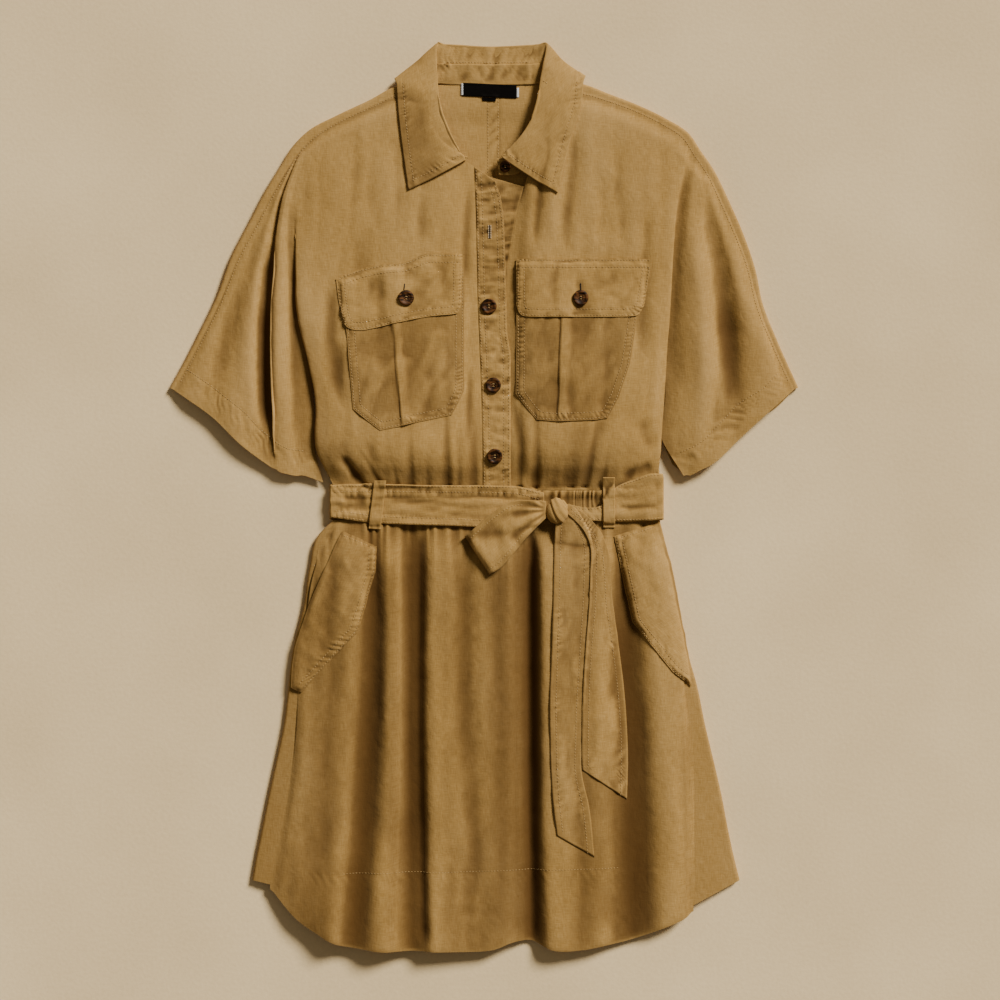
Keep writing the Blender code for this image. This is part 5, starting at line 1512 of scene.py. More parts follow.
@dataclass
class Backs:
    """The two halves of the back: flat on the ground, rolled over the shoulders and sleeve tops."""

    neck_steps: int = 9
    row_steps: tuple = (7, 8, 24, 8, 6, 3, 3)

    def grid(self, lines: tuple, fold: TopFold, hem: tuple) -> tuple[Array, Array]:
        """Outer face of one half: straight lines from the rolled top to the waist or the sleeve hem.

        Args:
            lines: the back's table.
            fold: the top fold of that side.
            hem: the sleeve hem of that side.

        Returns:
            The grid and which of its faces are cloth.
        """
        neck_lines = [line for line in lines if isinstance(line.start, tuple)]
        fold_lines = [line for line in lines if not isinstance(line.start, tuple)]
        shares = fold.shares
        ends = np.array([line.end for line in fold_lines], float)
        ends = np.stack([refined(ends[:, axis], fold.steps) for axis in (0, 1)], axis=1)
        lift = back_lift(*fold.at(shares, 3.0).T)
        radius = (fold.height(shares) - lift) / 2
        roll = [fold.seam(shares)]
        for degrees in ROLL_ANGLES:
            inset = radius * (1 + math.cos(math.radians(degrees)))
            height = lift + radius * (1 + math.sin(math.radians(degrees)))
            roll.append(np.column_stack([fold.at(shares, inset), height]))
        roll = np.array(roll)
        neck_starts = np.array([line.start for line in neck_lines] + [tuple(roll[-1, 0, :2])], float)
        neck_ends = np.array([line.end for line in neck_lines] + [tuple(ends[0])], float)
        neck_starts, neck_ends = (
            np.stack([refined(edge[:, axis], self.neck_steps)[:-1] for axis in (0, 1)], axis=1)
            for edge in (neck_starts, neck_ends)
        )
        starts = np.concatenate([neck_starts, roll[-1, :, :2]])
        stops = np.concatenate([neck_ends, ends])
        rows = refined(BACK_SHARES, self.row_steps)
        share = rows[:, None, None]
        floor = starts[None] * (1 - share) + stops[None] * share
        floor[1:, -1] = through(shares_of_length(hem), np.array(hem, float), rows)[1:]
        heights = back_lift(floor[:, :, 0], floor[:, :, 1])
        floor = np.concatenate([floor, heights[:, :, None]], axis=2)
        neck_roll = np.repeat(floor[:1, :len(neck_starts)], len(roll), axis=0)
        grid = np.concatenate([np.concatenate([neck_roll, roll], axis=1), floor[1:]])
        keep = np.ones((grid.shape[0] - 1, grid.shape[1] - 1), bool)
        keep[:len(roll) - 1, :len(neck_starts)] = False
        return grid, keep

    def down(self, x: float, low: float, high: float = 432.0) -> tuple:
        """A straight path down the back."""
        return (x, high), (x, low)

    def make(self, room: Workroom) -> None:
        """Build both halves, with the double stitching and puckers down the centre back."""
        stitches = StitchWork("stitches_back")
        puckers = (
            Seam(self.down(8.5, 200), pucker=0.75, pitch=9.5, reach=4.2, groove=0.0, seed=21),
            Seam(self.down(2.5, 200), pucker=0.0, groove=0.25),
            Seam(self.down(BACK_SEAM_X, 200), pucker=0.0, groove=0.35),
            Wander(31, 38, 46, 0.0, 0.5),
        )
        for side, lines, fold, hem in (("left", BACK_LEFT, LEFT_FOLD, SLEEVE_HEM_LEFT),
                                       ("right", BACK_RIGHT, RIGHT_FOLD, SLEEVE_HEM_RIGHT)):
            grid, keep = self.grid(lines, fold, hem)
            flat = grid[:, :, 2] < 3.0
            x, y = plan(grid)
            inside = smoothstep((y - 250.0) / 40.0) * flat * smoothstep((428.0 - y) / 6.0)
            bumps = relief(x, y, puckers) * inside
            grid[:, :, 2] += np.maximum(bumps + 0.5, 0.0) * inside
            # painted shade in the hollows of the centre-back puckers, and painted highlight on their tops
            Panel(f"back_bodice_{side}", grid, up=False, up_at=(len(ROLL_ANGLES) + 6, 30), keep=keep,
                  shade=np.clip(-0.8 * bumps, -0.3, 0.9), rests_on=("floor",), seamed=True).build(room)
        for at in (2.5, BACK_SEAM_X - 1.2):
            stitches.add(self.down(at, 335.0, 427.0))
        stitches.build(room)


@dataclass
class Fronts:
    """The two dolman fronts, each cut in one with its half sleeve."""

    puff: float = 4.0
    lower_layer: float = 5.6  # points of the table below this height lie under a fold
    middle_height: float = 8.0  # about which the other heights of the table are stretched
    stretch: float = 1.4
    hem_depth: float = 24.0
    column_parts: int = 4
    row_parts: tuple = (18, 12, 9, 8, 7)
    edges: dict = field(default_factory=dict)

    def gathered(self, grid: Array) -> Array:
        """The grid with the creases that rise from the waist: each a leaning trough with a bell
        section that is steeper on its right, and narrows and fades towards its top.

        Args:
            grid: points [row, column, xyz].

        Returns:
            The creased grid.
        """
        grid = grid.copy()
        x, y = plan(grid)
        above = y - WAIST_TOP
        for gather in GATHERS:
            climb = np.clip(above / gather.reach, 0.0, 1.0)
            off = (x - gather.x - gather.lean * above) / (gather.half_width * (1.0 - 0.55 * climb))
            off = np.where(off > 0, 1.9, 0.75) * off
            fade = smoothstep(above / 4.0) * (1.0 - climb) ** 1.4
            grid[:, :, 2] -= gather.depth * np.exp(-off * off) * fade
        return grid

    def grid(self, lines: tuple, fold: TopFold, corner: float, underarm: float) -> tuple[Array, Array]:
        """Outer face of a front panel, from the placket out to the sleeve's top seam.

        Args:
            lines: the front's table.
            fold: the top fold of that side.
            corner: share of the top seam where the sleeve starts.
            underarm: share of a line below which body side and sleeve are apart.

        Returns:
            The grid and which of its faces are cloth.
        """
        def edge(share: Array) -> Array:
            """The front's edge at shares of the top fold."""
            return fold.seam(share, 0.2 * SEAM_GAP)

        table = []
        for line in lines:
            top = line.top if isinstance(line.top, tuple) else tuple(edge(line.top)[0])
            table.append((top, *line[2:]))
        table.append([tuple(edge(corner + (1.0 - corner) * level)[0]) for level in LEVELS])
        stations = np.array(table, float).transpose(1, 0, 2)
        inner = stations[1:, 1:-1, 2]
        stretched = self.middle_height + self.stretch * (inner - self.middle_height)
        inner[:] = np.where(inner > self.lower_layer, stretched, inner)
        steps = steps_between(stations, FRONT_COLUMN) * self.column_parts
        rows = refined(LEVELS, np.array(FRONT_STEPS) * np.array(self.row_parts))
        grid = self.gathered(loft(stations, LEVELS, steps, rows))
        seam_lines = [index for index, line in enumerate(lines) if not isinstance(line.top, tuple)]
        first = steps[:seam_lines[0]].sum()
        shares = refined([lines[index].top for index in seam_lines] + [corner], steps[seam_lines[0]:])
        grid[0, first:] = edge(shares)
        grid[:, -1] = edge(corner + (1.0 - corner) * rows)
        side_seam = [line.name for line in lines].index("side seam")
        slit = steps[:side_seam].sum()
        coarse = refined(LEVELS, FRONT_STEPS)
        from_row = coarse[coarse >= underarm][0]
        keep = np.ones((grid.shape[0] - 1, grid.shape[1] - 1), bool)
        keep[rows[:-1] >= from_row - 1e-6, slit:slit + self.column_parts] = False
        return grid, keep

    def make(self, room: Workroom) -> None:
        """Build both fronts with their drape, seam puckers and sleeve hems."""
        stitches = StitchWork("stitches_bodice")
        for side, lines, fold, corner, underarm, hem in (
            ("left", FRONT_LEFT, LEFT_FOLD, LEFT_CORNER, LEFT_UNDERARM, SLEEVE_HEM_LEFT),
            ("right", FRONT_RIGHT, RIGHT_FOLD, RIGHT_CORNER, RIGHT_UNDERARM, SLEEVE_HEM_RIGHT),
        ):
            grid, keep = self.grid(lines, fold, corner, underarm)
            x, y = plan(grid)
            turn = fold.turn
            shoulder = fold.seam(np.linspace(0.0, 0.98, 60))[:, :2]
            hem_stitch = offset_path(resampled(hem, 4.0), self.hem_depth * turn)
            parts = (
                Wander(1, 17, 95, 0.05, 0.85), Wander(2, 44, 60, 0.0, 1.0),
                Wander(3, 8, 48, 0.08, 0.30), Wander(4, 7, 9, 0.0, 0.13),
                *(Crease(*row) for row in FRONT_CREASES[side]),
                Seam(shoulder, 0.16, 7.5, 5.0, 3.0 * turn, 0.0, 41),
                Seam(hem_stitch, 0.30, 8.0, 9.0, -8.0 * turn, 0.22, 43),
                Wander(45, 26, 26, 0.0, 0.5),
            )
            grid[:, :, 2] += 2.0 * smoothstep((26.0 - y) / 20.0) * (grid[:, :, 2] > 5.5)
            body = smoothstep((turn * (x - MIDDLE_X) + 200.0) / 12.0)
            puff = puffed(grid, self.puff, 34.0, 26.0)
            puff *= 1.0 - body * smoothstep((34.0 - y) / 28.0)
            from_shoulder, _ = across_of(grid.transpose(1, 0, 2))
            beside_neck = smoothstep((np.abs(x - 2.0) - 60.0) / 16.0)
            puff *= 1.0 - beside_neck * (1.0 - smoothstep(from_shoulder.T / 20.0))
            grid[:, :, 2] += puff
            grid = raised(grid, parts, smoothstep(from_rim(grid, 8.0, 6.0)))
            self.edges[side] = grid[:, 0].copy()
            x, y = plan(grid)
            body = np.abs(x - 9.0) < 172.0
            # painted shade in the folds, under the right collar point and on the lower bodice, and less
            # painted shade on the upper right chest
            shade = painted_shade_along(grid, FRONT_PAINTED_SHADE)
            shade += 0.26 * smoothstep((110.0 - y) / 60.0) * body
            shade -= 0.22 * smoothstep((x - 30.0) / 40.0) * smoothstep((y - 230.0) / 30.0) * body
            Panel(f"front_bodice_{side}", grid, up_at=(40, 16), keep=keep, shade=shade,
                  rests_on=(f"back_bodice_{side}_linen",), seamed=True).build(room)
            stitches.add(offset_path(shoulder, 2.2 * turn))
            stitches.add(hem_stitch, (4.0, 3.0))
        stitches.build(room)


# ---------------------------------------------------------------- skirt
@dataclass
class Skirt:
    """The skirt: a back wrapped forward round both sides, and a gathered front between its seams."""

    back_rows: int = 80
    back_columns: int = 60
    front_rows: int = 184
    front_steps: int = 9
    ridge: float = 13.6  # height of the highest ridges
    ridge_in_table: float = 6.4  # how far over the sides the table has them
    puff: float = 3.4
    swell_reach: float = 60.0
    hem_facing_y: float = -389.0

    def side(self, y: Array, column: int) -> Array:
        """A column of the table of side folds at height y."""
        table = np.array(SKIRT_SIDES, float)[::-1]
        return through(table[:, 0], table[:, column], y)

    def swell(self, run: Array) -> Array:
        """Share of the swelling at a run in from a side fold, a quarter sine."""
        return np.sin(math.pi / 2 * np.clip(run / self.swell_reach, 0.0, 1.0))

    def back_grid(self) -> Array:
        """Outer face of the back: flat on the ground, with a half circle round each side.

        Returns:
            Grid [row, column, xyz], from the left seam to the right one.
        """
        share = np.linspace(0.0, 1.0, self.back_rows + 1)
        side_y = WAIST_BOTTOM - 0.3 + share * (SKIRT_SIDES[-1][0] - WAIST_BOTTOM + 0.3)
        left, left_wrap, right, right_wrap = (self.side(side_y, column) for column in (1, 2, 3, 4))
        lift = back_lift(0.0, side_y)
        radius = (SKIRT_SIDE_HEIGHT - lift) / 2
        rise = self.puff * smoothstep((WAIST_BOTTOM - 4.0 - side_y) / 40.0)

        def rolled(edge: Array, turn: int, drop: float) -> list:
            """Columns round a side fold, from its top to the ground."""
            return [np.column_stack([
                edge + turn * radius * (1 + math.cos(math.radians(degrees))),
                side_y - drop * share * smoothstep((180.0 - degrees) / 90.0),
                lift + radius * (1 + math.sin(math.radians(degrees))),
            ]) for degrees in ROLL_ANGLES]

        def wrapped(x: Array, drop: Array, run: Array) -> Array:
            """A column on the part that is wrapped forward."""
            return np.column_stack([x, side_y - drop, SKIRT_SIDE_HEIGHT + rise * self.swell(run)])

        columns = [wrapped(left + radius * (1 - part) + left_wrap * part,
                           (1.0 + (SIDE_SEAM_DROP_LEFT - 1.0) * part) * share, left_wrap * part)
                   for part in (1.0, 0.75, 0.5, 0.25)]
        columns += rolled(left, 1, 1.0)
        hem = np.array(BACK_HEM)
        for part in np.linspace(0.0, 1.0, self.back_columns + 1)[1:-1]:
            x = (left + radius) * (1 - part) + (right - radius) * part
            hem_y = np.interp(x[-1], hem[:, 0], hem[:, 1])
            y = side_y[0] + share * (hem_y - side_y[0])
            columns.append(np.column_stack([x, y, back_lift(0.0, y)]))
        columns += rolled(right, -1, 2.0)[::-1]
        late = smoothstep((share - 0.5) / 0.5)
        columns += [wrapped(right - radius * (1 - part) - right_wrap * part,
                            2.0 * share * (1 - part) + SIDE_SEAM_DROP_RIGHT * part * late, right_wrap * part)
                    for part in np.linspace(0.0, 1.0, 13)[1:]]
        return np.array(columns).transpose(1, 0, 2)

    def front_grid(self, left_edge: Array, right_edge: Array) -> Array:
        """Outer face of the front, through its ridges and valleys, beside the back's two edges.

        Args:
            left_edge: the back's left edge.
            right_edge: the back's right edge.

        Returns:
            Grid [row, column, xyz].
        """
        def beside(edge: Array, y: Array, turn: int) -> Array:
            """x a closed seam beside an edge."""
            return np.interp(-np.asarray(y), -edge[:, 1], edge[:, 0]) + turn * 0.3 * SEAM_GAP

        def side_line(edge: Array, turn: int, hem: tuple) -> list:
            """Points of a side seam at each level."""
            places = [*zip(beside(edge, SKIRT_LEVEL_Y, turn), SKIRT_LEVEL_Y), hem]
            return [(*place, SKIRT_SIDE_HEIGHT) for place in places]

        table = [side_line(left_edge, 1, FRONT_SIDE_HEM[0])]
        for line in SKIRT_LINES:
            places = (line.waist_x, line.hip_x, line.thigh_x, line.low_x)
            heights = (line.waist_z, line.hip_z, line.thigh_z, line.low_z)
            hem = (line.hem_x, line.hem_y, 0.92 * line.low_z + 0.4)
            table.append([*zip(places, SKIRT_LEVEL_Y, heights), hem])
        table.append(side_line(right_edge, -1, FRONT_SIDE_HEM[1]))
        stations = np.array(table, float).transpose(1, 0, 2)
        rows = np.linspace(0.0, 1.0, self.front_rows + 1) ** 1.08
        grid = loft(stations, SKIRT_LEVELS, self.front_steps, rows)
        above = grid[:, :, 2] - SKIRT_SIDE_HEIGHT
        short = 1.0 - np.clip(above / self.ridge_in_table, 0.0, 1.0)
        ridge = (self.ridge - SKIRT_SIDE_HEIGHT) * (1.0 - short ** 1.6)
        below = smoothstep((WAIST_BOTTOM - 4.0 - grid[:, :, 1]) / 40.0)
        deeper = np.where(above > 0, ridge, 1.2 * above)
        grid[:, :, 2] += (deeper - above) * below
        near, far = across_of(grid)
        y = grid[:, :1, 1]
        swell = self.swell(near + self.side(y, 2)) * self.swell(far + self.side(y, 4))
        grid[:, :, 2] += self.puff * swell * below
        grid[:, 0, 0] = beside(left_edge, grid[:, 0, 1], 1)
        grid[:, -1, 0] = beside(right_edge, grid[:, -1, 1], -1)
        return grid

    def make(self, room: Workroom) -> None:
        """Build back and front, with fine gathers under the waist, soft creases and the hem facing."""
        back = self.back_grid()
        # painted shade on the back, more on the left
        at_left = smoothstep((back[:, :, 0] + 60.0) / -60.0)
        Panel("skirt_back", back, up=False, up_at=(50, 50), rests_on=("floor",), shade=0.22 + 0.12 * at_left,
              seamed=True).build(room)
        grid = self.front_grid(back[:, 0], back[:, -1])
        x, y = plan(grid)
        below = WAIST_BOTTOM - y
        phase = x / 12.0 + 2.2 * Wander(71, 26, 400).at(x, y)
        pleats = np.cos(2 * math.pi * phase) * (0.75 + 0.5 * Wander(72, 30, 500).at(x, y))
        bunch = 0.55 + 0.75 * smoothstep(Wander(78, 40, 900).at(x, y) + 0.5)
        grid[:, :, 2] += 1.5 * bunch * pleats * smoothstep(below / 6.0) * np.exp(-below / 24.0)
        low_left = smoothstep((x + 218.0) / 60.0) * smoothstep((-10.0 - x) / 70.0)
        grid[:, :, 2] += 6.0 * smoothstep((-335.0 - y) / 100.0) * low_left
        facing = np.array([(px, self.hem_facing_y + 0.02 * px) for px in np.arange(-190.0, 200.0, 10.0)])
        column = np.arange(grid.shape[1])
        edge_in = np.minimum(column, column[::-1])[None] / 5.0
        parts = (
            Crease(((-69, -34), (-69, -140), (-67.5, -300), (-64, -470)), 4.5, 1.9, 20),
            Crease(((46.5, -34), (47, -120), (47.5, -300), (50, -470)), 5.0, 2.0, 20),
            Wander(73, 19, 120, -0.06, 0.85), Wander(74, 36, 60, 0.1, 1.2),
            Wander(75, 11, 46, 0.12, 0.40), Wander(76, 8, 10, 0.2, 0.28),
            Seam(facing, 0.22, 8.5, 6.0, -4.0, 0.25, 77),
        )
        grid = raised(grid, parts, smoothstep(edge_in) * smoothstep(below / 10.0))
        # painted shade: darker on the left, where the skirt turns away from the light, and along its folds,
        # eased at both seams to the back's painted shade, with a little random tone
        skirt_painted_shade = 0.50 - 0.16 * smoothstep((x - 50.0) / 110.0) + 0.30 * smoothstep((-70.0 - x) / 70.0)
        near, far = across_of(grid)
        skirt_painted_shade += (0.34 - skirt_painted_shade) * np.exp(-(near / 26.0) ** 2)
        skirt_painted_shade += (0.22 - skirt_painted_shade) * np.exp(-(far / 30.0) ** 2)
        shifted = np.stack([x + 3.5 * Wander(79, 60, 90).at(x, y), y], axis=2)
        skirt_painted_shade += painted_shade_along(shifted, SKIRT_PAINTED_SHADE)
        skirt_painted_shade += 0.16 * Wander(80, 26, 80, -0.05).at(x, y)
        Panel("skirt_front", grid, up_at=(60, 40), held=Held.GATHERED, rests_on=("skirt_back_linen",),
              shade=skirt_painted_shade, seamed=True).build(room)
        stitches = StitchWork("stitches_skirt", radius=0.20)
        stitches.add(facing[4:-5])
        stitches.build(room)


@dataclass
class WaistCasing:
    """The gathered waist casing, in a back and a front half that meet at the sides."""

    ends: tuple = (-155.3, 178.6)

    def make(self, room: Workroom) -> None:
        """Build both halves; the front's gathers are a cosine across whose phase wanders."""
        y_top, y_bottom = WAIST_TOP - 0.2, WAIST_BOTTOM + 0.1
        rows = [(at, y_top, BACK_LIFT_AT_WAIST, at, y_bottom, BACK_LIFT_AT_WAIST)
                for at in (self.ends[0], 0.0, self.ends[1])]
        Panel("waist_casing_back", strip(rows, 8, 40), up=False, rests_on=("belt_back_linen",)).build(room)
        count = 60
        x = np.linspace(*self.ends, count)
        middle = sum(self.ends) / 2
        height = 4.8 + 1.5 * smoothstep((abs(self.ends[1] - middle) - np.abs(x - middle)) / 14.0)
        front = np.column_stack([x, np.full(count, y_top), height, x, np.full(count, y_bottom), height])
        grid = strip(front, 16, 6)
        x, y = plan(grid)
        phase = x / 6.0 + 1.7 * Wander(81, 15, 60).at(x, y)
        middle_in = smoothstep(np.minimum(y_top - y, y - y_bottom) / 3.0)
        top = smoothstep((y + 4.0) / 8.0)
        gathers = np.cos(2 * math.pi * phase) * (middle_in + (1.0 - middle_in) * top)
        grid[:, :, 2] += (0.55 + 0.5 * top) * gathers + 2.4 * top
        # painted shade over the gathered casing front
        Panel("waist_casing_front", grid, up_at=(60, 3), held=Held.GATHERED, shade=0.40,
              rests_on=("waist_casing_back_linen",)).build(room)


# ---------------------------------------------------------------- plackets and collar
@dataclass
class Plackets:
    """The button placket on the left front and the button stand under it on the right front."""

    edge: tuple = ((6, 26.2), (148, 26), (170, 22.4), (230, 21), (286, 19.2), (312, 15.6), (327.5, 10))
    top_slope: float = 15.5
    under_edge: float = 2.0
    under_top_slope: float = 11.0

    def band(self, inner: Array, outer: Array, across: int) -> Array:
        """Band between two edges at even pitch along them.

        Args:
            inner: (x, y, z) of one edge.
            outer: as many points of the other.
            across: parts from edge to edge.

        Returns:
            Grid [row, column, xyz].
        """
        table = np.column_stack([inner, outer])
        knots = shares_of_length(table[:, :2])
        at = np.linspace(0.0, 1.0, 240)
        return between(np.stack([np.interp(at, knots, table[:, axis]) for axis in range(6)], axis=1), across)

    def under(self, room: Workroom, right: Array) -> None:
        """Build the button stand, with cross ripples and one row of stitching pressed in.

        Args:
            room: the workroom.
            right: the right front's placket edge.
        """
        near_top = smoothstep((right[:, 1] - 240.0) / 82.0)
        inner = right - (SEAM_GAP, 0.0, 0.0)
        outer = inner.copy()
        outer[:, 0] = self.under_edge
        outer[:, 1] += self.under_top_slope * near_top
        grid = self.band(outer, inner, 16)
        line = offset_path(resampled(inner[:, :2], 8.0), -2.4)
        ripples = (Wander(91, 16, 6.5, 1.2, 1.8), Wander(92, 6, 6, 0.5, 0.5),
                   Seam(line, 0.3, 7.0, 5.0, 0.0, 0.2, 93))
        at_seam = smoothstep(across_of(grid)[1] / 4.0)
        grid = raised(grid, ripples, at_seam)
        grid[:, :, 2] -= 0.9 * at_seam + 0.1
        # painted shade over the button stand under the placket
        Panel("under_placket", grid, up_at=(100, 8), shade=0.45,
              rests_on=("back_bodice_right_linen",)).build(room)

    def make(self, room: Workroom, edges: dict) -> None:
        """Build both, the button placket with two rows of stitching at each edge.

        Args:
            room: the workroom.
            edges: the fronts' placket edges.
        """
        self.under(room, edges["right"])
        left = edges["left"]
        near_top = smoothstep((left[:, 1] - 250.0) / 93.0)
        inner = left + (SEAM_GAP, 0.0, 0.0)
        outer = inner.copy()
        outer[:, 1] -= self.top_slope * near_top
        outer[:, 0] = np.interp(outer[:, 1], *np.array(self.edge, float).T)
        grid = self.band(inner, outer, 22)
        parts = []
        stitches = StitchWork("stitches_placket")
        for path, turn in ((inner, 1.0), (outer, -1.0)):
            for place, (inset, pucker) in enumerate(((1.9, 0.40), (7.2, 0.20))):
                # The panel's rows run from the neck down, so the placket lies to the left of its seam.
                row = offset_path(resampled(path[:, :2], 6.0), turn * inset)
                parts.append(Seam(row, pucker, 5.6, 3.8, 0.0, 0.2, 95 + place))
                stitches.add(row, (4.0, 4.0))
        at_seam = smoothstep(across_of(grid)[0] / 4.0)
        top = smoothstep((grid[:, :, 1] - 150.0) / 120.0) * at_seam
        grid = raised(grid, (*parts, Wander(97, 13, 5.6, 0.3, 1.15), Wander(99, 6, 6, 0.0, 0.5)), at_seam)
        grid = raised(grid, (Wander(98, 22, 7.0, 1.6, 1.9),), top)
        grid[:, :, 2] += 0.1 + 0.4 * at_seam
        # painted shade, more towards the placket's top
        Panel("button_placket", grid, DOUBLED_WALL, up_at=(100, 8), shade=0.12 + 0.25 * top,
              rests_on=("under_placket_linen",)).build(room)
        stitches.build(room)


NECK_WRINKLES = (Wander(111, 7, 14, 0.3, 1.2), Wander(112, 3.6, 14, 0.35, 0.9),
                 Seam(((-54, 450.4), (2.6, 449.9), (60, 450.4)), 0.50, 5.2, 5.5, 0.0, 0.0, 113))
BACK_STAND_ROW = ((-42.0, 450.6), (-20.0, 450.2), (2.6, 449.9), (25.0, 450.2), (46.0, 450.6))


@dataclass
class Collar:
    """The stand round the neck seam, and the leaf that rolls over it to the two points."""

    along: int = 16
    across: tuple = (11, 12, 29)
    roll_rise: float = 2.6
    neck: tuple = (4.0, 405.0)

    def at_sides(self, grid: Array) -> Array:
        """1 on the fronts of the neck, 0 behind it."""
        return smoothstep((436.0 - grid[:, :, 1]) / 26.0)

    def stand(self, room: Workroom) -> Array:
        """Build the stand.

        Args:
            room: the workroom.

        Returns:
            (x, y) of its neck seam.
        """
        grid = strip(STAND_SECTIONS, 14, 16)
        neck = grid[:, 0, :2]
        sides = self.at_sides(grid)
        share = np.linspace(0.0, 1.0, grid.shape[1])[None]
        wrinkled = relief(*plan(grid), NECK_WRINKLES) * (1.0 - sides) * smoothstep(share / 0.4)
        top_row = Seam(resampled(grid[:, -2, :2], 5.0), 0.35, 8.0, 5.0, 0.0, 0.1, 103)
        grid = raised(grid, (Wander(101, 9, 12, 0.0, 0.80), top_row))
        grid[:, :, 2] += self.roll_rise * sides * share ** 1.3 + wrinkled
        grid[:, :, 2] += (1.0 - sides) * (1.1 * share - 0.7 * (1.0 - share))
        grid[:, :, 1] -= 1.9 * (1.0 - sides) * (1.0 - share)
        Panel("collar_stand", grid, up_at=(40, 7), held=Held.FOLDED,
              rests_on=("back_bodice_left_linen", "back_bodice_right_linen"), turned=True).build(room)
        return neck

    def make(self, room: Workroom) -> None:
        """Build stand and leaf. The leaf is a cubic through four lines: seam, roll, middle, edge."""
        neck = self.stand(room)
        sections = np.array(COLLAR_SECTIONS, float)
        knots = np.arange(len(sections), dtype=float)
        sections = through(knots, sections, refined(knots, self.along))
        grid = through((0.0, 1.0, 2.0, 3.0), sections.transpose(1, 0, 2),
                       refined((0.0, 1.0, 1.7, 3.0), self.across)).transpose(1, 0, 2)
        grid[:, :, 2] = np.maximum(grid[:, :, 2], 0.0)
        x, y = plan(grid)
        z = grid[:, :, 2]
        roll = self.across[0]
        outer_edge, front = grid[:, -1, :2], z[:, -1] > 6.0
        half = len(outer_edge) // 2
        left_edge = resampled(outer_edge[:half][front[:half]], 5.0)
        right_edge = resampled(outer_edge[half:][front[half:]], 5.0)
        stitches = StitchWork("stitches_collar")
        parts = []
        for path, sideways, trim in ((left_edge, -7.0, 7.0), (right_edge, -7.0, 7.0),
                                     (grid[0, roll:, :2], -7.0, 3.0), (grid[-1, roll:, :2], 7.0, 3.0)):
            row = offset_path(resampled(path, 5.0), sideways)
            parts.append(Seam(row, 0.42, 6.0, 4.2, 0.0, 0.22, 105))
            stitches.add(row, (trim, 7.0))
        parts += [Wander(107, 26, 34, 0.3, 1.1), Wander(108, 9, 9, 0.0, 0.22)]
        moved = grid.copy()
        band = np.clip(np.arange(grid.shape[1]) / roll, 0.0, 1.0)[None]
        back = smoothstep((6.0 - z) / 3.0) * smoothstep((470.0 - y) / 4.0) * (y > 449.0)
        moved[:, :, 2] += relief(x, y, NECK_WRINKLES) * back * (band < 1.0)
        lying = room.contour.over(1.6, 4.0).at(x, y) + DOUBLED_WALL + 0.5
        over = smoothstep((band - 0.5) * 2.0) * smoothstep((z - 7.0) / 3.0)
        moved[:, :, 2] = np.maximum(moved[:, :, 2], moved[:, :, 2] + (lying - moved[:, :, 2]) * over)
        moved = raised(moved, parts, smoothstep((z - 3.5) / 3.0))
        past_roll = (np.arange(grid.shape[1])[None] - roll) / (grid.shape[1] - 1.0 - roll)
        fall = np.cos(math.pi / 2 * np.clip(past_roll, 0.0, 1.0)) ** 1.2
        sides = self.at_sides(moved)
        moved[:, :, 2] += self.roll_rise * sides * fall
        at_seam = smoothstep((moved[:, :, 1] - 432.0) / 10.0) * (1.0 - np.clip(band * 3.0, 0.0, 1.0))
        inwards = self.neck - moved[:, :, :2]
        inwards /= np.linalg.norm(inwards, axis=2, keepdims=True)
        moved[:, :, :2] += 2.2 * at_seam[:, :, None] * inwards
        moved[:, :, 2] += 0.7 * at_seam
        # painted shade on the fronts of the leaves: the left leaf darker past its roll, where it falls away
        # from the light, a touch lighter at the roll, and the right leaf a little darker
        left_shade = 0.60 * smoothstep(2.0 * past_roll) - 0.06
        shade = np.where(moved[:, :, 0] < self.neck[0], left_shade, 0.08) * sides
        Panel("collar_leaf", moved, DOUBLED_WALL, up_at=(2 * self.along, 30), held=Held.FOLDED, shade=shade,
              rests_on=("collar_stand_linen",), turned=True).build(room)
        stitches.add(offset_path(BACK_STAND_ROW, 1.4))
        stitches.add(resampled(neck, 6.0)[20:-20])
        stitches.build(room)


@dataclass
class NeckLabels:
    """The woven label on the back neck seam and the small size tab under it, both bare."""

    label: tuple = (((-23.2, 430.7), (32.5, 428)), ((-23.8, 416.9), (32, 414.3)))
    tab: tuple = (((-3.4, 415.4), (10.8, 414.7)), ((-3.2, 411.8), (10.6, 411.2)))
    bars: tuple = ((-24.4, 418.0, 430.0), (33.6, 415.6, 425.0))  # x, lower end, upper end

    def make(self, room: Workroom) -> None:
        """Build label and tab, and the white bar stitches at the label's ends."""
        grid = room.contour.laid(ruled(*self.tab, 6, 18))
        Panel("size_tab", grid, 0.6, Face.UNDER).build(room, room.label, "label", soft=False)
        grid = room.contour.laid(ruled(*self.label, 16, 60))
        grid[:, :, 2] += Wander(121, 18, 30, 0.0, 0.25).at(*plan(grid)) + 0.2
        Panel("neck_label", grid, 0.6, Face.UNDER, rests_on=("collar_stand_linen",),
              with_pieces=("size_tab_linen",)).build(room, room.label, "label")
        bars = StitchWork("stitches_label", pitch=3.0, length=3.0, radius=0.62)
        for x, low, high in self.bars:
            for y in np.arange(low, high, 1.1):
                bars.add(((x - 1.6, y), (x + 1.4, y + 0.3)), (0.0, 0.0))
        bars.build(room, room.white, "label")


# ---------------------------------------------------------------- pockets
class PocketSet(NamedTuple):
    """A chest pocket and its flap: the top and bottom edge of each, and the pocket's pleat line."""

    side: str
    pocket_top: tuple
    pocket_bottom: tuple
    flap_top: tuple
    flap_bottom: tuple
    pleat_top: tuple
    pleat_bottom: tuple


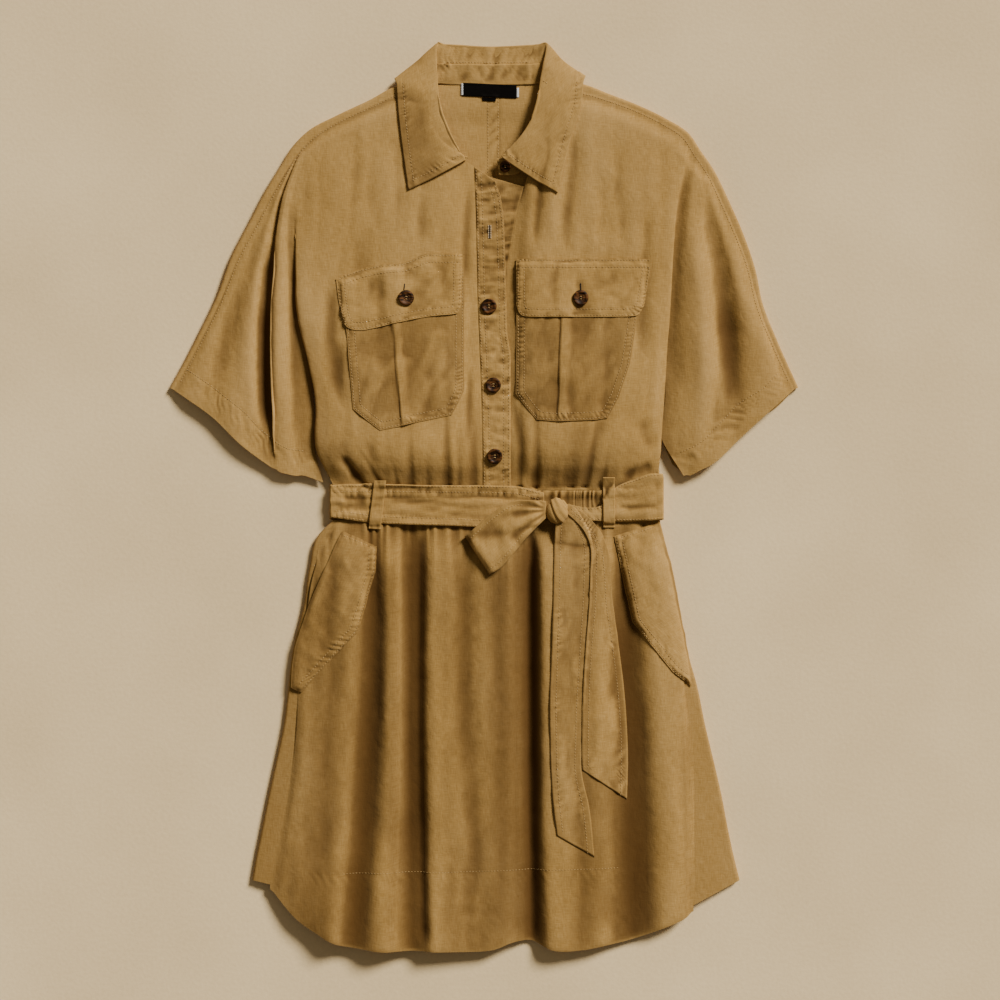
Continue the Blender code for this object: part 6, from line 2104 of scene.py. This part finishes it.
POCKETS = tuple(PocketSet(*row) for row in (
    (
        "left",
        ((-148, 219), (-134, 224), (-120, 229), (-98, 233), (-84, 235), (-44, 245), (-33, 249),
         (-21.8, 250.4)),
        ((-137, 90), (-123, 78.5), (-108.7, 67.6), (-87, 72), (-76, 75), (-34.8, 83.7), (-28.5, 96),
         (-22.4, 109)),
        ((-155, 225), (-150, 227.5), (-143, 230.5), (-131, 235), (-112, 239.3), (-86, 241.5), (-62, 251),
         (-33, 251.2), (-28, 251.2), (-24.4, 251)),
        ((-150.5, 192), (-147.5, 181), (-141, 173.5), (-128.4, 171.6), (-112, 174.5), (-92, 179.3),
         (-60, 185.6), (-33, 188.4), (-27.5, 192), (-25, 200)),
        (-96.5, 180), (-86, 73),
    ),
    (
        "right",
        ((33, 240), (46, 240), (58, 240), (78, 240), (92, 240), (120, 240), (138, 240), (150, 240),
         (166, 240)),
        ((31.7, 106), (42, 92), (52.9, 79), (72.6, 77), (86, 77.4), (112, 78.4), (126.4, 80.5), (138, 102),
         (149.5, 137)),
        ((32.3, 246), (38, 246), (46, 246), (72, 246), (100, 246), (128, 246), (154, 246), (164, 246),
         (173, 246)),
        ((32.3, 198), (36, 189), (45, 186), (72, 185.6), (100, 185.6), (128, 185.6), (150, 186),
         (158.6, 188.5), (165, 198)),
        (79, 187), (74.5, 77),
    ),
))


@dataclass
class ChestPockets:
    """The two chest pockets, each with a pleat, and the flap over its mouth."""

    pleat_rise: float = 1.7
    pleat_width: float = 13.0

    def pocket(self, room: Workroom, index: int, shape: PocketSet) -> None:
        """Build a pocket; its pleat is a step that rises at its line and falls over its width.

        Args:
            room: the workroom.
            index: 0 on the left, 1 on the right.
            shape: the pocket's table.
        """
        top, bottom = shape.pleat_top, shape.pleat_bottom
        grid = room.contour.laid(ruled(shape.pocket_top, shape.pocket_bottom, 110, 13), 4.0, 5.0, 0.05, 7.0)
        share = (grid[:, :, 1] - bottom[1]) / (top[1] - bottom[1])
        past = grid[:, :, 0] - (bottom[0] + share * (top[0] - bottom[0]))
        step = smoothstep((past + 0.6) / 1.2) * smoothstep((self.pleat_width - past) / 9.0)
        grid[:, :, 2] += self.pleat_rise * step * (0.35 + 0.65 * smoothstep(share / 0.10))
        outline = np.array([shape.pocket_top[0], *shape.pocket_bottom, shape.pocket_top[-1]], float)
        rows = [offset_path(outline, distance) for distance in (1.8, 8.2)]
        grid = raised(grid, (
            *(Seam(row, 0.0, 6.2, 4.2, 0.0, 0.2, 131 + index) for row in rows),
            Seam(resampled(offset_path(outline, 5.0), 4.0), 0.50, 4.8, 3.0, 0.0, 0.0, 133 + index),
            Wander(135 + index, 17, 26, 0.3, 1.6), Wander(137, 8, 14, 0.3, 0.60),
        ))
        grid = room.contour.cleared(grid)
        # painted shade over each pocket, a painted shadow along its pleat, and more painted shade on the
        # lower part of the right pocket
        pleat_shade = 0.8 * np.exp(-((past + 0.7) / 0.9) ** 2) * smoothstep(share / 0.05)
        low_shade = index * 0.2 * smoothstep((130.0 - grid[:, :, 1]) / 50.0)
        Panel(f"chest_pocket_{shape.side}", grid, 0.35, Face.UNDER, shade=0.46 + low_shade + pleat_shade,
              rests_on=(f"front_bodice_{shape.side}_linen",), seamed=True).build(room)
        stitches = StitchWork(f"stitches_pocket_{shape.side}")
        for row in rows:
            stitches.add(row, (14.0, 14.0))
        stitches.build(room)

    def flap(self, room: Workroom, index: int, shape: PocketSet) -> None:
        """Build a flap, with two rows of stitching round its free edge and two along its top.

        Args:
            room: the workroom.
            index: 0 on the left, 1 on the right.
            shape: the pocket's table.
        """
        flap = room.contour.laid(ruled(shape.flap_top, shape.flap_bottom, 60, 11, True), 4.8, 7.0, 0.05, 9.0)
        knots = np.arange(len(shape.flap_bottom), dtype=float)
        outline = through(knots, shape.flap_bottom, refined(knots, 4))
        outline = np.array([shape.flap_top[0], *outline, shape.flap_top[-1]], float)
        rows = []
        seams = []
        for place, (path, distance, pucker, middle, trim) in enumerate((
            (outline, 1.6, 0.42, 0.0, 9.0), (outline, 8.0, 0.22, 0.0, 9.0),
            (shape.flap_top, -1.8, 0.42, 2.6, 2.0), (shape.flap_top, -9.0, 0.22, 0.0, 2.0),
        )):
            rows.append((offset_path(path, distance), (trim, trim)))
            seams.append(Seam(rows[-1][0], pucker, 4.8, 3.4, middle, 0.2, 141 + place))
        flap = raised(flap, (*seams, Wander(145 + index, 20, 24, 0.0, 1.2), Wander(147, 8, 10, 0.3, 0.45)))
        down = np.linspace(0.0, 1.0, flap.shape[0])[:, None]
        flap[:, :, 2] += 0.1 + 0.5 * smoothstep((down - 0.35) / 0.65)
        flap = room.contour.cleared(flap)
        # a little painted shade on the flap
        Panel(f"chest_flap_{shape.side}", flap, 0.6, Face.UNDER, shade=0.06,
              rests_on=(f"chest_pocket_{shape.side}_linen",), seamed=True).build(room)
        stitches = StitchWork(f"stitches_flap_{shape.side}")
        for row, trim in rows:
            stitches.add(row, trim)
        stitches.build(room)

    def make(self, room: Workroom) -> None:
        """Build both sides, each flap over its pocket."""
        for index, shape in enumerate(POCKETS):
            self.pocket(room, index, shape)
            self.flap(room, index, shape)


HIP_FLAPS = (
    # side, edge along the pocket mouth, free edge; each from the waist down
    ("left",
     ((-149, -37), (-161, -63), (-173, -90), (-185, -118), (-192, -138), (-198, -157), (-201, -176),
      (-202, -199)),
     ((-113, -52), (-114, -77), (-120, -98), (-126.5, -120), (-133, -141), (-148, -157), (-163, -173),
      (-191, -204))),
    ("right",
     ((134, -42), (138, -62), (143, -86), (148, -108), (153, -131), (173.5, -156.5), (194, -182),
      (214, -197.5)),
     ((180, -28), (186, -47), (191.5, -68), (196, -88), (200, -108), (205, -130), (211, -165),
      (214.4, -196.5))),
)


@dataclass
class HipFlaps:
    """The pointed flaps over the slanted hip pockets."""

    stitch_inset: float = 7.5
    # painted shade of each flap, more on the left one
    shades: tuple = (0.56, 0.16)

    def make(self, room: Workroom) -> None:
        """Build both: straight lines between the mouth's edge and the free edge, laid on the skirt."""
        stitches = StitchWork("stitches_hip_flaps")
        for index, (side, mouth, free) in enumerate(HIP_FLAPS):
            grid = room.contour.laid(ruled(mouth, free, 40, 18), 6.4, 14.0, 0.1, 4.0)
            inner, turn = (free, -1.0) if side == "left" else (mouth, 1.0)
            rows = [offset_path(inner, turn * distance) for distance in (1.7, self.stitch_inset)]
            rows.append(offset_path((mouth[0], free[0]), -3.0))
            grid = raised(grid, (
                *(Seam(row, 0.34, 5.6, 3.6, 0.0, 0.2, 151 + index) for row in rows),
                Wander(155 + index, 20, 34, 0.4, 1.2), Wander(157, 9, 12, -0.4, 0.5),
            ))
            grid[:, :, 2] += 0.3
            grid = room.contour.cleared(grid)
            Panel(f"hip_flap_{side}", grid, 0.8, Face.UNDER, rests_on=("skirt_front_linen",), turned=True,
                  shade=self.shades[index], seamed=True).build(room)
            for row in rows:
                stitches.add(row, (3.0, 5.0))
        stitches.build(room)


# ---------------------------------------------------------------- sash
BELT_WRAP = (
    # x, z, top edge y, bottom edge y
    (-148.5, 6.6, BELT_TOP, -23.5), (-156.5, 7.6, BELT_TOP, -23), (-161, 6.6, BELT_TOP, -23),
    (-162.4, 4.5, BELT_TOP, -23.5), (-161.2, 1.6, BELT_TOP, -24.5), (-157, 0, BELT_TOP, -26),
    (-140, 0, BELT_TOP, BELT_BOTTOM), (-70, 0, BELT_TOP, BELT_BOTTOM), (10, 0, BELT_TOP, BELT_BOTTOM),
    (90, 0, BELT_TOP, BELT_BOTTOM), (160, 0, BELT_TOP, BELT_BOTTOM), (180, 0, 12.5, -26),
    (184.4, 1.8, 15, -25), (185.6, 5.4, 19, -24.5), (184.4, 8, 22, -24.5), (179.6, 9.4, 23.2, -25),
    (172.5, 8.6, 23, -25.5),
)
BELT_LEFT = (
    # upper edge x, y, z, then lower edge; so in the tables that follow
    (-161, 11.2, 8.6, -161, -22.2, 8.6), (-149, BELT_TOP, 9.4, -149, -23.8, 9.4),
    (-126, 12.2, 8, -126, -27, 8), (-102, 12.3, 8.2, -102, -29, 8.2), (-66, 11.8, 8.4, -66, -30.5, 8.4),
    (-29, 11.5, 8.6, -29, -31.5, 8.6), (10, 11, 9, 10, -33, 9), (36, 9.6, 9.6, 36, -30, 9.6),
    (61, 3, 11, 61, -25, 11),
)
BELT_RIGHT = (
    (84.6, -8, 10.5, 84.6, -24, 10.5), (105, -12, 9, 105, -25, 9), (121, -9, 8.6, 121, -26, 8.6),
    (134, 8, 9.2, 134, -26.5, 8.6), (155, 17.5, 9.8, 155, -26.3, 8.8), (173, 23.5, 11.2, 173, -25.5, 11.2),
    (184, 23, 10.2, 184, -24.2, 10.2),
)
BOW_SECTIONS = (
    # from the knot out on top and back underneath
    (62.8, -5.5, 17.6, 62.6, -23, 17.6), (47, -4.5, 20.4, 49, -36.5, 20.4), (28.6, -5, 21.9, 40, -46, 21.4),
    (8, -17, 21.4, 27, -62, 20.4), (-10, -32, 19.4, 15, -74.5, 18.4), (-19.5, -40.5, 17.3, 6.5, -80, 16.3),
    (-21.6, -41.8, 15.1, 4.2, -81.2, 14.3), (-19.5, -40.5, 12.8, 6.5, -79.5, 12.3),
    (-8, -31, 11.8, 16, -73, 11.8), (10, -17, 11.7, 28, -60, 11.8), (30, -8, 12.3, 41, -45, 12.4),
    (47, -7, 12.9, 50, -34, 12.9), (62.4, -8, 13.2, 62.4, -22, 13.2),
)
LONG_TAIL = (
    (78, -10, 15, 87, -8, 14), (74, -20, 15.6, 95, -18, 14), (72.5, -31, 14.5, 102, -29.5, 13),
    (71.5, -49, 12.5, 109, -49, 12.5), (70.4, -80, 0, 109, -80, 0), (70, -108, 0, 108, -108, 0),
    (69, -140, 0, 106, -140, 0), (68, -173, 0, 104, -173, 0), (66.6, -219, 0, 101, -219, 0),
    (67, -250, 0, 100, -252, 0), (67.5, -276, 0, 99.5, -283, 0), (70, -318, 0, 108, -325, 0),
    (74, -351.5, 0, 113, -374, 0),
)
SHORT_TAIL = (
    (82, -16, 15, 90, -10.5, 14), (90, -23, 14.5, 102, -18, 13), (98, -31, 13, 112, -27, 11),
    (104, -40, 11, 120, -38, 0), (108.5, -52, 0, 126, -52, 0), (108.4, -80, 0, 130, -80, 0),
    (107.6, -108, 0, 131.6, -108, 0), (104.5, -146, 0, 137, -146, 0), (101, -200, 0, 144, -200, 0),
    (100, -240, 0, 147, -240, 0), (100, -270, 0, 148, -276, 0), (100.5, -283.5, 0, 147, -315, 0),
)
BELT_CREASES = (
    # path, half width, depth, fade
    (((-150, -5), (-138, -2), (-122, -6)), 6, 2.0, 8), (((136, -11), (150, -11.5), (180, -11)), 2.5, 1.2, 8),
)
BELT_PAINTED_SHADE = (
    # painted shade in the belt's creases and hollows: path, half width, extra painted shade, fade
    (((-152, -6), (-138, -2), (-120, -5)), 8, 0.55, 6), (((-112, 6), (-50, 4), (20, 5)), 5, 0.34, 20),
    (((-20, -22), (10, -26)), 6, 0.42, 8), (((-104, -2), (-74, -7), (-48, -14)), 4, 0.30, 10),
    (((92, -6), (118, -10)), 6, 0.55, 6), (((136, 4), (150, 6)), 7, 0.30, 8),
)
BOW_CREASES = (
    (((46, -15), (36, -17), (24, -21)), 5, 1.0, 8), (((50, -27), (34, -38), (22, -50)), 3.5, 1.0, 10),
    (((20, -30), (4, -40), (-8, -46)), 6, 0.6, 10), (((48, -30), (30, -36), (14, -46)), 8, -0.8, 12),
)
BOW_PAINTED_SHADE = (
    # painted shade in the loop's hollows: path, half width, extra painted shade, fade
    (((50, -14.5), (38, -17), (24, -21)), 5, 0.35, 8), (((60, -20), (44, -28), (34, -34)), 3, 0.40, 8),
    (((18, -30), (2, -41), (-8, -46)), 6, 0.08, 8), (((44, -38), (28, -56), (14, -70)), 4, 0.22, 8),
)


@dataclass
class Sash:
    """The tied sash: round the back and both sides, two front stretches, knot, loop and tails."""

    knot_centre: tuple = (74.5, -15.5, 15.8)
    knot_radii: tuple = (11.6, 13.8, 7.8)
    knot_turns: int = 72
    knot_rings: int = 47
    bow_steps: int = 14  # rows for each stretch of the bow's table
    bow_top: int = 6  # stretches of it on top

    def edged(self, grid: Array, insets: tuple, seed: int, pucker: float, stitches: StitchWork) -> Array:
        """The band with its edge stitching pressed in, and the stitches added.

        Args:
            grid: the band, its rows along it.
            insets: distances of the stitch rows from each long edge.
            seed: start of its random numbers.
            pucker: height of the puckers.
            stitches: what takes the rows of stitches.

        Returns:
            The band with relief.
        """
        seams = []
        middle = resampled(grid[:, grid.shape[1] // 2, :2], 6.0)
        for column in (0, -1):
            edge = resampled(grid[:, column, :2], 6.0)
            away, _ = beside_path(middle[:1, 0], middle[:1, 1], edge)
            turn = 1.0 if away[0] > 0 else -1.0
            for place, distance in enumerate(insets):
                row = offset_path(edge, turn * distance)
                seams.append(Seam(row, pucker, 5.8, 3.8, 0.0, 0.2, seed + place))
                stitches.add(row, (3.0, 3.0))
        return raised(grid, seams)

    def knot(self, room: Workroom) -> None:
        """The knot: an ellipsoid with the winding creases of the sash drawn across it."""
        around, down = np.meshgrid(np.linspace(0.0, 2 * math.pi, self.knot_turns, endpoint=False),
                                   np.linspace(0.0, math.pi, self.knot_rings + 2)[1:-1])
        unit = np.stack([np.sin(down) * np.cos(around), np.sin(down) * np.sin(around), np.cos(down)], axis=2)
        wind = 2.5 * (0.80 * unit[:, :, 0] + 0.50 * unit[:, :, 1]) + 0.9 * unit[:, :, 0] * unit[:, :, 1]
        crease = 1.0 - 0.13 * np.exp(-((np.sin(wind + 0.9) / 0.22) ** 2)) - 0.030 * np.sin(4.3 * wind + 1.0)
        body = np.array(self.knot_centre) + unit * np.array(self.knot_radii) * crease[:, :, None]
        poles = np.array(self.knot_centre) + np.array(((0, 0, 1.0), (0, 0, -1.0))) * self.knot_radii[2] * 0.98
        points = np.concatenate([body.reshape(-1, 3), poles])
        faces = turned_faces(self.knot_rings, self.knot_turns)
        obj = mesh_object("belt_knot_linen", points, faces, room.linen)
        slanted = np.column_stack([points[:, 0] - points[:, 1], points[:, 0] + points[:, 1]])
        lay_out(obj, slanted * 0.7 * MM, faces)
        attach(obj, "root")
        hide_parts("belt_knot")
        LOG.info("%s: %d points", obj.name, len(points))

    def front(self, room: Workroom, name: str, table: tuple, seed: int, insets: tuple) -> None:
        """Build a front stretch of the belt.

        Args:
            room: the workroom.
            name: its node.
            table: its sections.
            seed: start of its random numbers.
            insets: distances of its stitch rows from each edge.
        """
        grid = room.contour.laid(strip(table, 26, 18), 1.6, 4.0)
        stitches = StitchWork(f"stitches_{name}")
        grid = self.edged(grid, insets, seed, 0.2, stitches)
        grid = raised(grid, (
            Wander(seed + 3, 46, 10, -0.6, 1.7), Wander(seed + 4, 12, 8, 0.4, 0.65),
            Wander(seed + 5, 70, 6.5, 0.08, 1.1), *(Crease(*row) for row in BELT_CREASES),
        ))
        grid[:, :, 2] += 0.35
        # painted shade along the belt's creases and hollows, and a touch of painted highlight elsewhere
        shade = painted_shade_along(grid, BELT_PAINTED_SHADE) - 0.05
        Panel(name, room.contour.cleared(grid), SASH_WALL, Face.UNDER, up_at=(40, 13),
              rests_on=("waist_casing_front_linen",), shade=shade, turned=True).build(room)
        stitches.build(room)

    def bow(self, room: Workroom) -> None:
        """Build the loop: pleats fan out from the knot, and its upper layer is creased."""
        grid = strip(BOW_SECTIONS, 26, self.bow_steps)
        x, y = plan(grid)
        top_side = np.arange(grid.shape[0])[:, None] < self.bow_top * self.bow_steps
        near_knot = np.exp(-np.hypot(x - 66, y + 14) / 26.0)
        bearing = np.arctan2(y + 14.0, 68.0 - x)
        pleats = 1.9 * np.cos(bearing / 0.062 + 0.6 * np.sin(bearing * 9.0)) * near_knot * top_side
        creases = (Wander(171, 16, 16, 0.5, 0.9), *(Crease(*row) for row in BOW_CREASES))
        bumps = relief(x, y, creases) * top_side
        below = room.contour.over(4.0, 8.0).at(x, y)
        grid[:, :, 2] += (pleats + bumps + np.maximum(below - 10.2, 0.0)) * smoothstep((62.0 - x) / 10.0)
        # painted shade along the loop's hollows and over the whole loop
        Panel("belt_bow_loop", grid, SASH_WALL, up_at=(50, 12), held=Held.FOLDED,
              rests_on=("belt_front_left_linen",), shade=painted_shade_along(grid, BOW_PAINTED_SHADE) + 0.20, turned=True,
              with_pieces=("belt_knot_linen",)).build(room)
        stitches = StitchWork("stitches_bow")
        for column, sideways in ((0, 5.0), (-1, -5.0)):
            stitches.add(offset_path(resampled(grid[18:78, column, :2], 5.0), sideways), (3.0, 2.0))
        stitches.build(room)

    def tail(self, room: Workroom, name: str, table: tuple, seed: int, below: str) -> None:
        """Build a hanging end of the sash.

        Args:
            room: the workroom.
            name: its node.
            table: its sections.
            seed: start of its random numbers.
            below: the piece that it lies on.
        """
        grid = room.contour.laid(strip(table, 22, 20), 1.6, 9.0, 0.1, 9.0)
        stitches = StitchWork(f"stitches_{name}")
        grid = self.edged(grid, (6.6,), seed, 0.60, stitches)
        grid = raised(grid, (Wander(seed + 3, 13, 46, 0.05, 1.5), Wander(seed + 4, 9, 12, 0.5, 0.55)))
        grid[:, :, 2] += 0.1
        # painted shade over the whole tail
        Panel(name, room.contour.cleared(grid), 0.7, Face.UNDER, rests_on=(below,), shade=0.36).build(room)
        stitches.build(room)

    def make(self, room: Workroom) -> None:
        """Build the belt's stretches, then knot, loop and tails, each over what it lies on."""
        grid = strip([(x, top, z, x, bottom, z) for x, z, top, bottom in BELT_WRAP], 20, 9)
        grid[:, :, 2] = np.maximum(grid[:, :, 2], 0.0)
        Panel("belt_back", grid, SASH_WALL, up=False, up_at=(72, 10), rests_on=("floor",),
              turned=True).build(room)
        self.front(room, "belt_front_left", BELT_LEFT, 161, (1.8, 7.6))
        self.front(room, "belt_front_right", BELT_RIGHT, 165, (1.8,))
        self.knot(room)
        self.bow(room)
        self.tail(room, "belt_tail_long", LONG_TAIL, 175, "skirt_front_linen")
        self.tail(room, "belt_tail_short", SHORT_TAIL, 181, "belt_tail_long_linen")


BELT_CARRIERS = (
    ("left", ((-115.6, 16), (-103, 16)), ((-121.8, -34), (-109, -35))),
    ("right", ((121.8, 19.5), (134, 19.5)), ((122.4, -33), (134.6, -33))),
)


@dataclass
class BeltCarriers:
    """The two loops of cloth that hold the belt at the waist."""

    def make(self, room: Workroom) -> None:
        """Build both: a straight band laid over the belt."""
        for index, (side, top, bottom) in enumerate(BELT_CARRIERS):
            grid = room.contour.laid(ruled(top, bottom, 60, 14), 1.6, 1.6)
            grid = raised(grid, (Wander(191 + index, 9, 14, 0.0, 0.3),))
            grid[:, :, 2] += 0.2
            Panel(f"belt_carrier_{side}", grid, 1.0, Face.UNDER,
                  rests_on=(f"belt_front_{side}_linen",)).build(room)


# ---------------------------------------------------------------- buttons
class Button(NamedTuple):
    """A button: its CAD node, place and width."""

    node: str
    x: float
    y: float
    diameter: float


BUTTONS = (
    Button("placket_button_1", 3.6, 197, 16.0), Button("placket_button_2", 8.1, 115, 16.0),
    Button("placket_button_3", 9.6, 41, 16.0), Button("pocket_button_left", -82, 205, 16.0),
    Button("pocket_button_right", 98.7, 205.2, 16.0), Button("neck_button", 20.5, 342, 11.5),
)


@dataclass
class Buttonholes:
    """Worked buttonholes: a dark slit, between two close rows of pale thread where it shows whole."""

    holes: tuple = (((4.3, 281.5), (4.3, 267.5)), ((-84.2, 213.6), (-83.6, 219.5)),
                    ((98.9, 213.8), (98.7, 220.4)))
    whole: float = 10.0  # a shorter one is partly under its button

    def make(self, room: Workroom) -> None:
        """Build the slits as dark stitches, and a row of pale ones on both sides of the whole one."""
        slits = StitchWork("buttonhole_slits", pitch=2.3, length=3.0, radius=0.60)
        edges = StitchWork("buttonhole_edges", pitch=2.3, length=3.0, radius=0.50)
        for path in self.holes:
            length = math.dist(*path)
            slits.add(resampled(path, length / 3), (0.0, 0.0))
            for sideways in (-1.2, 1.2) if length > self.whole else ():
                edges.add(offset_path(path, sideways), (0.0, 0.0))
        # painted shadow: each slit is a row of dark stitches standing for the shade inside the opening
        shadow = SewingThread("slit_shadow", (0.015, 0.008, 0.003), (0.030, 0.015, 0.006))
        slits.build(room, shadow.material())
        pale = SewingThread("buttonhole_thread", (0.44, 0.32, 0.18), (0.60, 0.46, 0.29))
        edges.build(room, pale.material())


@dataclass
class HornButtons:
    """Turned horn buttons with a raised rim and four holes, and the thread that crosses between them."""

    profile: tuple = ((0.0, 0.15), (0.35, 0.155), (0.58, 0.20), (0.72, 0.285), (0.86, 0.30), (0.96, 0.25),
                      (1.0, 0.17), (0.99, 0.09), (0.93, 0.02), (0.80, 0.0), (0.0, 0.0))
    turns: int = 56
    hole_radius: float = 0.115
    hole_offset: float = 0.155
    hole_depth: float = 0.13
    rest_at: float = 0.85  # share of the radius at which it rests on the cloth
    reach: float = 5.0  # over which the slope of the cloth is taken

    def shape(self) -> Array:
        """One button of radius 1: its profile turned round, with four round pits sunk into its face.

        Returns:
            Points [ring, turn, xyz].
        """
        profile = np.array(self.profile)
        knots = shares_of_length(profile)
        rings = np.concatenate([np.linspace(0.012, knots[2], 20, endpoint=False),
                                np.linspace(knots[2], 0.985, 26)])
        out, height = through(knots, profile, rings).T
        face = (rings < knots[4]) & (height > 0.1)
        turn = np.linspace(0.0, 2 * math.pi, self.turns, endpoint=False)
        x, y = out[:, None] * np.cos(turn), out[:, None] * np.sin(turn)
        z = np.repeat(height[:, None], self.turns, axis=1)
        for across, up in ((1, 1), (1, -1), (-1, 1), (-1, -1)):
            away = np.hypot(x - across * self.hole_offset, y - up * self.hole_offset)
            z = z - self.hole_depth * smoothstep((self.hole_radius + 0.03 - away) / 0.06) * face[:, None]
        return np.stack([x, y, z], axis=2)

    def make(self, room: Workroom) -> None:
        """Build each button, tilted with the cloth below it and resting on its highest points."""
        shape = self.shape()
        turn = np.linspace(0.0, 2 * math.pi, self.turns, endpoint=False)
        faces = turned_faces(*shape.shape[:2])
        soft = room.contour.over(1.6, 5.0)
        for button in BUTTONS:
            radius = button.diameter / 2
            ahead, back = (soft.at(button.x + np.array((way, 0.0)), button.y + np.array((0.0, way)))
                           for way in (self.reach, -self.reach))
            slope = (ahead - back) / (2 * self.reach)
            rim = self.rest_at * radius * np.stack([np.cos(turn), np.sin(turn)], axis=1)
            around = room.contour.at(button.x + rim[:, 0], button.y + rim[:, 1])
            base = float((around - rim @ slope).max()) + LIE_GAP
            points = shape * radius
            points[:, :, 2] += base + points[:, :, :2] @ slope
            points[:, :, :2] += (button.x, button.y)
            poles = [(button.x, button.y, base + self.profile[0][1] * radius), (button.x, button.y, base)]
            points = np.concatenate([points.reshape(-1, 3), poles])
            obj = mesh_object(f"{button.node}_horn", points, faces, room.horn)
            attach(obj, "root")
            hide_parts(button.node)
            LOG.info("%s: %d faces", obj.name, len(faces))
            self.thread(room, button, base)

    def thread(self, room: Workroom, button: Button, base: float) -> None:
        """Two strands of thread from hole to hole.

        Args:
            room: the workroom.
            button: the button.
            base: height of its underside.
        """
        radius = button.diameter / 2
        off = self.hole_offset * radius
        work = StitchWork(f"{button.node}_thread", pitch=2.6 * off, length=2.5 * off, radius=0.3)
        height = base + 0.165 * radius
        for y in (button.y - off, button.y + off):
            work.add(((button.x - 1.3 * off, y, height), (button.x + 1.3 * off, y, height)), (0.0, 0.0))
        work.build(room)


# ---------------------------------------------------------------- studio
@dataclass
class Studio:
    """Plain floor, soft light from the upper right, and a camera straight above."""

    centre: tuple = (0.0166, -0.0042)
    height: float = 2.2
    view_height: float = 0.008  # of the plane that the view is measured in
    view_width: float = 1.04
    azimuth: float = 47.0
    elevation: float = 32.0
    softness: float = 17.0
    power: float = 5.3
    floor_half: float = 4.0
    floor_height: float = -0.0003
    sensor: float = 36.0

    def add(self, name: str, data: bpy.types.ID, place: tuple = (0.0, 0.0, 0.0)) -> bpy.types.Object:
        """An object of the studio, linked to the scene."""
        obj = bpy.data.objects.new(name, data)
        obj.location = place
        bpy.context.scene.collection.objects.link(obj)
        return obj

    def make(self) -> None:
        """Build floor, lights, world and camera."""
        floor = bpy.data.meshes.new("floor")
        corners = [(x * self.floor_half, y * self.floor_half, self.floor_height)
                   for x, y in ((-1, -1), (1, -1), (1, 1), (-1, 1))]
        floor.from_pydata(corners, [], [(0, 1, 2, 3)])
        floor.materials.append(Plaster().material())
        self.add("floor", floor)
        self.key()
        world = bpy.data.worlds.new("soft_room")
        world.use_nodes = True
        background = world.node_tree.nodes["Background"]
        background.inputs["Color"].default_value = (1.0, 0.90, 0.74, 1.0)
        background.inputs["Strength"].default_value = 0.15
        bpy.context.scene.world = world
        camera = bpy.data.cameras.new("camera")
        camera.sensor_width = self.sensor
        camera.lens = self.sensor * (self.height - self.view_height) / self.view_width
        camera.clip_start = 0.05
        camera.clip_end = 50.0
        bpy.context.scene.camera = self.add("camera", camera, (*self.centre, self.height))

    def key(self) -> None:
        """The soft key light: a wide distant lamp from the upper right, low enough to model the folds."""
        light = bpy.data.lights.new("key", "SUN")
        light.energy = self.power
        light.angle = math.radians(self.softness)
        light.color = (1.0, 0.965, 0.90)
        obj = self.add("key", light, (1.5, 1.5, 1.5))
        obj.rotation_euler = (math.radians(90.0 - self.elevation), 0.0, math.radians(self.azimuth + 90.0))


# ---------------------------------------------------------------- the dress
def main() -> None:
    """Build the dress from the cloth on the ground up to what lies on top of it, then the studio."""
    logging.basicConfig(level=logging.INFO, format="%(name)s: %(message)s")
    room = Workroom.opened()
    Backs().make(room)
    Skirt().make(room)
    fronts = Fronts()
    fronts.make(room)
    WaistCasing().make(room)
    Plackets().make(room, fronts.edges)
    for maker in (Collar, NeckLabels, ChestPockets, HipFlaps, Sash, BeltCarriers, Buttonholes, HornButtons):
        maker().make(room)
    Studio().make()
    bpy.context.view_layer.update()


if __name__ == "__main__":
    main()
